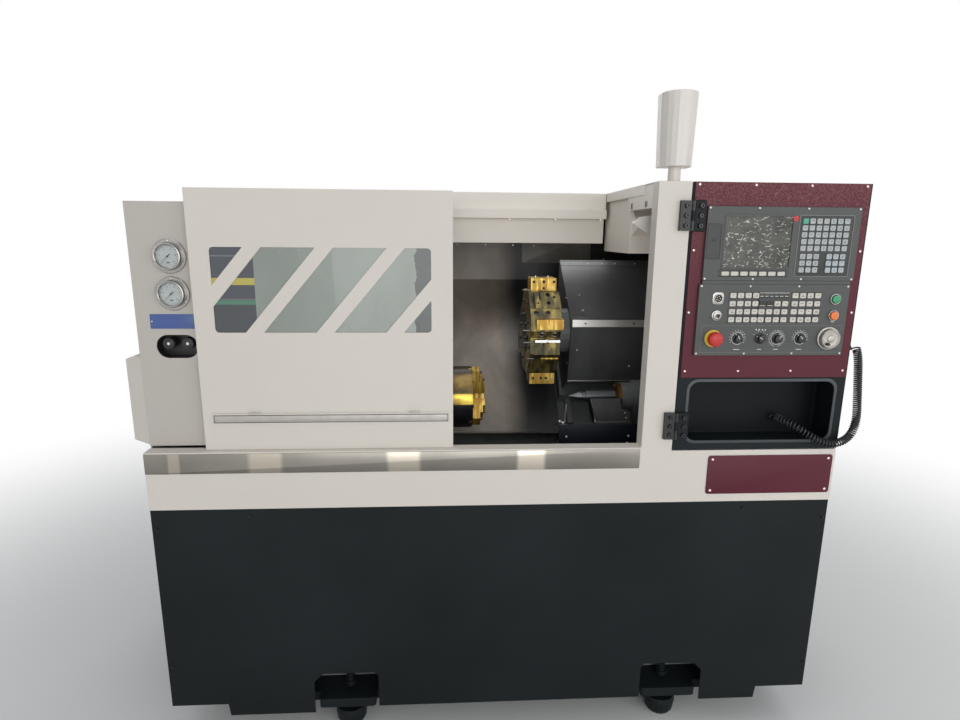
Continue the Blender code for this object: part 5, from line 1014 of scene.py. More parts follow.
class LATHE_OT_stage(bpy.types.Operator):
    """Set the pale floor, the studio lamps and the camera at the photograph's place"""

    bl_idname = "lathe.stage"
    bl_label = "Stage, lamps and camera"

    FLOOR_SIZE = 40.0
    FOCAL, SENSOR, SHIFT = 23.6505, 36.0, 0.01927
    CAMERA = (-0.1315, -2.3781, 1.5513)
    YAW, PITCH, ROLL = 0.0599, 0.2238, 0.0085

    def camera(self, scene):
        data = bpy.data.cameras.new("view")
        data.lens, data.sensor_width, data.shift_y = self.FOCAL, self.SENSOR, self.SHIFT
        data.clip_end = 60.0
        data.dof.use_dof = False
        obj = bpy.data.objects.new("view", data)
        scene.collection.objects.link(obj)
        ahead = Vector((
            math.sin(self.YAW) * math.cos(self.PITCH),
            math.cos(self.YAW) * math.cos(self.PITCH),
            -math.sin(self.PITCH),
        ))
        right = Vector((math.cos(self.YAW), -math.sin(self.YAW), 0.0))
        down = ahead.cross(right)
        across = math.cos(self.ROLL) * right - math.sin(self.ROLL) * down
        low = math.sin(self.ROLL) * right + math.cos(self.ROLL) * down
        basis = Matrix((across, -low, -ahead)).transposed().to_4x4()
        obj.matrix_world = Matrix.Translation(self.CAMERA) @ basis
        scene.camera = obj

    def lamp(self, scene, name, place, aim, size, power, spread=180.0):
        data = bpy.data.lights.new(name, "AREA")
        data.shape, data.size, data.size_y, data.energy = "RECTANGLE", size[0], size[1], power
        data.spread = math.radians(spread)
        obj = bpy.data.objects.new(name, data)
        scene.collection.objects.link(obj)
        obj.location = place
        obj.rotation_euler = (Vector(aim) - Vector(place)).to_track_quat("-Z", "Y").to_euler()

    def world(self, scene):
        world = bpy.data.worlds.new("studio")
        world.use_nodes = True
        tree = world.node_tree
        back = tree.nodes["Background"]
        shown = tree.nodes.new("ShaderNodeBackground")
        blend = tree.nodes.new("ShaderNodeMixShader")
        back.inputs["Color"].default_value = (0.93, 0.96, 1.0, 1.0)
        back.inputs["Strength"].default_value = 0.4
        shown.inputs["Color"].default_value = (1.0, 1.0, 1.0, 1.0)
        tree.links.new(seen_ray(tree), blend.inputs["Fac"])
        tree.links.new(back.outputs[0], blend.inputs[1])
        tree.links.new(shown.outputs[0], blend.inputs[2])
        tree.links.new(blend.outputs[0], tree.nodes["World Output"].inputs["Surface"])
        scene.world = world

    def floor(self):
        material = bpy.data.materials.new("pale_floor")
        material.use_nodes = True
        tree = material.node_tree
        shader = tree.nodes["Principled BSDF"]
        shader.inputs["Base Color"].default_value = (0.86, 0.86, 0.85, 1.0)
        shader.inputs["Roughness"].default_value = 0.8
        glow, blend = tree.nodes.new("ShaderNodeEmission"), tree.nodes.new("ShaderNodeMixShader")
        place, length = tree.nodes.new("ShaderNodeTexCoord"), tree.nodes.new("ShaderNodeVectorMath")
        length.operation = "LENGTH"
        fade, both = tree.nodes.new("ShaderNodeMapRange"), tree.nodes.new("ShaderNodeMath")
        both.operation = "MULTIPLY"
        fade.interpolation_type = "SMOOTHSTEP"
        for label, value in (("From Min", 1.6), ("From Max", 4.0)):
            fade.inputs[label].default_value = value
        link = tree.links.new
        link(place.outputs["Object"], length.inputs[0])
        link(length.outputs["Value"], fade.inputs["Value"])
        link(fade.outputs["Result"], both.inputs[0])
        link(seen_ray(tree), both.inputs[1])
        link(both.outputs[0], blend.inputs["Fac"])
        link(shader.outputs[0], blend.inputs[1])
        link(glow.outputs[0], blend.inputs[2])
        link(blend.outputs[0], tree.nodes["Material Output"].inputs["Surface"])
        half = self.FLOOR_SIZE / 2
        mesh = bpy.data.meshes.new("floor")
        mesh.from_pydata(
            [(-half, -half, 0), (half, -half, 0), (half, half, 0), (-half, half, 0)], [],
            [(0, 1, 2, 3)]
        )
        mesh.materials.append(material)
        obj = bpy.data.objects.new("floor", mesh)
        bpy.context.scene.collection.objects.link(obj)

    def execute(self, context):
        scene = context.scene
        scene.view_settings.view_transform = "Standard"
        self.camera(scene)
        self.world(scene)
        self.floor()
        aim = (0.0, 0.0, 0.9)
        self.lamp(scene, "front_light", (1.0, -6.2, 1.8), aim, (5.0, 3.0), 108.0)
        self.lamp(scene, "window_light", (-4.4, -3.6, 2.4), aim, (3.0, 3.0), 10.0)
        self.lamp(scene, "hall_light", (4.4, -4.0, 2.2), aim, (3.0, 3.0), 40.0)
        self.lamp(scene, "roof_light", (0.3, -0.6, 4.6), (0.0, -0.2, 0.9), (3.5, 2.0), 16.0)
        self.lamp(
            scene, "inside_light", (0.2, 0.1, 1.56), (0.25, -0.1, 1.0), (0.7, 0.1), 0.5, 110.0
        )
        self.lamp(scene, "back_light", (0.5, 5.5, 3.0), aim, (4.0, 3.0), 90.0)
        return {"FINISHED"}


def seen_ray(tree):
    """One for a ray from the camera, or one seen in gloss or through glass."""
    path = tree.nodes.new("ShaderNodeLightPath")
    total = path.outputs["Is Camera Ray"]
    for label in ("Is Glossy Ray", "Is Transmission Ray"):
        node = tree.nodes.new("ShaderNodeMath")
        node.operation = "MAXIMUM"
        tree.links.new(total, node.inputs[0])
        tree.links.new(path.outputs[label], node.inputs[1])
        total = node.outputs[0]
    return total


def spline_through(points, per=24):
    """Catmull-Rom points through a route."""
    p = [Vector(q) for q in points]
    p = [p[0] * 2 - p[1]] + p + [p[-1] * 2 - p[-2]]
    found = []
    for a, b, c, d in zip(p, p[1:], p[2:], p[3:]):
        for k in range(per):
            t = k / per
            found.append(
                0.5 * (
                    2 * b + (c - a) * t + (2 * a - 5 * b + 4 * c - d) * t**2 + (
                        3 * b - 3 * c + d - a
                    ) * t**3
                )
            )
    return found + [p[-2]]


def length_of(points):
    return sum((b - a).length for a, b in zip(points, points[1:]))


class LATHE_OT_cord(bpy.types.Operator):
    """Wind the coiled lead of the control unit along its route"""

    bl_idname = "lathe.cord"
    bl_label = "Coiled lead"

    TURN_POINTS = 16
    LEAD = 0.042  # wire that runs from straight to wound at the first end
    TAIL = 0.68  # the other end's share of that
    HANGING = 1.75  # how much wider the turns lie where the coil hangs
    OPENS, WITHIN = 0.52, 0.15  # share of the run where they start to widen, and over how much

    def wound(self, route, total, size):
        """Points of the wire: it leaves along the route and winds up to the pitch."""
        step = math.hypot(size.pitch, math.tau * size.coil) / self.TURN_POINTS
        along, angle, walked, index, used = 0.0, -math.pi / 2, 0.0, 0, 0.0
        side, path = Vector((0.0, 1.0, 0.0)), []
        tail = self.LEAD * self.TAIL
        while along < total:
            while index < len(route) - 2 and used + (
                route[index + 1] - route[index]
            ).length < along:
                used += (route[index + 1] - route[index]).length
                index += 1
            a, b = route[index], route[index + 1]
            ahead = (b - a).normalized()
            side = (side - ahead * side.dot(ahead)).normalized()
            other = ahead.cross(side)
            spot = a + ahead * (along - used)
            path.append(
                spot + side * (size.coil * math.cos(angle)) + other * (size.coil * math.sin(angle))
            )
            share = along / total
            opened = max(0.0, min(1.0, (share - self.OPENS) / self.WITHIN))
            loose = 1.0 + (self.HANGING - 1.0) * opened
            steepest = math.atan2(math.tau * size.coil, size.pitch * loose)
            ramp = min(1.0, walked / self.LEAD, (total - along) / tail)
            lean = steepest * math.sin(ramp * math.pi / 2)
            along += step * math.cos(lean)
            angle += step * math.sin(lean) / size.coil
            walked += step
        return path

    def gland(self, name, end, inward):
        inward = inward.normalized()
        place = facing(
            end - MACHINE - inward * 0.013, inward.orthogonal(), inward.cross(inward.orthogonal())
        )
        profile = [
            (0, 0.0), (0.0029, 0.0), (0.004, 0.003), (0.0052, 0.007), (0.006, 0.0075),
            (0.006, 0.0098), (0.0078, 0.0102), (0.0078, 0.0129), (0, 0.0129),
        ]
        return piece(name, "control_door", (lathe(profile, place, 20), "black_plastic"))

    def execute(self, context):
        size = sizes()
        route = spline_through([Vector(q) + MACHINE for q in CORD_ROUTE])
        total = length_of(route)
        path = self.wound(route, total, size)
        data = bpy.data.curves.new("curly_lead", "CURVE")
        data.dimensions, data.bevel_depth, data.bevel_resolution = "3D", size.wire / 2, 2
        data.use_fill_caps = True
        line = data.splines.new("POLY")
        line.points.add(len(path) - 1)
        for point, spot in zip(line.points, path):
            point.co = (*spot, 1.0)
        data.materials.append(finish("rubber"))
        obj = bpy.data.objects.new("curly_lead", data)
        context.scene.collection.objects.link(obj)
        glands = [
            self.gland("lead_gland_side", path[0], route[0] - route[3]),
            self.gland("lead_gland_pocket", path[-1], route[-1] - route[-4]),
        ]
        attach(obj, "control_door")
        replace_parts(obj, "curly_cord")
        return {"FINISHED"}


class LATHE_OT_solids(bpy.types.Operator):
    """Give every carried-over solid its finish and soft edges"""

    bl_idname = "lathe.solids"
    bl_label = "Finishes of the solids"

    GROUPS = {
        "white_paint": "front_frame sliding_door end_guard electrics_cabinet",
        # The hoods' white is lightened as painted light, the headstock case's darkened as painted
        # shade.
        "hood_paint": "side_hood rear_hood",
        "case_paint": "headstock_case",
        "black_paint": "kick_panel base_skirt control_door",
        "frame_paint": "base_frame",
        "maroon_paint": "control_plate",
        "back_film": "back_liner way_cover_sliding",
        "cover_film": "slide_cover",
        "chute_film": "chip_chute",
        "window_film": "door_window",
        "lamp_plastic": "signal_lamp",
        "panel_grey": "cnc_unit operator_unit",
        "cast_paint": "bed_casting headstock_casting saddle cross_slide tailstock_body",
        "motor_paint": "spindle_motor z_motor",
        "quill_steel": "tailstock_quill",
        "ground_steel": "spindle z_screw x_screw",
        "turned_steel": "spindle_pulley motor_pulley chuck_jaw_1 chuck_jaw_2 chuck_jaw_3",
        "rubber": "drive_belt curly_cord",
        "gold_film": "turret_disc",
        "gold_chuck": "chuck_body",
        "hinge_black": "hinge_upper hinge_lower",
        "black_plastic": (
            "selector_knob_1 selector_knob_2 selector_knob_3 selector_knob_4 pressure_knob_left "
            "pressure_knob_right valve_block gauge_needle_upper gauge_needle_lower"
        ),
        "chrome": "gauge_upper gauge_lower pulse_handwheel key_switch",
        "key_cap": "operator_keys cnc_keys",
        "red_plastic": "emergency_stop",
        "green_plastic": "start_button",
        "orange_plastic": "hold_button",
    }
    # Width of each solid's eased edges, in metres
    EDGES = {
        0.0016: (
            "front_frame side_hood rear_hood headstock_case electrics_cabinet end_guard signal_lamp"
        ),
        0.001: (
            "sliding_door control_door control_plate kick_panel hinge_upper hinge_lower valve_block"
        ),
        0.0014: "cnc_unit operator_unit",
        0.003: (
            "bed_casting headstock_casting saddle cross_slide tailstock_body base_frame "
            "spindle_motor"
        ),
    }

    def execute(self, context):
        left = set(frame["nodes"])
        for surface, names in self.GROUPS.items():
            for name in names.split():
                frame["nodes"][name].material_slots[0].material = finish(surface)
                left.discard(name)
        if left:
            raise RuntimeError(f"no finish for {sorted(left)}")
        for width, names in self.EDGES.items():
            for name in names.split():
                eased(name, width)
        return {"FINISHED"}


class LATHE_OT_front(bpy.types.Operator):
    """Fit the sill strip, the bare nameplate and the caps and screws of the front"""

    bl_idname = "lathe.front"
    bl_label = "Front trim"

    def execute(self, context):
        strip = slab(
            rounded(1.4075, 0.0585, 0.001), 0.0003, 0.0021, front(-0.29575, 0.0, 0.9175), 0.0006
        )
        piece("sill_strip", "enclosure", (strip, "brushed_steel"))
        x, z = 0.8025, 0.864
        plate = slab(rounded(0.379, 0.12, 0.008), 0.0003, 0.0023, front(x, 0.0, z), 0.0006)
        corners = [
            front(x + sx * 0.176, -0.0023, z + sz * 0.0485) for sx in (-1, 1) for sz in (-1, 1)
        ]
        heads = screws(corners, "pink_zinc", 0.0046)
        piece("bare_nameplate", "enclosure", (plate, "maroon_paint"), (heads, "pink_zinc"))
        spots = [
            (-0.7236, 0.7569), (0.7351, 0.7555), (-0.986, 0.2681), (0.9905, 0.2155),
            (0.988, 0.7185), (-0.986, 0.7185)
        ]
        caps = screws(
            [front(x, KICK_FACE, z) for x, z in spots], "black_plastic", 0.0055, washer_head()
        )
        piece("kick_panel_screws", "enclosure", (caps, "black_plastic"))
        return {"FINISHED"}


class LATHE_OT_door(bpy.types.Operator):
    """Fit the sliding door's pull strip and its screws"""

    bl_idname = "lathe.door"
    bl_label = "Sliding door trim"

    def execute(self, context):
        seat = front((-0.8076 - 0.1456) / 2, DOOR_FACE, 1.044)
        strip = slab(rounded(0.648, 0.0185, 0.001), 0.0001, 0.001, seat, 0.0002)
        border = carved(
            slab(rounded(0.652, 0.0225, 0.0015), 0.0001, 0.0012, seat, 0.0003),
            slab(rounded(0.649, 0.0195, 0.0012), -0.01, 0.01, seat),
        )
        tabs = [
            slab(rounded(0.034, 0.004, 0.0015), 0.0001, 0.0012, front(x, DOOR_FACE, 1.06), 0.0003)
            for x in (-0.69, -0.245)
        ]
        screw = screws([front(-0.485, DOOR_FACE, 1.059)], "zinc", 0.002)
        piece(
            "pull_rail_strip", "sliding_door", (strip, "rail_satin"), (border, "panel_grey"),
            (merged(*tabs), "rail_satin"), (screw, "zinc"),
        )
        return {"FINISHED"}


class LATHE_OT_control_plate(bpy.types.Operator):
    """Fit the control plate's screws and the hinges' screws"""

    bl_idname = "lathe.control_plate"
    bl_label = "Control plate and hinges"

    HINGE_HEIGHT = 0.0787
    POCKET = (0.75425, 1.059, 0.4275, 0.174)

    def execute(self, context):
        spots = [(x, z) for z in (1.6872, 1.179) for x in (0.52, 0.6745, 0.829, 0.9835)]
        spots += [(x, z) for z in (1.5156, 1.346) for x in (0.5175, 0.9865)]
        heads = screws([front(x, PLATE_FACE, z) for x, z in spots], "pink_zinc", sizes().screw)
        piece("control_plate_screws", "control_door", (heads, "pink_zinc"))
        for name, bottom in (("upper", 1.5668), ("lower", 0.979)):
            for body, x in (("enclosure", 0.487), ("control_door", 0.526)):
                places = [
                    front(x, HINGE_FACE, bottom + self.HINGE_HEIGHT * share)
                    for share in (0.17, 0.5, 0.83)
                ]
                heads = screws(places, "black_screw", 0.0098, washer_head())
                piece(f"hinge_{name}_{body}_screws", body, (heads, "black_screw"))
        x, z, width, height = self.POCKET
        mouth, bottom = front(x, 0.0, z), front(x, 0.0975, z)
        rim = carved(
            slab(rounded(width + 0.018, height + 0.018, 0.032, 8), 0.0, 0.0014, mouth, 0.0006),
            slab(rounded(width + 0.002, height + 0.002, 0.027, 8), -0.01, 0.01, mouth),
        )
        # The pocket's lining is painted near black, as painted shade deep in the pocket.
        lining = slab(rounded(width - 0.002, height - 0.002, 0.025, 8), -0.0012, 0.0006, bottom)
        piece("pocket_trim", "control_door", (rim, "rim_grey"), (lining, "pocket_dark"))
        return {"FINISHED"}


class LATHE_OT_gauges(bpy.types.Operator):
    """Build the two pressure gauges, their needles, the blue plate and the valve knobs"""

    bl_idname = "lathe.gauges"
    bl_label = "Gauges and valves"

    X, HEIGHTS = -0.8944, (("upper", 1.489), ("lower", 1.3895))
    DIAL = 0.0098  # height of the dial over the case
    START, SWEEP = 225, -270  # the dial's scale, in degrees

    def gauge(self, name, z):
        seat = front(self.X, CASE_FACE, z)
        flange = ring(0.0335, 0.0458, -0.0001, 0.0042, seat, 48, 0.0012)
        holes = [
            front(self.X + 0.0405 * math.cos(a), CASE_FACE - 0.0042, z + 0.0405 * math.sin(a))
            for a in map(math.radians, (90, 210, 330))
        ]
        profile = [
            (0.0305, 0.003), (0.0365, 0.003), (0.0372, 0.011), (0.0366, 0.016), (0.035, 0.0192),
            (0.0328, 0.0198), (0.0312, 0.0188), (0.0305, 0.016), (0.0305, 0.003)
        ]
        bezel = lathe(profile, seat, 56)
        body = lathe(
            [(0, -0.036), (0.029, -0.036), (0.03, -0.034), (0.03, 0.004), (0, 0.004)], seat, 40
        )
        dial = slab(disc(0.0306, 56), 0.004, self.DIAL, seat)
        depth = CASE_FACE - self.DIAL
        face = front(self.X, depth, z)
        printed = [
            marks(face, count, radius, length, width, self.START, self.SWEEP, "ink_black")
            for count, radius, length, width in (
                (11, 0.0262, 0.0042, 0.0007), (51, 0.0274, 0.002, 0.0004),
                (91, 0.0286, 0.0003, 0.001),
            )
        ]
        printed.append(
            slab(rounded(0.009, 0.0028, 0.0004), 0.0, 0.0002, front(self.X, depth, z - 0.0165))
        )
        for step in range(6):
            a = math.radians(self.START + self.SWEEP / 5 * step)
            place = front(self.X + 0.0205 * math.cos(a), depth, z + 0.0205 * math.sin(a))
            printed.append(lettering(str(step * 2), 0.0062, place))
        obj = piece(
            f"pressure_gauge_{name}", "enclosure", (merged(flange, bezel), "chrome"),
            (body, "black_plastic"),
            (dial, "dial_face"), (merged(*printed), "ink_black"),
            (screws(holes, "zinc", 0.0032), "zinc"),
        )
        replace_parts(obj, f"gauge_{name}")
        lens = lathe(
            [(0, 0.0168), (0.0306, 0.0168), (0.0306, 0.0176), (0.022, 0.0184), (0, 0.0188)], seat,
            48
        )
        piece(f"gauge_glass_{name}", "enclosure", (lens, "clear_glass"))
        needle_frame = front(self.X, 0.034, z)
        a = math.radians(222)
        length, tail, half = 0.0235, 0.009, 0.0008
        ahead, side = Vector((math.cos(a), math.sin(a))), Vector((-math.sin(a), math.cos(a)))
        waist, end = -ahead * tail * 0.4, -ahead * tail
        corners = [
            ahead * length, waist - side * half, end - side * half * 1.8, end + side * half * 1.8,
            waist + side * half,
        ]
        pointer = slab([tuple(c) for c in reversed(corners)], 0.0, 0.0006, needle_frame)
        hub = lathe(
            [(0, -0.0006), (0.0026, -0.0006), (0.0026, 0.001), (0.0018, 0.0016), (0, 0.0016)],
            needle_frame, 20
        )
        body_name = [b for b in frame["bodies"] if "needle" in b and name in b][0]
        obj = piece(
            f"gauge_pointer_{name}", body_name, (pointer, "ink_black"), (hub, "black_plastic")
        )
        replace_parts(obj, f"gauge_needle_{name}")

    def execute(self, context):
        for name, z in self.HEIGHTS:
            self.gauge(name, z)
        plate = slab(
            rounded(0.127, 0.04, 0.002), 0.0002, 0.0012, front(-0.8985, CASE_FACE, 1.3137), 0.0003
        )
        rivets = screws(
            [front(-0.8985 + s * 0.0585, CASE_FACE - 0.0012, 1.3137) for s in (-1, 1)], "zinc",
            0.0022
        )
        piece("blue_plate", "enclosure", (plate, "blue_plate"), (rivets, "zinc"))
        for side, x in (("left", -0.9218), ("right", -0.8705)):
            name = f"pressure_knob_{side}"
            seat = front(x, 0.0775, 1.251)
            grip = fluted(0.0145, 0.0165, 20, 0.004, 0.0245, seat)
            cap = lathe(
                [(0, 0.024), (0.0115, 0.024), (0.0122, 0.0252), (0.0105, 0.0258), (0, 0.0252)],
                seat, 28
            )
            boss = lathe([(0, 0.0), (0.01, 0.0), (0.01, 0.0045), (0, 0.0045)], seat, 24)
            dot = lathe([(0, 0.025), (0.0042, 0.025), (0.0038, 0.0261), (0, 0.0263)], seat, 20)
            grip = merged(grip, cap, boss)
            obj = piece(f"pressure_grip_{side}", name, (grip, "black_plastic"), (dot, "zinc"))
            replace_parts(obj, name)
        return {"FINISHED"}


def fluted(inner, outer, count, low, high, place):
    """A knob's skirt with rounded flutes."""
    outline = []
    for i in range(count * 6):
        a = math.tau * i / (count * 6)
        r = inner + (outer - inner) * (0.5 + 0.5 * math.cos(a * count)) ** 0.6
        outline.append((r * math.cos(a), r * math.sin(a)))
    return slab(outline, low, high, place)


def lettering(text, height, place, thick=0.0002):
    """Generic dial lettering as a thin shape, centred on a frame."""
    curve = bpy.data.curves.new("mark", "FONT")
    curve.body, curve.size, curve.extrude = text, height, thick / 2
    curve.align_x, curve.align_y = "CENTER", "CENTER"
    obj = bpy.data.objects.new("mark", curve)
    bpy.context.scene.collection.objects.link(obj)
    graph = bpy.context.evaluated_depsgraph_get()
    mesh = bpy.data.meshes.new_from_object(obj.evaluated_get(graph))
    bpy.data.objects.remove(obj)
    bm = bmesh.new()
    bm.from_mesh(mesh)
    bpy.data.meshes.remove(mesh)
    bm.transform(place @ Matrix.Translation((0.0, 0.0, thick / 2)))
    return bm


class LATHE_OT_cnc_unit(bpy.types.Operator):
    """Build the upper control unit: screen, soft keys, card door and keypad"""

    bl_idname = "lathe.cnc_unit"
    bl_label = "Screen and keypad"

    SCREEN = (0.6905, 1.538, 0.185, 0.138)
    KEYPAD = (0.8767, 1.529, 0.149, 0.16)

    def execute(self, context):
        key = sizes().key
        x, z, width, height = self.SCREEN
        place = front(x, UNIT_FACE + 0.002, z)
        film = slab(rounded(width - 0.0008, height - 0.0008, 0.0015), 0.0001, 0.0008, place, 0.0002)
        bezel = carved(
            slab(
                rounded(width + 0.01, height + 0.01, 0.005), 0.0, 0.0011, front(x, UNIT_FACE, z),
                0.0005
            ),
            slab(
                rounded(width - 0.001, height - 0.001, 0.002), -0.01, 0.01, front(x, UNIT_FACE, z)
            ),
        )
        piece("screen_film", "control_door", (film, "crinkled_screen"), smooth=20.0)
        piece("screen_bezel", "control_door", (bezel, "panel_grey"))
        tray = slab(
            rounded(0.196, 0.0185, 0.003), 0.0, 0.0006, front(0.6845, UNIT_FACE, 1.454), 0.0003
        )
        soft = [
            (front(0.606 + i * 0.02622, UNIT_FACE - 0.0006, 1.454), (0.0205, 0.0108, 0.0026))
            for i in range(7)
        ]
        caps = repeated(key_shape(0.14, 0.1), soft, "key_cap")
        led = slab(
            rounded(0.014, 0.014, 0.0025), 0.0, 0.0012, front(0.789, UNIT_FACE, 1.6015), 0.0005
        )
        door_frame = carved(
            slab(
                rounded(0.039, 0.094, 0.003), 0.0, 0.0013, front(0.568, UNIT_FACE, 1.5395), 0.0005
            ),
            slab(rounded(0.0355, 0.0905, 0.002), 0.0004, 0.01, front(0.568, UNIT_FACE, 1.5395)),
        )
        latch = slab(
            rounded(0.012, 0.006, 0.0015), 0.0, 0.0022, front(0.568, UNIT_FACE, 1.544), 0.0006
        )
        trim = merged(tray, door_frame, latch)
        piece(
            "screen_frame_trim", "control_door", (trim, "panel_dark"), (caps, "key_cap"),
            (led, "red_plastic"),
        )
        x, z, width, height = self.KEYPAD
        recess = slab(rounded(width, height, 0.004), 0.0, 0.0005, front(x, UNIT_FACE, z), 0.0002)
        rim = carved(
            slab(
                rounded(width + 0.0055, height + 0.0055, 0.005), 0.0, 0.0011,
                front(x, UNIT_FACE, z), 0.0004
            ),
            slab(
                rounded(width + 0.0005, height + 0.0005, 0.004), -0.01, 0.01, front(x, UNIT_FACE, z)
            ),
        )
        cap = key_shape()
        square = (key, key * 0.95, 0.003)
        small = [(0.8165 + i * 0.0194, 1.595 - j * 0.01805) for j in range(5) for i in range(7)]
        low = [(0.8185 + i * 0.019, 1.5012 - j * 0.0182) for j in range(3) for i in range(3)]
        blue = [(0.8935 + i * 0.019, 1.5012 - j * 0.0182) for j in range(3) for i in range(3)]
        green, pale = small[:1], small[1:] + low

        def keys(spots, surface):
            places = [(front(u, UNIT_FACE - 0.0005, v), square) for u, v in spots]
            return repeated(cap.copy(), places, surface)

        legends = []
        rng = random.Random(11)
        for u, v in pale + blue:
            for line in range(rng.choice((1, 1, 2))):
                outline = rounded(rng.uniform(0.003, 0.0075), 0.0012, 0.0003, 1)
                x = u + rng.uniform(-0.001, 0.001)
                place = front(x, UNIT_FACE - 0.0035, v + 0.002 - line * 0.0038)
                legends.append(slab(outline, 0.0, INK, place))
        pad = piece(
            "keypad_keys", "control_door", (recess, "panel_dark"),
            (keys(pale, "key_pale"), "key_pale"),
            (keys(blue, "key_blue"), "key_blue"), (rim, "panel_light"),
            (keys(green, "key_green"), "key_green"), (merged(*legends), "ink_black"),
        )
        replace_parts(pad, "cnc_keys")
        cap.free()
        low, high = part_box("operator_unit")[1][2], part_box("cnc_unit")[0][2]
        middle = front(0.756, UNIT_FACE, (low + high) / 2)
        strip = slab(rounded(0.42, high - low - 0.0012, 0.0005), -0.003, -0.0004, middle)
        piece("unit_filler", "control_door", (strip, "panel_grey"))
        spots = [
            front(u, UNIT_FACE, v) for v in (1.6275, 1.4395)
            for u in (0.5505, 0.686, 0.8225, 0.9665)
        ]
        piece("screen_unit_screws", "control_door", (screws(spots, "zinc", 0.0034), "zinc"))
        return {"FINISHED"}


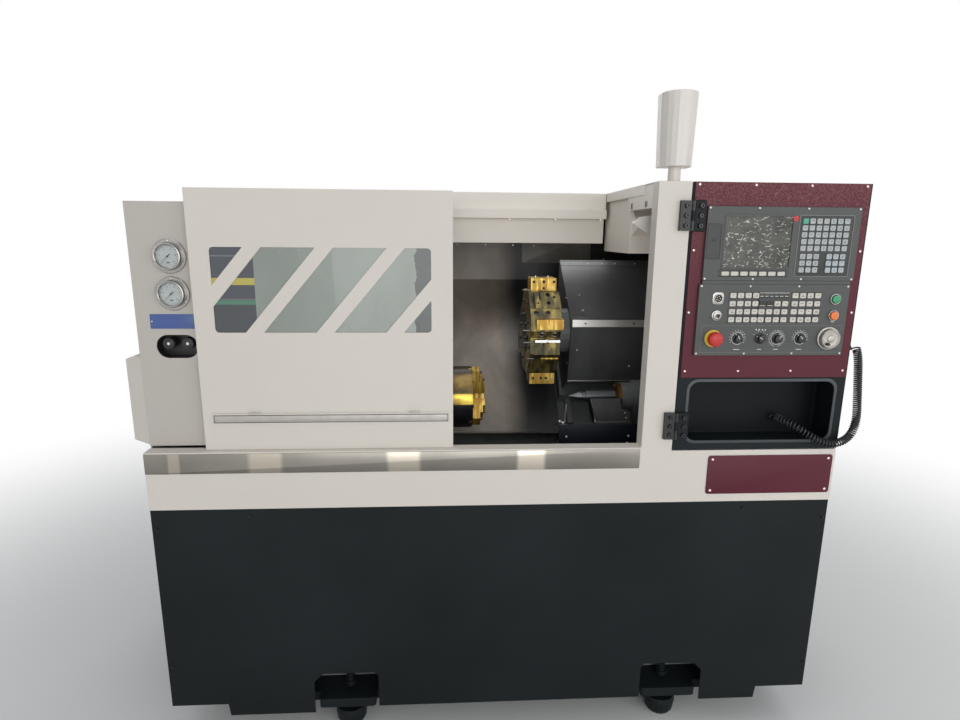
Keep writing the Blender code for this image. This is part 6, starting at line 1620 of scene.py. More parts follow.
class LATHE_OT_operator_unit(bpy.types.Operator):
    """Build the operator unit: key rows, knobs, pulse wheel, stop, lock and buttons"""

    bl_idname = "lathe.operator_unit"
    bl_label = "Operator unit"

    KNOB_Z = 1.2745
    # Each selector's place along X, its pointer's angle, and its scale: marks, start, sweep
    SELECTORS = (
        (0.6589, 118.0, 13, 210, -240), (0.725, 150.0, 4, 150, -120),
        (0.7725, 62.0, 25, 250, -320), (0.8396, 128.0, 11, 190, -200),
    )

    def keys(self):
        groups = ((0.6349, 0.0215), (0.719, 0.0218), (0.8115, 0.0216))
        columns = [first + i * pitch for first, pitch in groups for i in range(4)]
        rows = [1.3945, 1.372, 1.3497, 1.3275]
        cap = key_shape()
        shape = (0.0165, 0.014, 0.003)
        pale, dark = [], []
        for j, v in enumerate(rows):
            for i, u in enumerate(columns):
                spot = (front(u, UNIT_FACE - 0.0006, v), shape)
                if j == 0 and 4 <= i < 8:
                    continue
                (dark if j == 1 and i in (4, 5) else pale).append(spot)
        rng = random.Random(4)
        legends = []
        for spot, _ in pale:
            u, v = spot.translation.x, spot.translation.z
            for line in range(rng.choice((1, 2))):
                outline = rounded(rng.uniform(0.004, 0.009), 0.0013, 0.0003, 1)
                x = u + rng.uniform(-0.001, 0.001)
                place = front(x, UNIT_FACE - 0.0036, v + 0.0016 - line * 0.0036)
                legends.append(slab(outline, 0.0, INK, place))
        mats = merged(*[
            slab(rounded(w, 0.086, 0.003), 0.0, 0.0006, front(u, UNIT_FACE, 1.3612), 0.0002)
            for u, w in ((0.6671, 0.087), (0.7517, 0.088), (0.844, 0.087))
        ])
        bar = slab(
            rounded(0.086, 0.015, 0.001), 0.0006, 0.002, front(0.7517, UNIT_FACE, 1.3955), 0.0004
        )
        stripe = slab(
            rounded(0.085, 0.0012, 0.0004), 0.002, 0.0022, front(0.7517, UNIT_FACE, 1.4018)
        )
        dashes = [
            slab(
                rounded(0.009, 0.0014, 0.0004, 1), 0.002, 0.0022,
                front(0.7165 + 0.014 * i, UNIT_FACE, 1.3925)
            )
            for i in range(6)
        ]
        under = [
            slab(rounded(0.015, 0.0012, 0.0004), 0.0036, 0.0037, front(u, UNIT_FACE, 1.3672))
            for u in (0.719, 0.7408)
        ]
        return piece(
            "operator_key_rows", "control_door", (merged(mats, bar), "panel_dark"),
            (repeated(cap.copy(), pale, "key_cap"), "key_cap"),
            (repeated(cap, dark, "ink_black"), "ink_black"),
            (merged(stripe, *under, *dashes), "ink_white"), (merged(*legends), "ink_black"),
        )

    def selector(self, number, x, angle, count, start, sweep):
        """One selector's cap on its own body; returns what is printed around it."""
        seat = front(x, UNIT_FACE, self.KNOB_Z)
        profile = [
            (0, 0.0003), (0.0152, 0.0003), (0.0155, 0.002), (0.0135, 0.0042), (0.0118, 0.0048),
            (0, 0.0048)
        ]
        skirt = lathe(profile, seat, 40)
        grip = fluted(0.01, 0.011, 18, 0.0046, 0.015, seat)
        top = lathe(
            [(0, 0.0148), (0.0104, 0.0148), (0.01, 0.016), (0.008, 0.0163), (0, 0.016)], seat, 32
        )
        turn = seat @ Matrix.Rotation(math.radians(angle), 4, "Z")
        pointer = slab(
            rounded(0.0105, 0.0016, 0.0004), 0.0158, 0.0165,
            turn @ Matrix.Translation((0.0058, 0, 0))
        )
        side = slab(
            rounded(0.005, 0.0016, 0.0004), 0.0022, 0.005, turn @ Matrix.Translation((0.012, 0, 0))
        )
        obj = piece(
            f"selector_{number}_cap", f"selector_{number}",
            (merged(skirt, grip, top), "black_plastic"),
            (merged(pointer, side), "ink_white"),
        )
        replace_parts(obj, f"selector_knob_{number}")
        place = front(x, UNIT_FACE - 0.0001, self.KNOB_Z)
        if number == 2:
            border = marks(place, 3, 0.0165, 0.002, 0.0008, 60, 60, "ink_white")
        else:
            border = ring(0.0158, 0.0174, 0.0001, 0.0016, seat, 44, 0.0004)
        return [
            border,
            marks(place, count, 0.0218, 0.0046, 0.0011, start, sweep, "ink_white"),
            marks(place, 2 * count - 1, 0.02, 0.0018, 0.0007, start, sweep, "ink_white"),
        ]

    def wheel(self):
        seat = front(0.9216, UNIT_FACE, 1.2745)
        base = lathe(
            [
                (0, 0.0003), (0.033, 0.0003), (0.033, 0.003), (0.0318, 0.0045), (0.029, 0.005),
                (0.028, 0.0085), (0, 0.0085)
            ],
            seat, 56
        )
        rim = fluted(0.0268, 0.0276, 60, 0.0085, 0.015, seat)
        top = lathe(
            [
                (0, 0.0148), (0.0262, 0.0148), (0.0268, 0.0156), (0.0255, 0.0172), (0.0215, 0.0172),
                (0.0205, 0.0162), (0.0105, 0.0158), (0.0095, 0.0178), (0.007, 0.0186), (0, 0.0184)
            ],
            seat, 56
        )
        ticks = marks(
            seat @ Matrix.Translation((0, 0, 0.0172)), 50, 0.0236, 0.0026, 0.0006, 0, 352.8,
            "ink_black"
        )
        arm = around(seat, 0.0165, 236)
        crank = lathe(
            [
                (0, 0.016), (0.0042, 0.016), (0.0042, 0.019), (0.003, 0.02), (0.0036, 0.0215),
                (0.0042, 0.0235), (0.0036, 0.0252), (0, 0.0256)
            ],
            arm, 24
        )
        obj = piece(
            "pulse_wheel", "handwheel", (merged(base, rim, top), "satin_chrome"),
            (ticks, "ink_black"),
            (crank, "black_plastic"),
        )
        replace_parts(obj, "pulse_handwheel")

    def stop_button(self):
        seat = front(0.5888, UNIT_FACE, 1.2745)
        collar = lathe(
            [(0, 0.0002), (0.024, 0.0002), (0.024, 0.0016), (0.0224, 0.0024), (0, 0.0024)], seat, 44
        )
        piece("stop_ring", "control_door", (collar, "yellow_plastic"))
        stem = lathe([(0, -0.0036), (0.0107, -0.0036), (0.0107, 0.0125), (0, 0.0125)], seat, 28)
        profile = [
            (0, 0.012), (0.0182, 0.012), (0.0204, 0.0138), (0.021, 0.017), (0.0207, 0.02),
            (0.0192, 0.0245), (0.015, 0.0278), (0.0096, 0.0293), (0, 0.0297)
        ]
        cap = lathe(profile, seat, 44)
        over = seat @ Matrix.Translation((0, 0, 0.028))
        arrows = marks(over, 3, 0.0128, 0.002, 0.005, 90, 240, "ink_white")
        obj = piece(
            "stop_mushroom", "emergency_stop", (stem, "black_plastic"), (cap, "red_plastic"),
            (arrows, "ink_white"),
        )
        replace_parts(obj, "emergency_stop")

    def buttons(self):
        bezels = []
        profile = [
            (0, -0.0034), (0.0105, -0.0034), (0.0105, 0.003), (0.0113, 0.0034), (0.0113, 0.0082),
            (0.0102, 0.0094), (0.006, 0.0098), (0, 0.0098),
        ]
        for name, z, surface in (
            ("start", 1.3851, "green_plastic"), ("hold", 1.3391, "orange_plastic")
        ):
            seat = front(0.9283, UNIT_FACE, z)
            bezels.append(ring(0.012, 0.0152, 0.0002, 0.0042, seat, 44, 0.001))
            lens = piece(f"{name}_lens", f"{name}_button", (lathe(profile, seat, 36), surface))
            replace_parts(lens, f"{name}_button")
        piece("button_rings", "control_door", (merged(*bezels), "chrome"))

    def lock(self):
        seat = front(0.5928, UNIT_FACE, 1.339)
        nut = slab(disc(0.014, 36), 0.0003, 0.003, seat, 0.0006)
        barrel = lathe(
            [
                (0, 0.0028), (0.0108, 0.0028), (0.0108, 0.0062), (0.0098, 0.0072), (0.0085, 0.0074),
                (0, 0.0074)
            ],
            seat, 36
        )
        turned = seat @ Matrix.Rotation(math.radians(62), 4, "Z")
        plug = slab(rounded(0.013, 0.003, 0.0008), 0.007, 0.01, turned)
        upright = facing(turned @ Vector((0, 0, 0.016)), turned.col[0][:3], turned.col[2][:3])
        blade = slab(rounded(0.0105, 0.0112, 0.004), -0.0009, 0.0009, upright, 0.0003)
        obj = piece(
            "key_lock", "key_switch", (merged(nut, barrel, plug), "chrome"),
            (blade, "black_plastic")
        )
        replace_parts(obj, "key_switch")
        port = front(0.5932, UNIT_FACE, 1.3863)
        flange = carved(
            slab(rounded(0.031, 0.033, 0.009, 6), 0.0002, 0.002, port, 0.0006),
            slab(disc(0.011, 32), 0.0008, 0.01, port),
        )
        barrel = ring(0.01, 0.0128, 0.0012, 0.0058, port, 36, 0.0008)
        core = slab(disc(0.0102, 28), 0.0004, 0.003, port)
        spots = [
            (around(port, 0.0052, math.degrees(k * 1.26), 0.003), (0.0009, 0.0009, 0.0014))
            for k in range(5)
        ]
        pins = repeated(slab(disc(1.0, 8), 0.0, 1.0, ORIGIN), spots, "zinc")
        corners = [
            port @ Matrix.Translation((sx * 0.012, sy * 0.0132, 0.0019)) for sx in (-1, 1)
            for sy in (-1, 1)
        ]
        ends = screws(corners, "zinc", 0.0018)
        piece(
            "data_port", "control_door", (merged(flange, barrel), "chrome"), (core, "ink_black"),
            (merged(pins, ends), "zinc"),
        )

    def execute(self, context):
        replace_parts(self.keys(), "operator_keys")
        printed = []
        for number, selector in enumerate(self.SELECTORS, 1):
            printed += self.selector(number, *selector)
        middle = front(0.756, UNIT_FACE, 1.2725)
        outline = carved(
            slab(rounded(0.404, 0.0765, 0.003), 0.0, PRINT, middle),
            slab(rounded(0.4025, 0.075, 0.0025), -0.01, 0.01, middle),
        )
        words = []
        rng = random.Random(23)
        for x, width in (
            (0.6589, 0.018), (0.725, 0.012), (0.7725, 0.014), (0.8396, 0.016), (0.9283, 0.01)
        ):
            place = front(x, UNIT_FACE, 1.2432 if x < 0.9 else 1.3215)
            words.append(slab(rounded(width, 0.0016, 0.0004, 1), 0.0, PRINT, place))
        for i in range(4):
            place = front(0.711 + 0.0088 * i, UNIT_FACE, 1.2985 + rng.uniform(0, 0.0006))
            words.append(slab(rounded(0.003, 0.004, 0.0005, 1), 0.0, PRINT, place))
        piece(
            "operator_print", "control_door", (outline, "panel_light"),
            (merged(*words, *printed), "ink_white")
        )
        self.wheel()
        self.stop_button()
        self.buttons()
        self.lock()
        spots = [
            front(u, UNIT_FACE, v) for v in (1.4195, 1.2315) for u in (0.5445, 0.682, 0.8205, 0.961)
        ]
        piece("operator_unit_screws", "control_door", (screws(spots, "zinc", 0.0034), "zinc"))
        return {"FINISHED"}


class LATHE_OT_chuck(bpy.types.Operator):
    """Turn the chuck with its grooves and T-slots, and cut its three stepped jaws"""

    bl_idname = "lathe.chuck"
    bl_label = "Chuck and jaws"

    ANGLES = (100.0, 220.0, 340.0)
    # Length, width, low and high along the axis, and middle radius of each jaw's steps
    JAW_STEPS = (
        (0.0837, 0.0398, -0.0655, -0.04, 0.06235),
        (0.0575, 0.0396, -0.0402, -0.03, 0.04925),
        (0.0295, 0.0394, -0.0302, -0.0219, 0.03525),
    )

    def execute(self, context):
        axis = along_x(0.0, *SPINDLE)
        profile = [
            (0.026, -0.1744), (0.094, -0.1744), (0.1, -0.1725), (0.1035, -0.168), (0.1058, -0.16),
            (0.1058, -0.131), (0.104, -0.13), (0.104, -0.127), (0.1058, -0.126), (0.1058, -0.072),
            (0.103, -0.066), (0.047, -0.066), (0.045, -0.068), (0.03, -0.068), (0.026, -0.07),
            (0.026, -0.1744)
        ]
        body = lathe(profile, axis, 72)
        slots = []
        for angle in self.ANGLES:
            turn = axis @ Matrix.Rotation(math.radians(angle), 4, "Z")
            slots.append(
                slab(rounded(0.09, 0.018), -0.079, -0.06, turn @ Matrix.Translation((0.0715, 0, 0)))
            )
        body = carved(body, *slots)
        bolts = [
            around(axis, 0.088, angle + offset, -0.066) for angle in self.ANGLES
            for offset in (32, 60, 88)
        ]
        heads = screws(bolts, "black_screw", 0.0055)
        obj = piece("chuck_shell", "spindle", (body, "gold_chuck"), (heads, "black_screw"))
        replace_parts(obj, "chuck_body")
        for number, angle in enumerate(self.ANGLES, 1):
            turn = axis @ Matrix.Rotation(math.radians(angle), 4, "Z")
            steps = [
                slab(
                    rounded(length, width, 0.001, 1), low, high,
                    turn @ Matrix.Translation((r, 0, 0)), 0.001, 1
                )
                for length, width, low, high, r in self.JAW_STEPS
            ]
            tongue = slab(
                rounded(0.08, 0.017), -0.0776, -0.065, turn @ Matrix.Translation((0.0625, 0, 0))
            )
            bolts = [
                turn @ Matrix.Translation((r, 0, w)) for r, w in ((0.064, -0.03), (0.091, -0.04))
            ]
            teeth = [
                (
                    turn @ Matrix.Translation((0.024 + 0.0016 * k, 0, -0.0662)),
                    (0.0008, 0.039, 0.0008)
                )
                for k in range(50)
            ]
            obj = piece(
                f"stepped_jaw_{number}", f"jaw_{number}", (merged(*steps, tongue), "gold_film"),
                (screws(bolts, "black_screw", 0.0078, washer_head()), "black_screw"),
                (
                    repeated(slab(rounded(1.0, 1.0), 0.0, 1.0, ORIGIN), teeth, "dark_steel"),
                    "dark_steel"
                ),
            )
            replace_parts(obj, f"chuck_jaw_{number}")
        return {"FINISHED"}


def side_slab(outline, low, high, edge):
    """A plate whose (y, z) outline runs along X from low to high."""
    return slab(outline, low, high, along_x(0.0, 0.0, 0.0), edge, 1)


def leaning(x, y, z, degrees):
    """A front frame tipped about X by this many degrees, w turning up from the viewer."""
    angle = math.radians(degrees)
    return facing((x, y, z), (1, 0, 0), (0, math.sin(angle), math.cos(angle)))


def drilled(x, y, z, radius, depth, lean=0.0):
    """A cutter from a face inwards, its axis tipped by lean in degrees."""
    return slab(disc(radius, 20), -depth, depth, leaning(x, y, z, lean))


def pin(x, y, z, radius, length):
    """A round pin with a coned tip, standing out towards -X from x."""
    seat = facing((x, y, z), (0, 0, 1), (0, 1, 0))
    profile = [
        (0, -0.002), (radius, -0.002), (radius, length * 0.85), (radius * 0.6, length), (0, length)
    ]
    return lathe(profile, seat, 14)


class LATHE_OT_turret(bpy.types.Operator):
    """Build the turret disc with its drilled tool blocks, bores, rods and pins"""

    bl_idname = "lathe.turret"
    bl_label = "Turret"

    END_FACE = 0.5565
    # Holes of the end blocks, as (x, z, radius), and leaning bores, as (x, y, z, radius, lean)
    TOP_HOLES = (
        (0.1634, 1.3883, 0.0052), (0.199, 1.3885, 0.0058), (0.2361, 1.3886, 0.0052),
        (0.199, 1.366, 0.0048),
    )
    BOTTOM_HOLES = ((0.169, 1.0335, 0.0055), (0.1985, 1.0335, 0.006), (0.2175, 1.0335, 0.0055))
    SLOPE_BORES = ((0.206, 0.51, 1.344, 0.0085, 45.0), (0.206, 0.483, 1.318, 0.007, 45.0))
    UPPER_BORES = tuple((x, 0.4345, 1.2915, 0.0088, 45.0) for x in (0.156, 0.1975))
    LOWER_BORES = tuple((x, 0.436, 1.215, 0.0085, -45.0) for x in (0.179, 0.225))

    def top_block(self):
        box = side_slab(
            [(0.5565, 1.35), (0.6465, 1.35), (0.6465, 1.4012), (0.5565, 1.4012)], 0.1532, 0.2457,
            0.0012
        )
        holes = [drilled(x, self.END_FACE, z, r, 0.03) for x, z, r in self.TOP_HOLES]
        upright = facing((0.199, 0.605, 0.0), (1, 0, 0), (0, 1, 0))
        holes.append(slab(disc(0.0115, 24), 1.37, 1.41, upright))
        return carved(box, *holes)

    def upper_slope(self):
        """The low block between the top one and the ridge, with its step and clamp slot."""
        wide = side_slab(
            [
                (0.6015, 1.33), (0.55, 1.356), (0.517, 1.356), (0.464, 1.306), (0.464, 1.25),
                (0.6015, 1.25)
            ],
            0.159, 0.2495, 0.0012
        )
        cuts = [
            block((0.174, 0.45, 1.329), (0.179, 0.53, 1.37)),
            block((0.15, 0.45, 1.318), (0.174, 0.4905, 1.39)),
            *[drilled(*spot, 0.026, lean) for *spot, lean in self.SLOPE_BORES],
        ]
        return carved(wide, *cuts)

    def ridge(self):
        wide = side_slab(
            [
                (0.56, 1.304), (0.4465, 1.304), (0.4225, 1.279), (0.4225, 1.229), (0.45, 1.2015),
                (0.56, 1.2015)
            ],
            0.138, 0.244, 0.0012
        )
        bores = [drilled(*spot, 0.03, lean) for *spot, lean in self.UPPER_BORES + self.LOWER_BORES]
        plain = side_slab(
            [(0.43, 1.2735), (0.4075, 1.271), (0.4075, 1.2365), (0.43, 1.234)], 0.156, 0.2495, 0.001
        )
        rings = [
            ring(r, 0.0122, -0.002, 0.001, leaning(x, y, z, lean), 28, 0.0004)
            for x, y, z, r, lean in self.LOWER_BORES
        ]
        return carved(wide, *bores), plain, rings

    def strip(self):
        plate = side_slab(
            [(0.416, 1.1905), (0.46, 1.1905), (0.46, 1.1995), (0.416, 1.1995)], 0.1529, 0.2403,
            0.0008
        )
        return carved(plate, block((0.19, 0.41, 1.185), (0.1985, 0.424, 1.205)))

    def lower_slope(self):
        wide = side_slab(
            [(0.45, 1.19), (0.45, 1.142), (0.542, 1.066), (0.6015, 1.066), (0.6015, 1.19)], 0.153,
            0.247, 0.0012
        )
        cuts = [
            block((0.15, 0.44, 1.148), (0.166, 0.462, 1.182)),
            block((0.209, 0.44, 1.156), (0.244, 0.456, 1.186)),
            *[drilled(x, 0.496, 1.104, 0.006, 0.02, -50.0) for x in (0.183, 0.227)],
        ]
        return carved(wide, *cuts)

    def bottom_block(self):
        box = side_slab(
            [(0.5565, 1.012), (0.6465, 1.012), (0.6465, 1.065), (0.5565, 1.065)], 0.156, 0.249,
            0.0012
        )
        holes = [drilled(x, self.END_FACE, z, r, 0.03) for x, z, r in self.BOTTOM_HOLES]
        holes.append(block((0.193, 0.55, 1.056), (0.201, 0.57, 1.068)))
        return carved(box, *holes)

    def execute(self, context):
        centre = (0.0, *TURRET)
        ridge, plain, rings = self.ridge()
        # Black discs sunk inside the end blocks' holes, as painted shade in them.
        hole_shade_discs = [
            slab(disc(r - 0.0002, 16), -0.012, -0.0016, front(x, self.END_FACE, z))
            for x, z, r in self.TOP_HOLES + self.BOTTOM_HOLES
        ]
        # The same painted shade inside the leaning bores.
        painted_shade_fill = [
            slab(disc(r - 0.0002, 16), -0.015, -0.004, leaning(x, y, z, lean))
            for x, y, z, r, lean in self.SLOPE_BORES + self.UPPER_BORES + self.LOWER_BORES
        ]
        thick = facing((0.18, 0.456, 1.127), (0, 1, 0), (0, 0, 1))
        rods = [
            lathe([(0, 0), (0.0052, 0), (0.0052, 0.061), (0.004, 0.0625), (0, 0.0625)], thick, 18)
        ]
        for spot, ahead, length in (
            ((0.188, 0.447, 1.172), (0.9, 0, -0.4), 0.042),
            ((0.187, 0.472, 1.116), (0.7, 0, -0.7), 0.03),
        ):
            profile = [(0, 0), (0.0024, 0), (0.0024, length), (0, length + 0.001)]
            rods.append(lathe(profile, facing(spot, ahead, (0, 1, 0)), 12))
        pins = [pin(*row) for row in (
            (0.1532, 0.57, 1.358, 0.003, 0.03), (0.138, 0.44, 1.229, 0.003, 0.026),
            (0.153, 0.444, 1.186, 0.003, 0.04), (0.153, 0.46, 1.126, 0.0026, 0.02),
        )]
        tips = [(facing((x, 0.58, 1.0122), (1, 0, 0), (0, -1, 0)), EVEN) for x in (0.178, 0.224)]
        tip = lathe([(0, 0.9), (0.3, 0.9), (0.5, 0.5), (0.5, 0.0)], ORIGIN, 10)
        bright = [self.strip(), *rings, repeated(tip, tips, "ground_steel", size=0.008)]
        heads = [leaning(*row) for row in (
            (0.17, 0.45, 1.186, 0.0), (0.205, 0.45, 1.186, 0.0), (0.233, 0.52, 1.084, -50.0),
            (0.166, 0.52, 1.084, -50.0), (0.228, 0.499, 1.339, 43.0), (0.185, 0.526, 1.356, 60.0),
        )]
        layers = {
            "gold_film": [plain, *rods],
            "olive_film": [self.upper_slope(), ridge, self.lower_slope()],
            "ground_steel": bright,
            "black_screw": [screws(heads, "black_screw", 0.0052)],
            "ink_black": painted_shade_fill,
        }
        ends = merged(self.top_block(), self.bottom_block())
        made = [(ends, "gold_film"), (merged(*pins), "pin_steel"), (merged(*hole_shade_discs), "ink_black")]
        for surface, shapes in layers.items():
            shape = merged(*shapes)
            back = turned_copy(shape, centre, "X", 180.0)
            made.append((merged(shape, back), surface))
        edge = 0.15 / math.cos(math.pi / 8)
        corners = [math.radians(22.5 + 45 * k) for k in range(8)]
        core = [(edge * math.cos(a), edge * math.sin(a)) for a in corners]
        axis = along_x(0.0, *TURRET)
        disc_plate = slab(core, 0.142, 0.248, axis, 0.002)
        hub = lathe(
            [
                (0, 0.133), (0.034, 0.133), (0.04, 0.1345), (0.05, 0.137), (0.078, 0.138),
                (0.082, 0.1422), (0, 0.1422)
            ],
            axis, 56
        )
        nose = lathe(
            [(0, 0.1302), (0.016, 0.1302), (0.02, 0.1312), (0.02, 0.134), (0, 0.134)], axis, 36
        )
        bolts = [
            around(axis, r, first + 45 * k, w) @ OUTWARD
            for r, w, first in ((0.066, 0.1377, 15), (0.118, 0.1422, 22.5)) for k in range(8)
        ]
        obj = piece(
            "turret_head", "turret", (disc_plate, "olive_film"), *made,
            (merged(hub, nose), "dark_steel"),
            (screws(bolts, "black_screw", 0.007, washer_head()), "black_screw"),
        )
        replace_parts(obj, "turret_disc")
        return {"FINISHED"}


class LATHE_OT_tailstock(bpy.types.Operator):
    """Turn the tailstock's quill, centre and filmed cap"""

    bl_idname = "lathe.tailstock"
    bl_label = "Tailstock"

    def execute(self, context):
        axis = along_x(0.0, *SPINDLE)
        profile = [
            (0, 0.2722), (0.0015, 0.2726), (0.015, 0.306), (0.015, 0.32), (0.0175, 0.321),
            (0.0175, 0.329), (0.0205, 0.33), (0.0218, 0.332), (0.0218, 0.657), (0, 0.657)
        ]
        quill = lathe(profile, axis, 48)
        obj = piece("quill_and_centre", "quill", (quill, "quill_steel"))
        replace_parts(obj, "tailstock_quill")
        profile = [
            (0.0228, 0.433), (0.033, 0.433), (0.04, 0.4352), (0.044, 0.4388), (0.0462, 0.44),
            (0.0462, 0.443), (0.044, 0.444), (0.0468, 0.447), (0.0468, 0.4519), (0.0228, 0.4519),
            (0.0228, 0.433)
        ]
        cap = lathe(profile, axis, 56)
        bolts = [around(axis, 0.033, degrees, 0.4331) @ OUTWARD for degrees in range(30, 390, 60)]
        heads = screws(bolts, "black_screw", 0.004)
        piece("tailstock_cap", "tailstock", (cap, "brass_film"), (heads, "black_screw"))
        return {"FINISHED"}


class LATHE_OT_interior(bpy.types.Operator):
    """Fit the screws, seams and edge strips of the inner covers and the roof"""

    bl_idname = "lathe.interior"
    bl_label = "Inner covers and roof"

    COVER = (0.2955, 0.694)
    RIDGE, TOP, FOOT = Vector((0.0, 0.5, 1.246)), Vector((0.0, 0.78, 1.457)), Vector(
        (0.0, 0.54, 1.026)
    )

    def on_cover(self, x, y, end):
        """A frame on the cover's outer face, between the ridge and the given end."""
        along = (end - self.RIDGE).normalized()
        up = along if along.z > 0 else -along
        share = (y - self.RIDGE.y) / (end.y - self.RIDGE.y)
        spot = self.RIDGE.lerp(end, share) + Vector((x, 0.0, 0.0))
        return facing(spot, (1, 0, 0), up)

    def slide_cover(self):
        left, right = self.COVER
        strip = block((left + 0.0012, 0.4958, 1.2328), (right, 0.4999, 1.259), 0.0008, 1)
        lip = block((left, 0.5366, 1.025), (right, 0.5399, 1.0282), 0.0005, 1)
        middle, width = (left + right) / 2, right - left - 0.002
        crest = merged(*[
            slab(rounded(width, height, 0.0008), 0.0, thick, self.on_cover(middle, y, self.TOP))
            for height, thick, y in ((0.004, 0.0018, 0.7775), (0.026, 0.0008, 0.764))
        ])
        # A black strip as painted shade in the cover's slot.
        slot = slab(
            rounded(0.05, 0.003, 0.001), 0.0, 0.0004, self.on_cover(0.329, 0.5345, self.TOP)
        )
        spots = [self.on_cover(x, y, self.TOP) for x, y in ((0.3435, 0.619), (0.3452, 0.5531))]
        caps = screws(spots, "zinc", 0.0052, washer_head())
        spots = [
            self.on_cover(x, 0.764, self.TOP) for x in (0.33, 0.4034, 0.46, 0.5114, 0.59, 0.66)
        ]
        tops = screws(spots, "zinc", 0.0034)
        spots = [front(x, 0.4958, 1.2458) for x in (0.3427, 0.346, 0.518, 0.521, 0.68)]
        holes = screws(spots, "black_screw", 0.0026)
        feet = ((0.5208, 0.5295), (0.64, 0.518), (0.3218, 0.5181))
        lows = screws([self.on_cover(x, y, self.FOOT) for x, y in feet], "zinc", 0.0036)
        piece(
            "slide_cover_trim", "cross_slide", (merged(strip, lip), "aluminium"),
            (crest, "cover_film"), (slot, "ink_black"),
            (merged(caps, tops, lows), "zinc"), (holes, "black_screw"),
        )

    def end_wall(self):
        """Rivet heads on the cover's dark end wall, beside the turret."""
        seats = [
            facing((0.295, y, z), (0, -1, 0), (0, 0, 1))
            for y, z in ((0.56, 1.27), (0.535, 1.205), (0.56, 1.09), (0.62, 1.325))
        ]
        piece("cover_end_rivets", "cross_slide", (screws(seats, "zinc", 0.0036), "zinc"))

    def walls(self):
        """Lapped sheets, a plate and rivets on the back wall."""
        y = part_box("back_liner")[1][1] - MACHINE.y - 0.003
        seams = merged(
            block((0.043, y - 0.0012, 0.93), (0.0452, y + 0.0005, 1.69)),
            block((-0.164, y - 0.0012, 1.2448), (0.14, y + 0.0005, 1.2466)),
        )
        panel = slab(rounded(0.3, 0.12, 0.002), 0.0, 0.0016, front(0.33, y, 1.495), 0.0004)
        rivets = [
            front(x, y - 0.0016, z)
            for x, z in ((0.23, 1.507), (0.42, 1.507), (0.42, 1.452), (0.54, 1.452))
        ]
        rivets += [front(x, y, 1.51) for x in (-0.1, 0.02, 0.14)]
        heads = screws(rivets, "zinc", 0.005)
        piece(
            "back_wall_seams", "enclosure", (seams, "back_film"), (panel, "seam_film"),
            (heads, "turned_steel")
        )

    def roof(self):
        under = [front(x, 0.1, 1.5945) for x in (0.0238, 0.1535, 0.2823)]
        ovals = [
            slab(
                rounded(0.0085, 0.017, 0.0042), 0.0, 0.0004,
                facing((0.4108, y, 1.64), (0, -1, 0), (0, 0, 1))
            )
            for y in (0.2427, 0.1067)
        ]
        heads = screws(under, "zinc", 0.003)
        piece("roof_trim", "enclosure", (merged(*ovals), "ink_black"), (heads, "zinc"))
        corners = [
            (0.3729, 1.5879), (0.4167, 1.5607), (0.4344, 1.5609), (0.437, 1.5863), (0.4419, 1.6103),
            (0.396, 1.6049)
        ]
        wedge = slab(corners, 0.0, 0.008, front(0.0, 0.108, 0.0), 0.001, 1)
        piece("roof_deflector", "enclosure", (wedge, "lamp_plastic"))

    def nozzle(self):
        """The coolant pipe on the fence, with its two ball joints."""
        route = [
            (0.231, 0.24, 0.956), (0.2312, 0.238, 0.97), (0.2318, 0.234, 0.995),
            (0.2326, 0.232, 1.02),
        ]
        pipe = tube(route, 0.0028, 12)
        foot = block((0.208, 0.22, 0.945), (0.24, 0.252, 0.956), 0.0015, 1)
        profile = [
            (0, -0.006), (0.0035, -0.0048), (0.0058, -0.0016), (0.0058, 0.0016), (0.0035, 0.0048),
            (0, 0.006),
        ]
        balls = [
            lathe(profile, Matrix.Translation(spot), 16)
            for spot in ((0.213, 0.233, 0.962), (0.224, 0.233, 0.957))
        ]
        piece(
            "coolant_nozzle", "enclosure", (pipe, "zinc"), (merged(*balls), "zinc"),
            (foot, "dark_steel")
        )

    def apron(self):
        """The folded sheet that hangs in front of the tailstock's foot."""
        corners = [
            (0.3637, 0.9268), (0.4806, 0.9257), (0.4784, 0.9609), (0.448, 0.9736), (0.4409, 1.009),
            (0.3378, 1.009)
        ]
        sheet = slab(corners, 0.0, 0.0022, front(0.0, 0.3449, 0.0), 0.0006, 1)
        rim = tube([(0.3378, 0.343, 1.0085), (0.3637, 0.343, 0.9272)], 0.0014, 8)
        low = tube([(0.364, 0.343, 0.9262), (0.4806, 0.343, 0.9252)], 0.001, 8)
        heads = screws(
            [front(x, 0.3427, z) for x, z in ((0.465, 0.94), (0.46, 0.958))], "zinc", 0.003
        )
        piece(
            "tailstock_apron", "tailstock", (sheet, "cover_film"), (merged(rim, low), "zinc"),
            (heads, "zinc")
        )

    def fence(self):
        line = block((-0.16, 0.5262, 0.8352), (0.2, 0.5282, 0.8374))
        heads = screws(
            [front(x, 0.2, z) for x, z in ((0.433, 0.921), (0.43, 0.898), (0.23, 0.921))], "zinc",
            0.004
        )
        piece("fence_trim", "enclosure", (line, "zinc"), (heads, "zinc"))

    def execute(self, context):
        self.slide_cover()
        self.end_wall()
        self.walls()
        self.roof()
        self.nozzle()
        self.apron()
        self.fence()
        return {"FINISHED"}


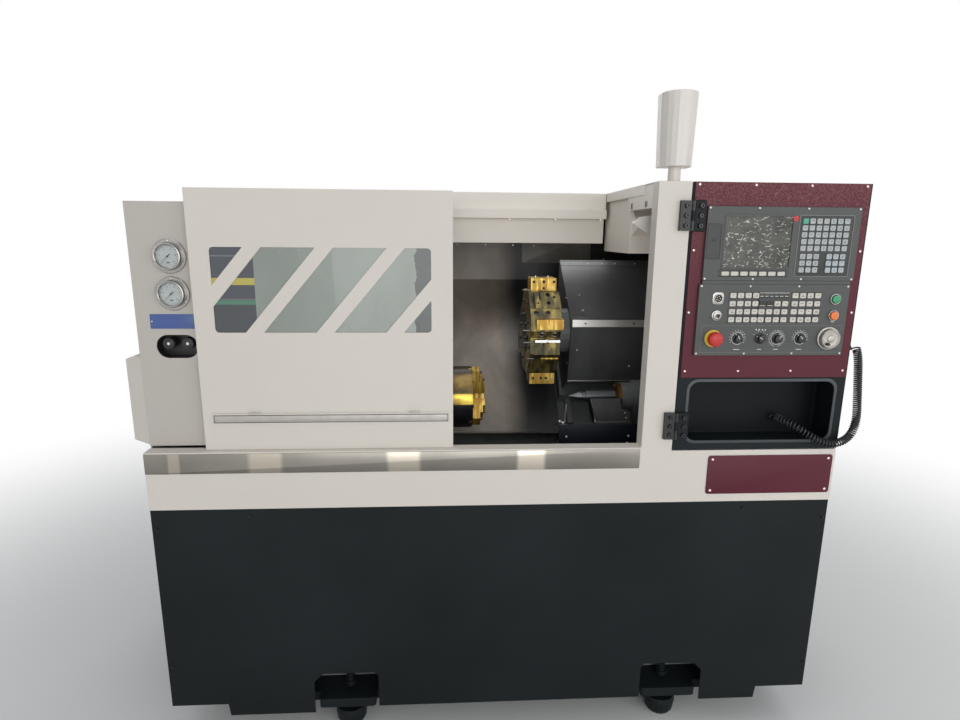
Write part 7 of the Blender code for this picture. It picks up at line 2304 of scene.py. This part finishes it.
class LATHE_OT_rear(bpy.types.Operator):
    """Fit the grille, latches, hinges, lifting eyes and screws at the back and the right"""

    bl_idname = "lathe.rear"
    bl_label = "Back and right-hand end"

    def behind(self, x, y, z):
        return facing((x, y, z), (-1, 0, 0), (0, 0, 1))

    def grille(self):
        """Two slanted slats in each of the cabinet's slots."""
        blade = slab(rounded(1.0, 1.0), 0.0, 1.0, ORIGIN)
        spots = []
        for i in range(sizes().slats):
            place = self.behind(0.05, 1.366, 0.5425 + 0.024 * (i // 2) + 0.005 * (i % 2))
            spots.append(
                (place @ Matrix.Rotation(math.radians(38), 4, "X"), (0.2385, 0.0042, 0.0009))
            )
        return repeated(blade, spots, "aluminium")

    def cabinet(self):
        latches, slots = [], []
        for x in (0.372, 0.328):
            for z in (0.62, 0.95, 1.28):
                latches.append(slab(disc(0.011, 28), -0.001, 0.0003, self.behind(x, 1.37, z)))
                # Black strips as painted shade in the latches' slots.
                slots.append(
                    slab(rounded(0.003, 0.013, 0.001), -0.0008, 0.0004, self.behind(x, 1.37, z))
                )
        hinges, eyes = [], []
        for x, side in ((-0.2, -1), (0.9, 1)):
            for z in (0.56, 0.945, 1.33):
                knuckle = Matrix.Translation((x + side * 0.005, 1.356, z))
                profile = [(0, -0.036), (0.007, -0.036), (0.007, 0.036), (0, 0.036)]
                hinges.append(lathe(profile, knuckle, 20))
                low, high = sorted((x, x + side * 0.0025))
                hinges.append(block((low, 1.318, z - 0.03), (high, 1.356, z + 0.03), 0.0008, 1))
            lift = Matrix.Translation((x - side * 0.09, 1.26, 1.47))
            eyes.append(
                lathe(
                    [(0, 0.0), (0.019, 0.0), (0.019, 0.006), (0.012, 0.009), (0, 0.009)], lift, 28
                )
            )
            loop = [lift @ Vector((u, 0.0, 0.025 + w)) for u, w in disc(0.017, 24)]
            eyes.append(tube(loop, 0.0052, 12))
        piece(
            "cabinet_fittings", "enclosure", (self.grille(), "aluminium"),
            (merged(*latches), "satin_chrome"),
            (merged(*slots), "ink_black"), (merged(*hinges), "hinge_black"),
            (merged(*eyes), "zinc"),
        )

    def screws_behind(self):
        columns = (-0.8, -0.57, -0.34, -0.11, 0.12, 0.34, 0.5, 0.72, 0.94)
        seats = [self.behind(x, 1.15, 1.665) for x in columns]
        seats += [self.behind(x, 1.15, z) for x in (-0.8, -0.57, -0.34, 0.94) for z in (0.86, 1.26)]
        seats += [
            facing((1.0, y, z), (0, 1, 0), (0, 0, 1)) for y in (0.2, 0.48, 0.8, 1.1)
            for z in (0.83, 1.655)
        ]
        piece("hood_screws", "enclosure", (screws(seats, "zinc", 0.0055), "zinc"))

    def execute(self, context):
        self.cabinet()
        self.screws_behind()
        return {"FINISHED"}


PIECES = (
    LATHE_OT_stage, LATHE_OT_cord, LATHE_OT_solids, LATHE_OT_front, LATHE_OT_door,
    LATHE_OT_control_plate,
    LATHE_OT_gauges, LATHE_OT_cnc_unit, LATHE_OT_operator_unit, LATHE_OT_chuck, LATHE_OT_turret,
    LATHE_OT_tailstock, LATHE_OT_interior, LATHE_OT_rear,
)


class LATHE_PT_dressing(bpy.types.Panel):
    """Lists the lathe's pieces, each with its own button"""

    bl_label = "Slant-bed lathe"
    bl_idname = "LATHE_PT_dressing"
    bl_space_type = "VIEW_3D"
    bl_region_type = "UI"
    bl_category = "Lathe"

    def draw(self, context):
        for group in (context.scene.lathe_sizes, context.scene.lathe_colours):
            box = self.layout.box()
            for name in group.__annotations__:
                box.prop(group, name)
        for operator in PIECES:
            self.layout.operator(operator.bl_idname)


def register():
    for cls in (LatheColours, LatheSizes, *PIECES, LATHE_PT_dressing):
        bpy.utils.register_class(cls)
    bpy.types.Scene.lathe_colours = PointerProperty(type=LatheColours)
    bpy.types.Scene.lathe_sizes = PointerProperty(type=LatheSizes)


def unregister():
    del bpy.types.Scene.lathe_sizes
    del bpy.types.Scene.lathe_colours
    for cls in reversed((LatheColours, LatheSizes, *PIECES, LATHE_PT_dressing)):
        bpy.utils.unregister_class(cls)


def main():
    register()
    for operator in PIECES:
        group, name = operator.bl_idname.split(".")
        getattr(getattr(bpy.ops, group), name)()
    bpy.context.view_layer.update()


if __name__ == "__main__":
    main()
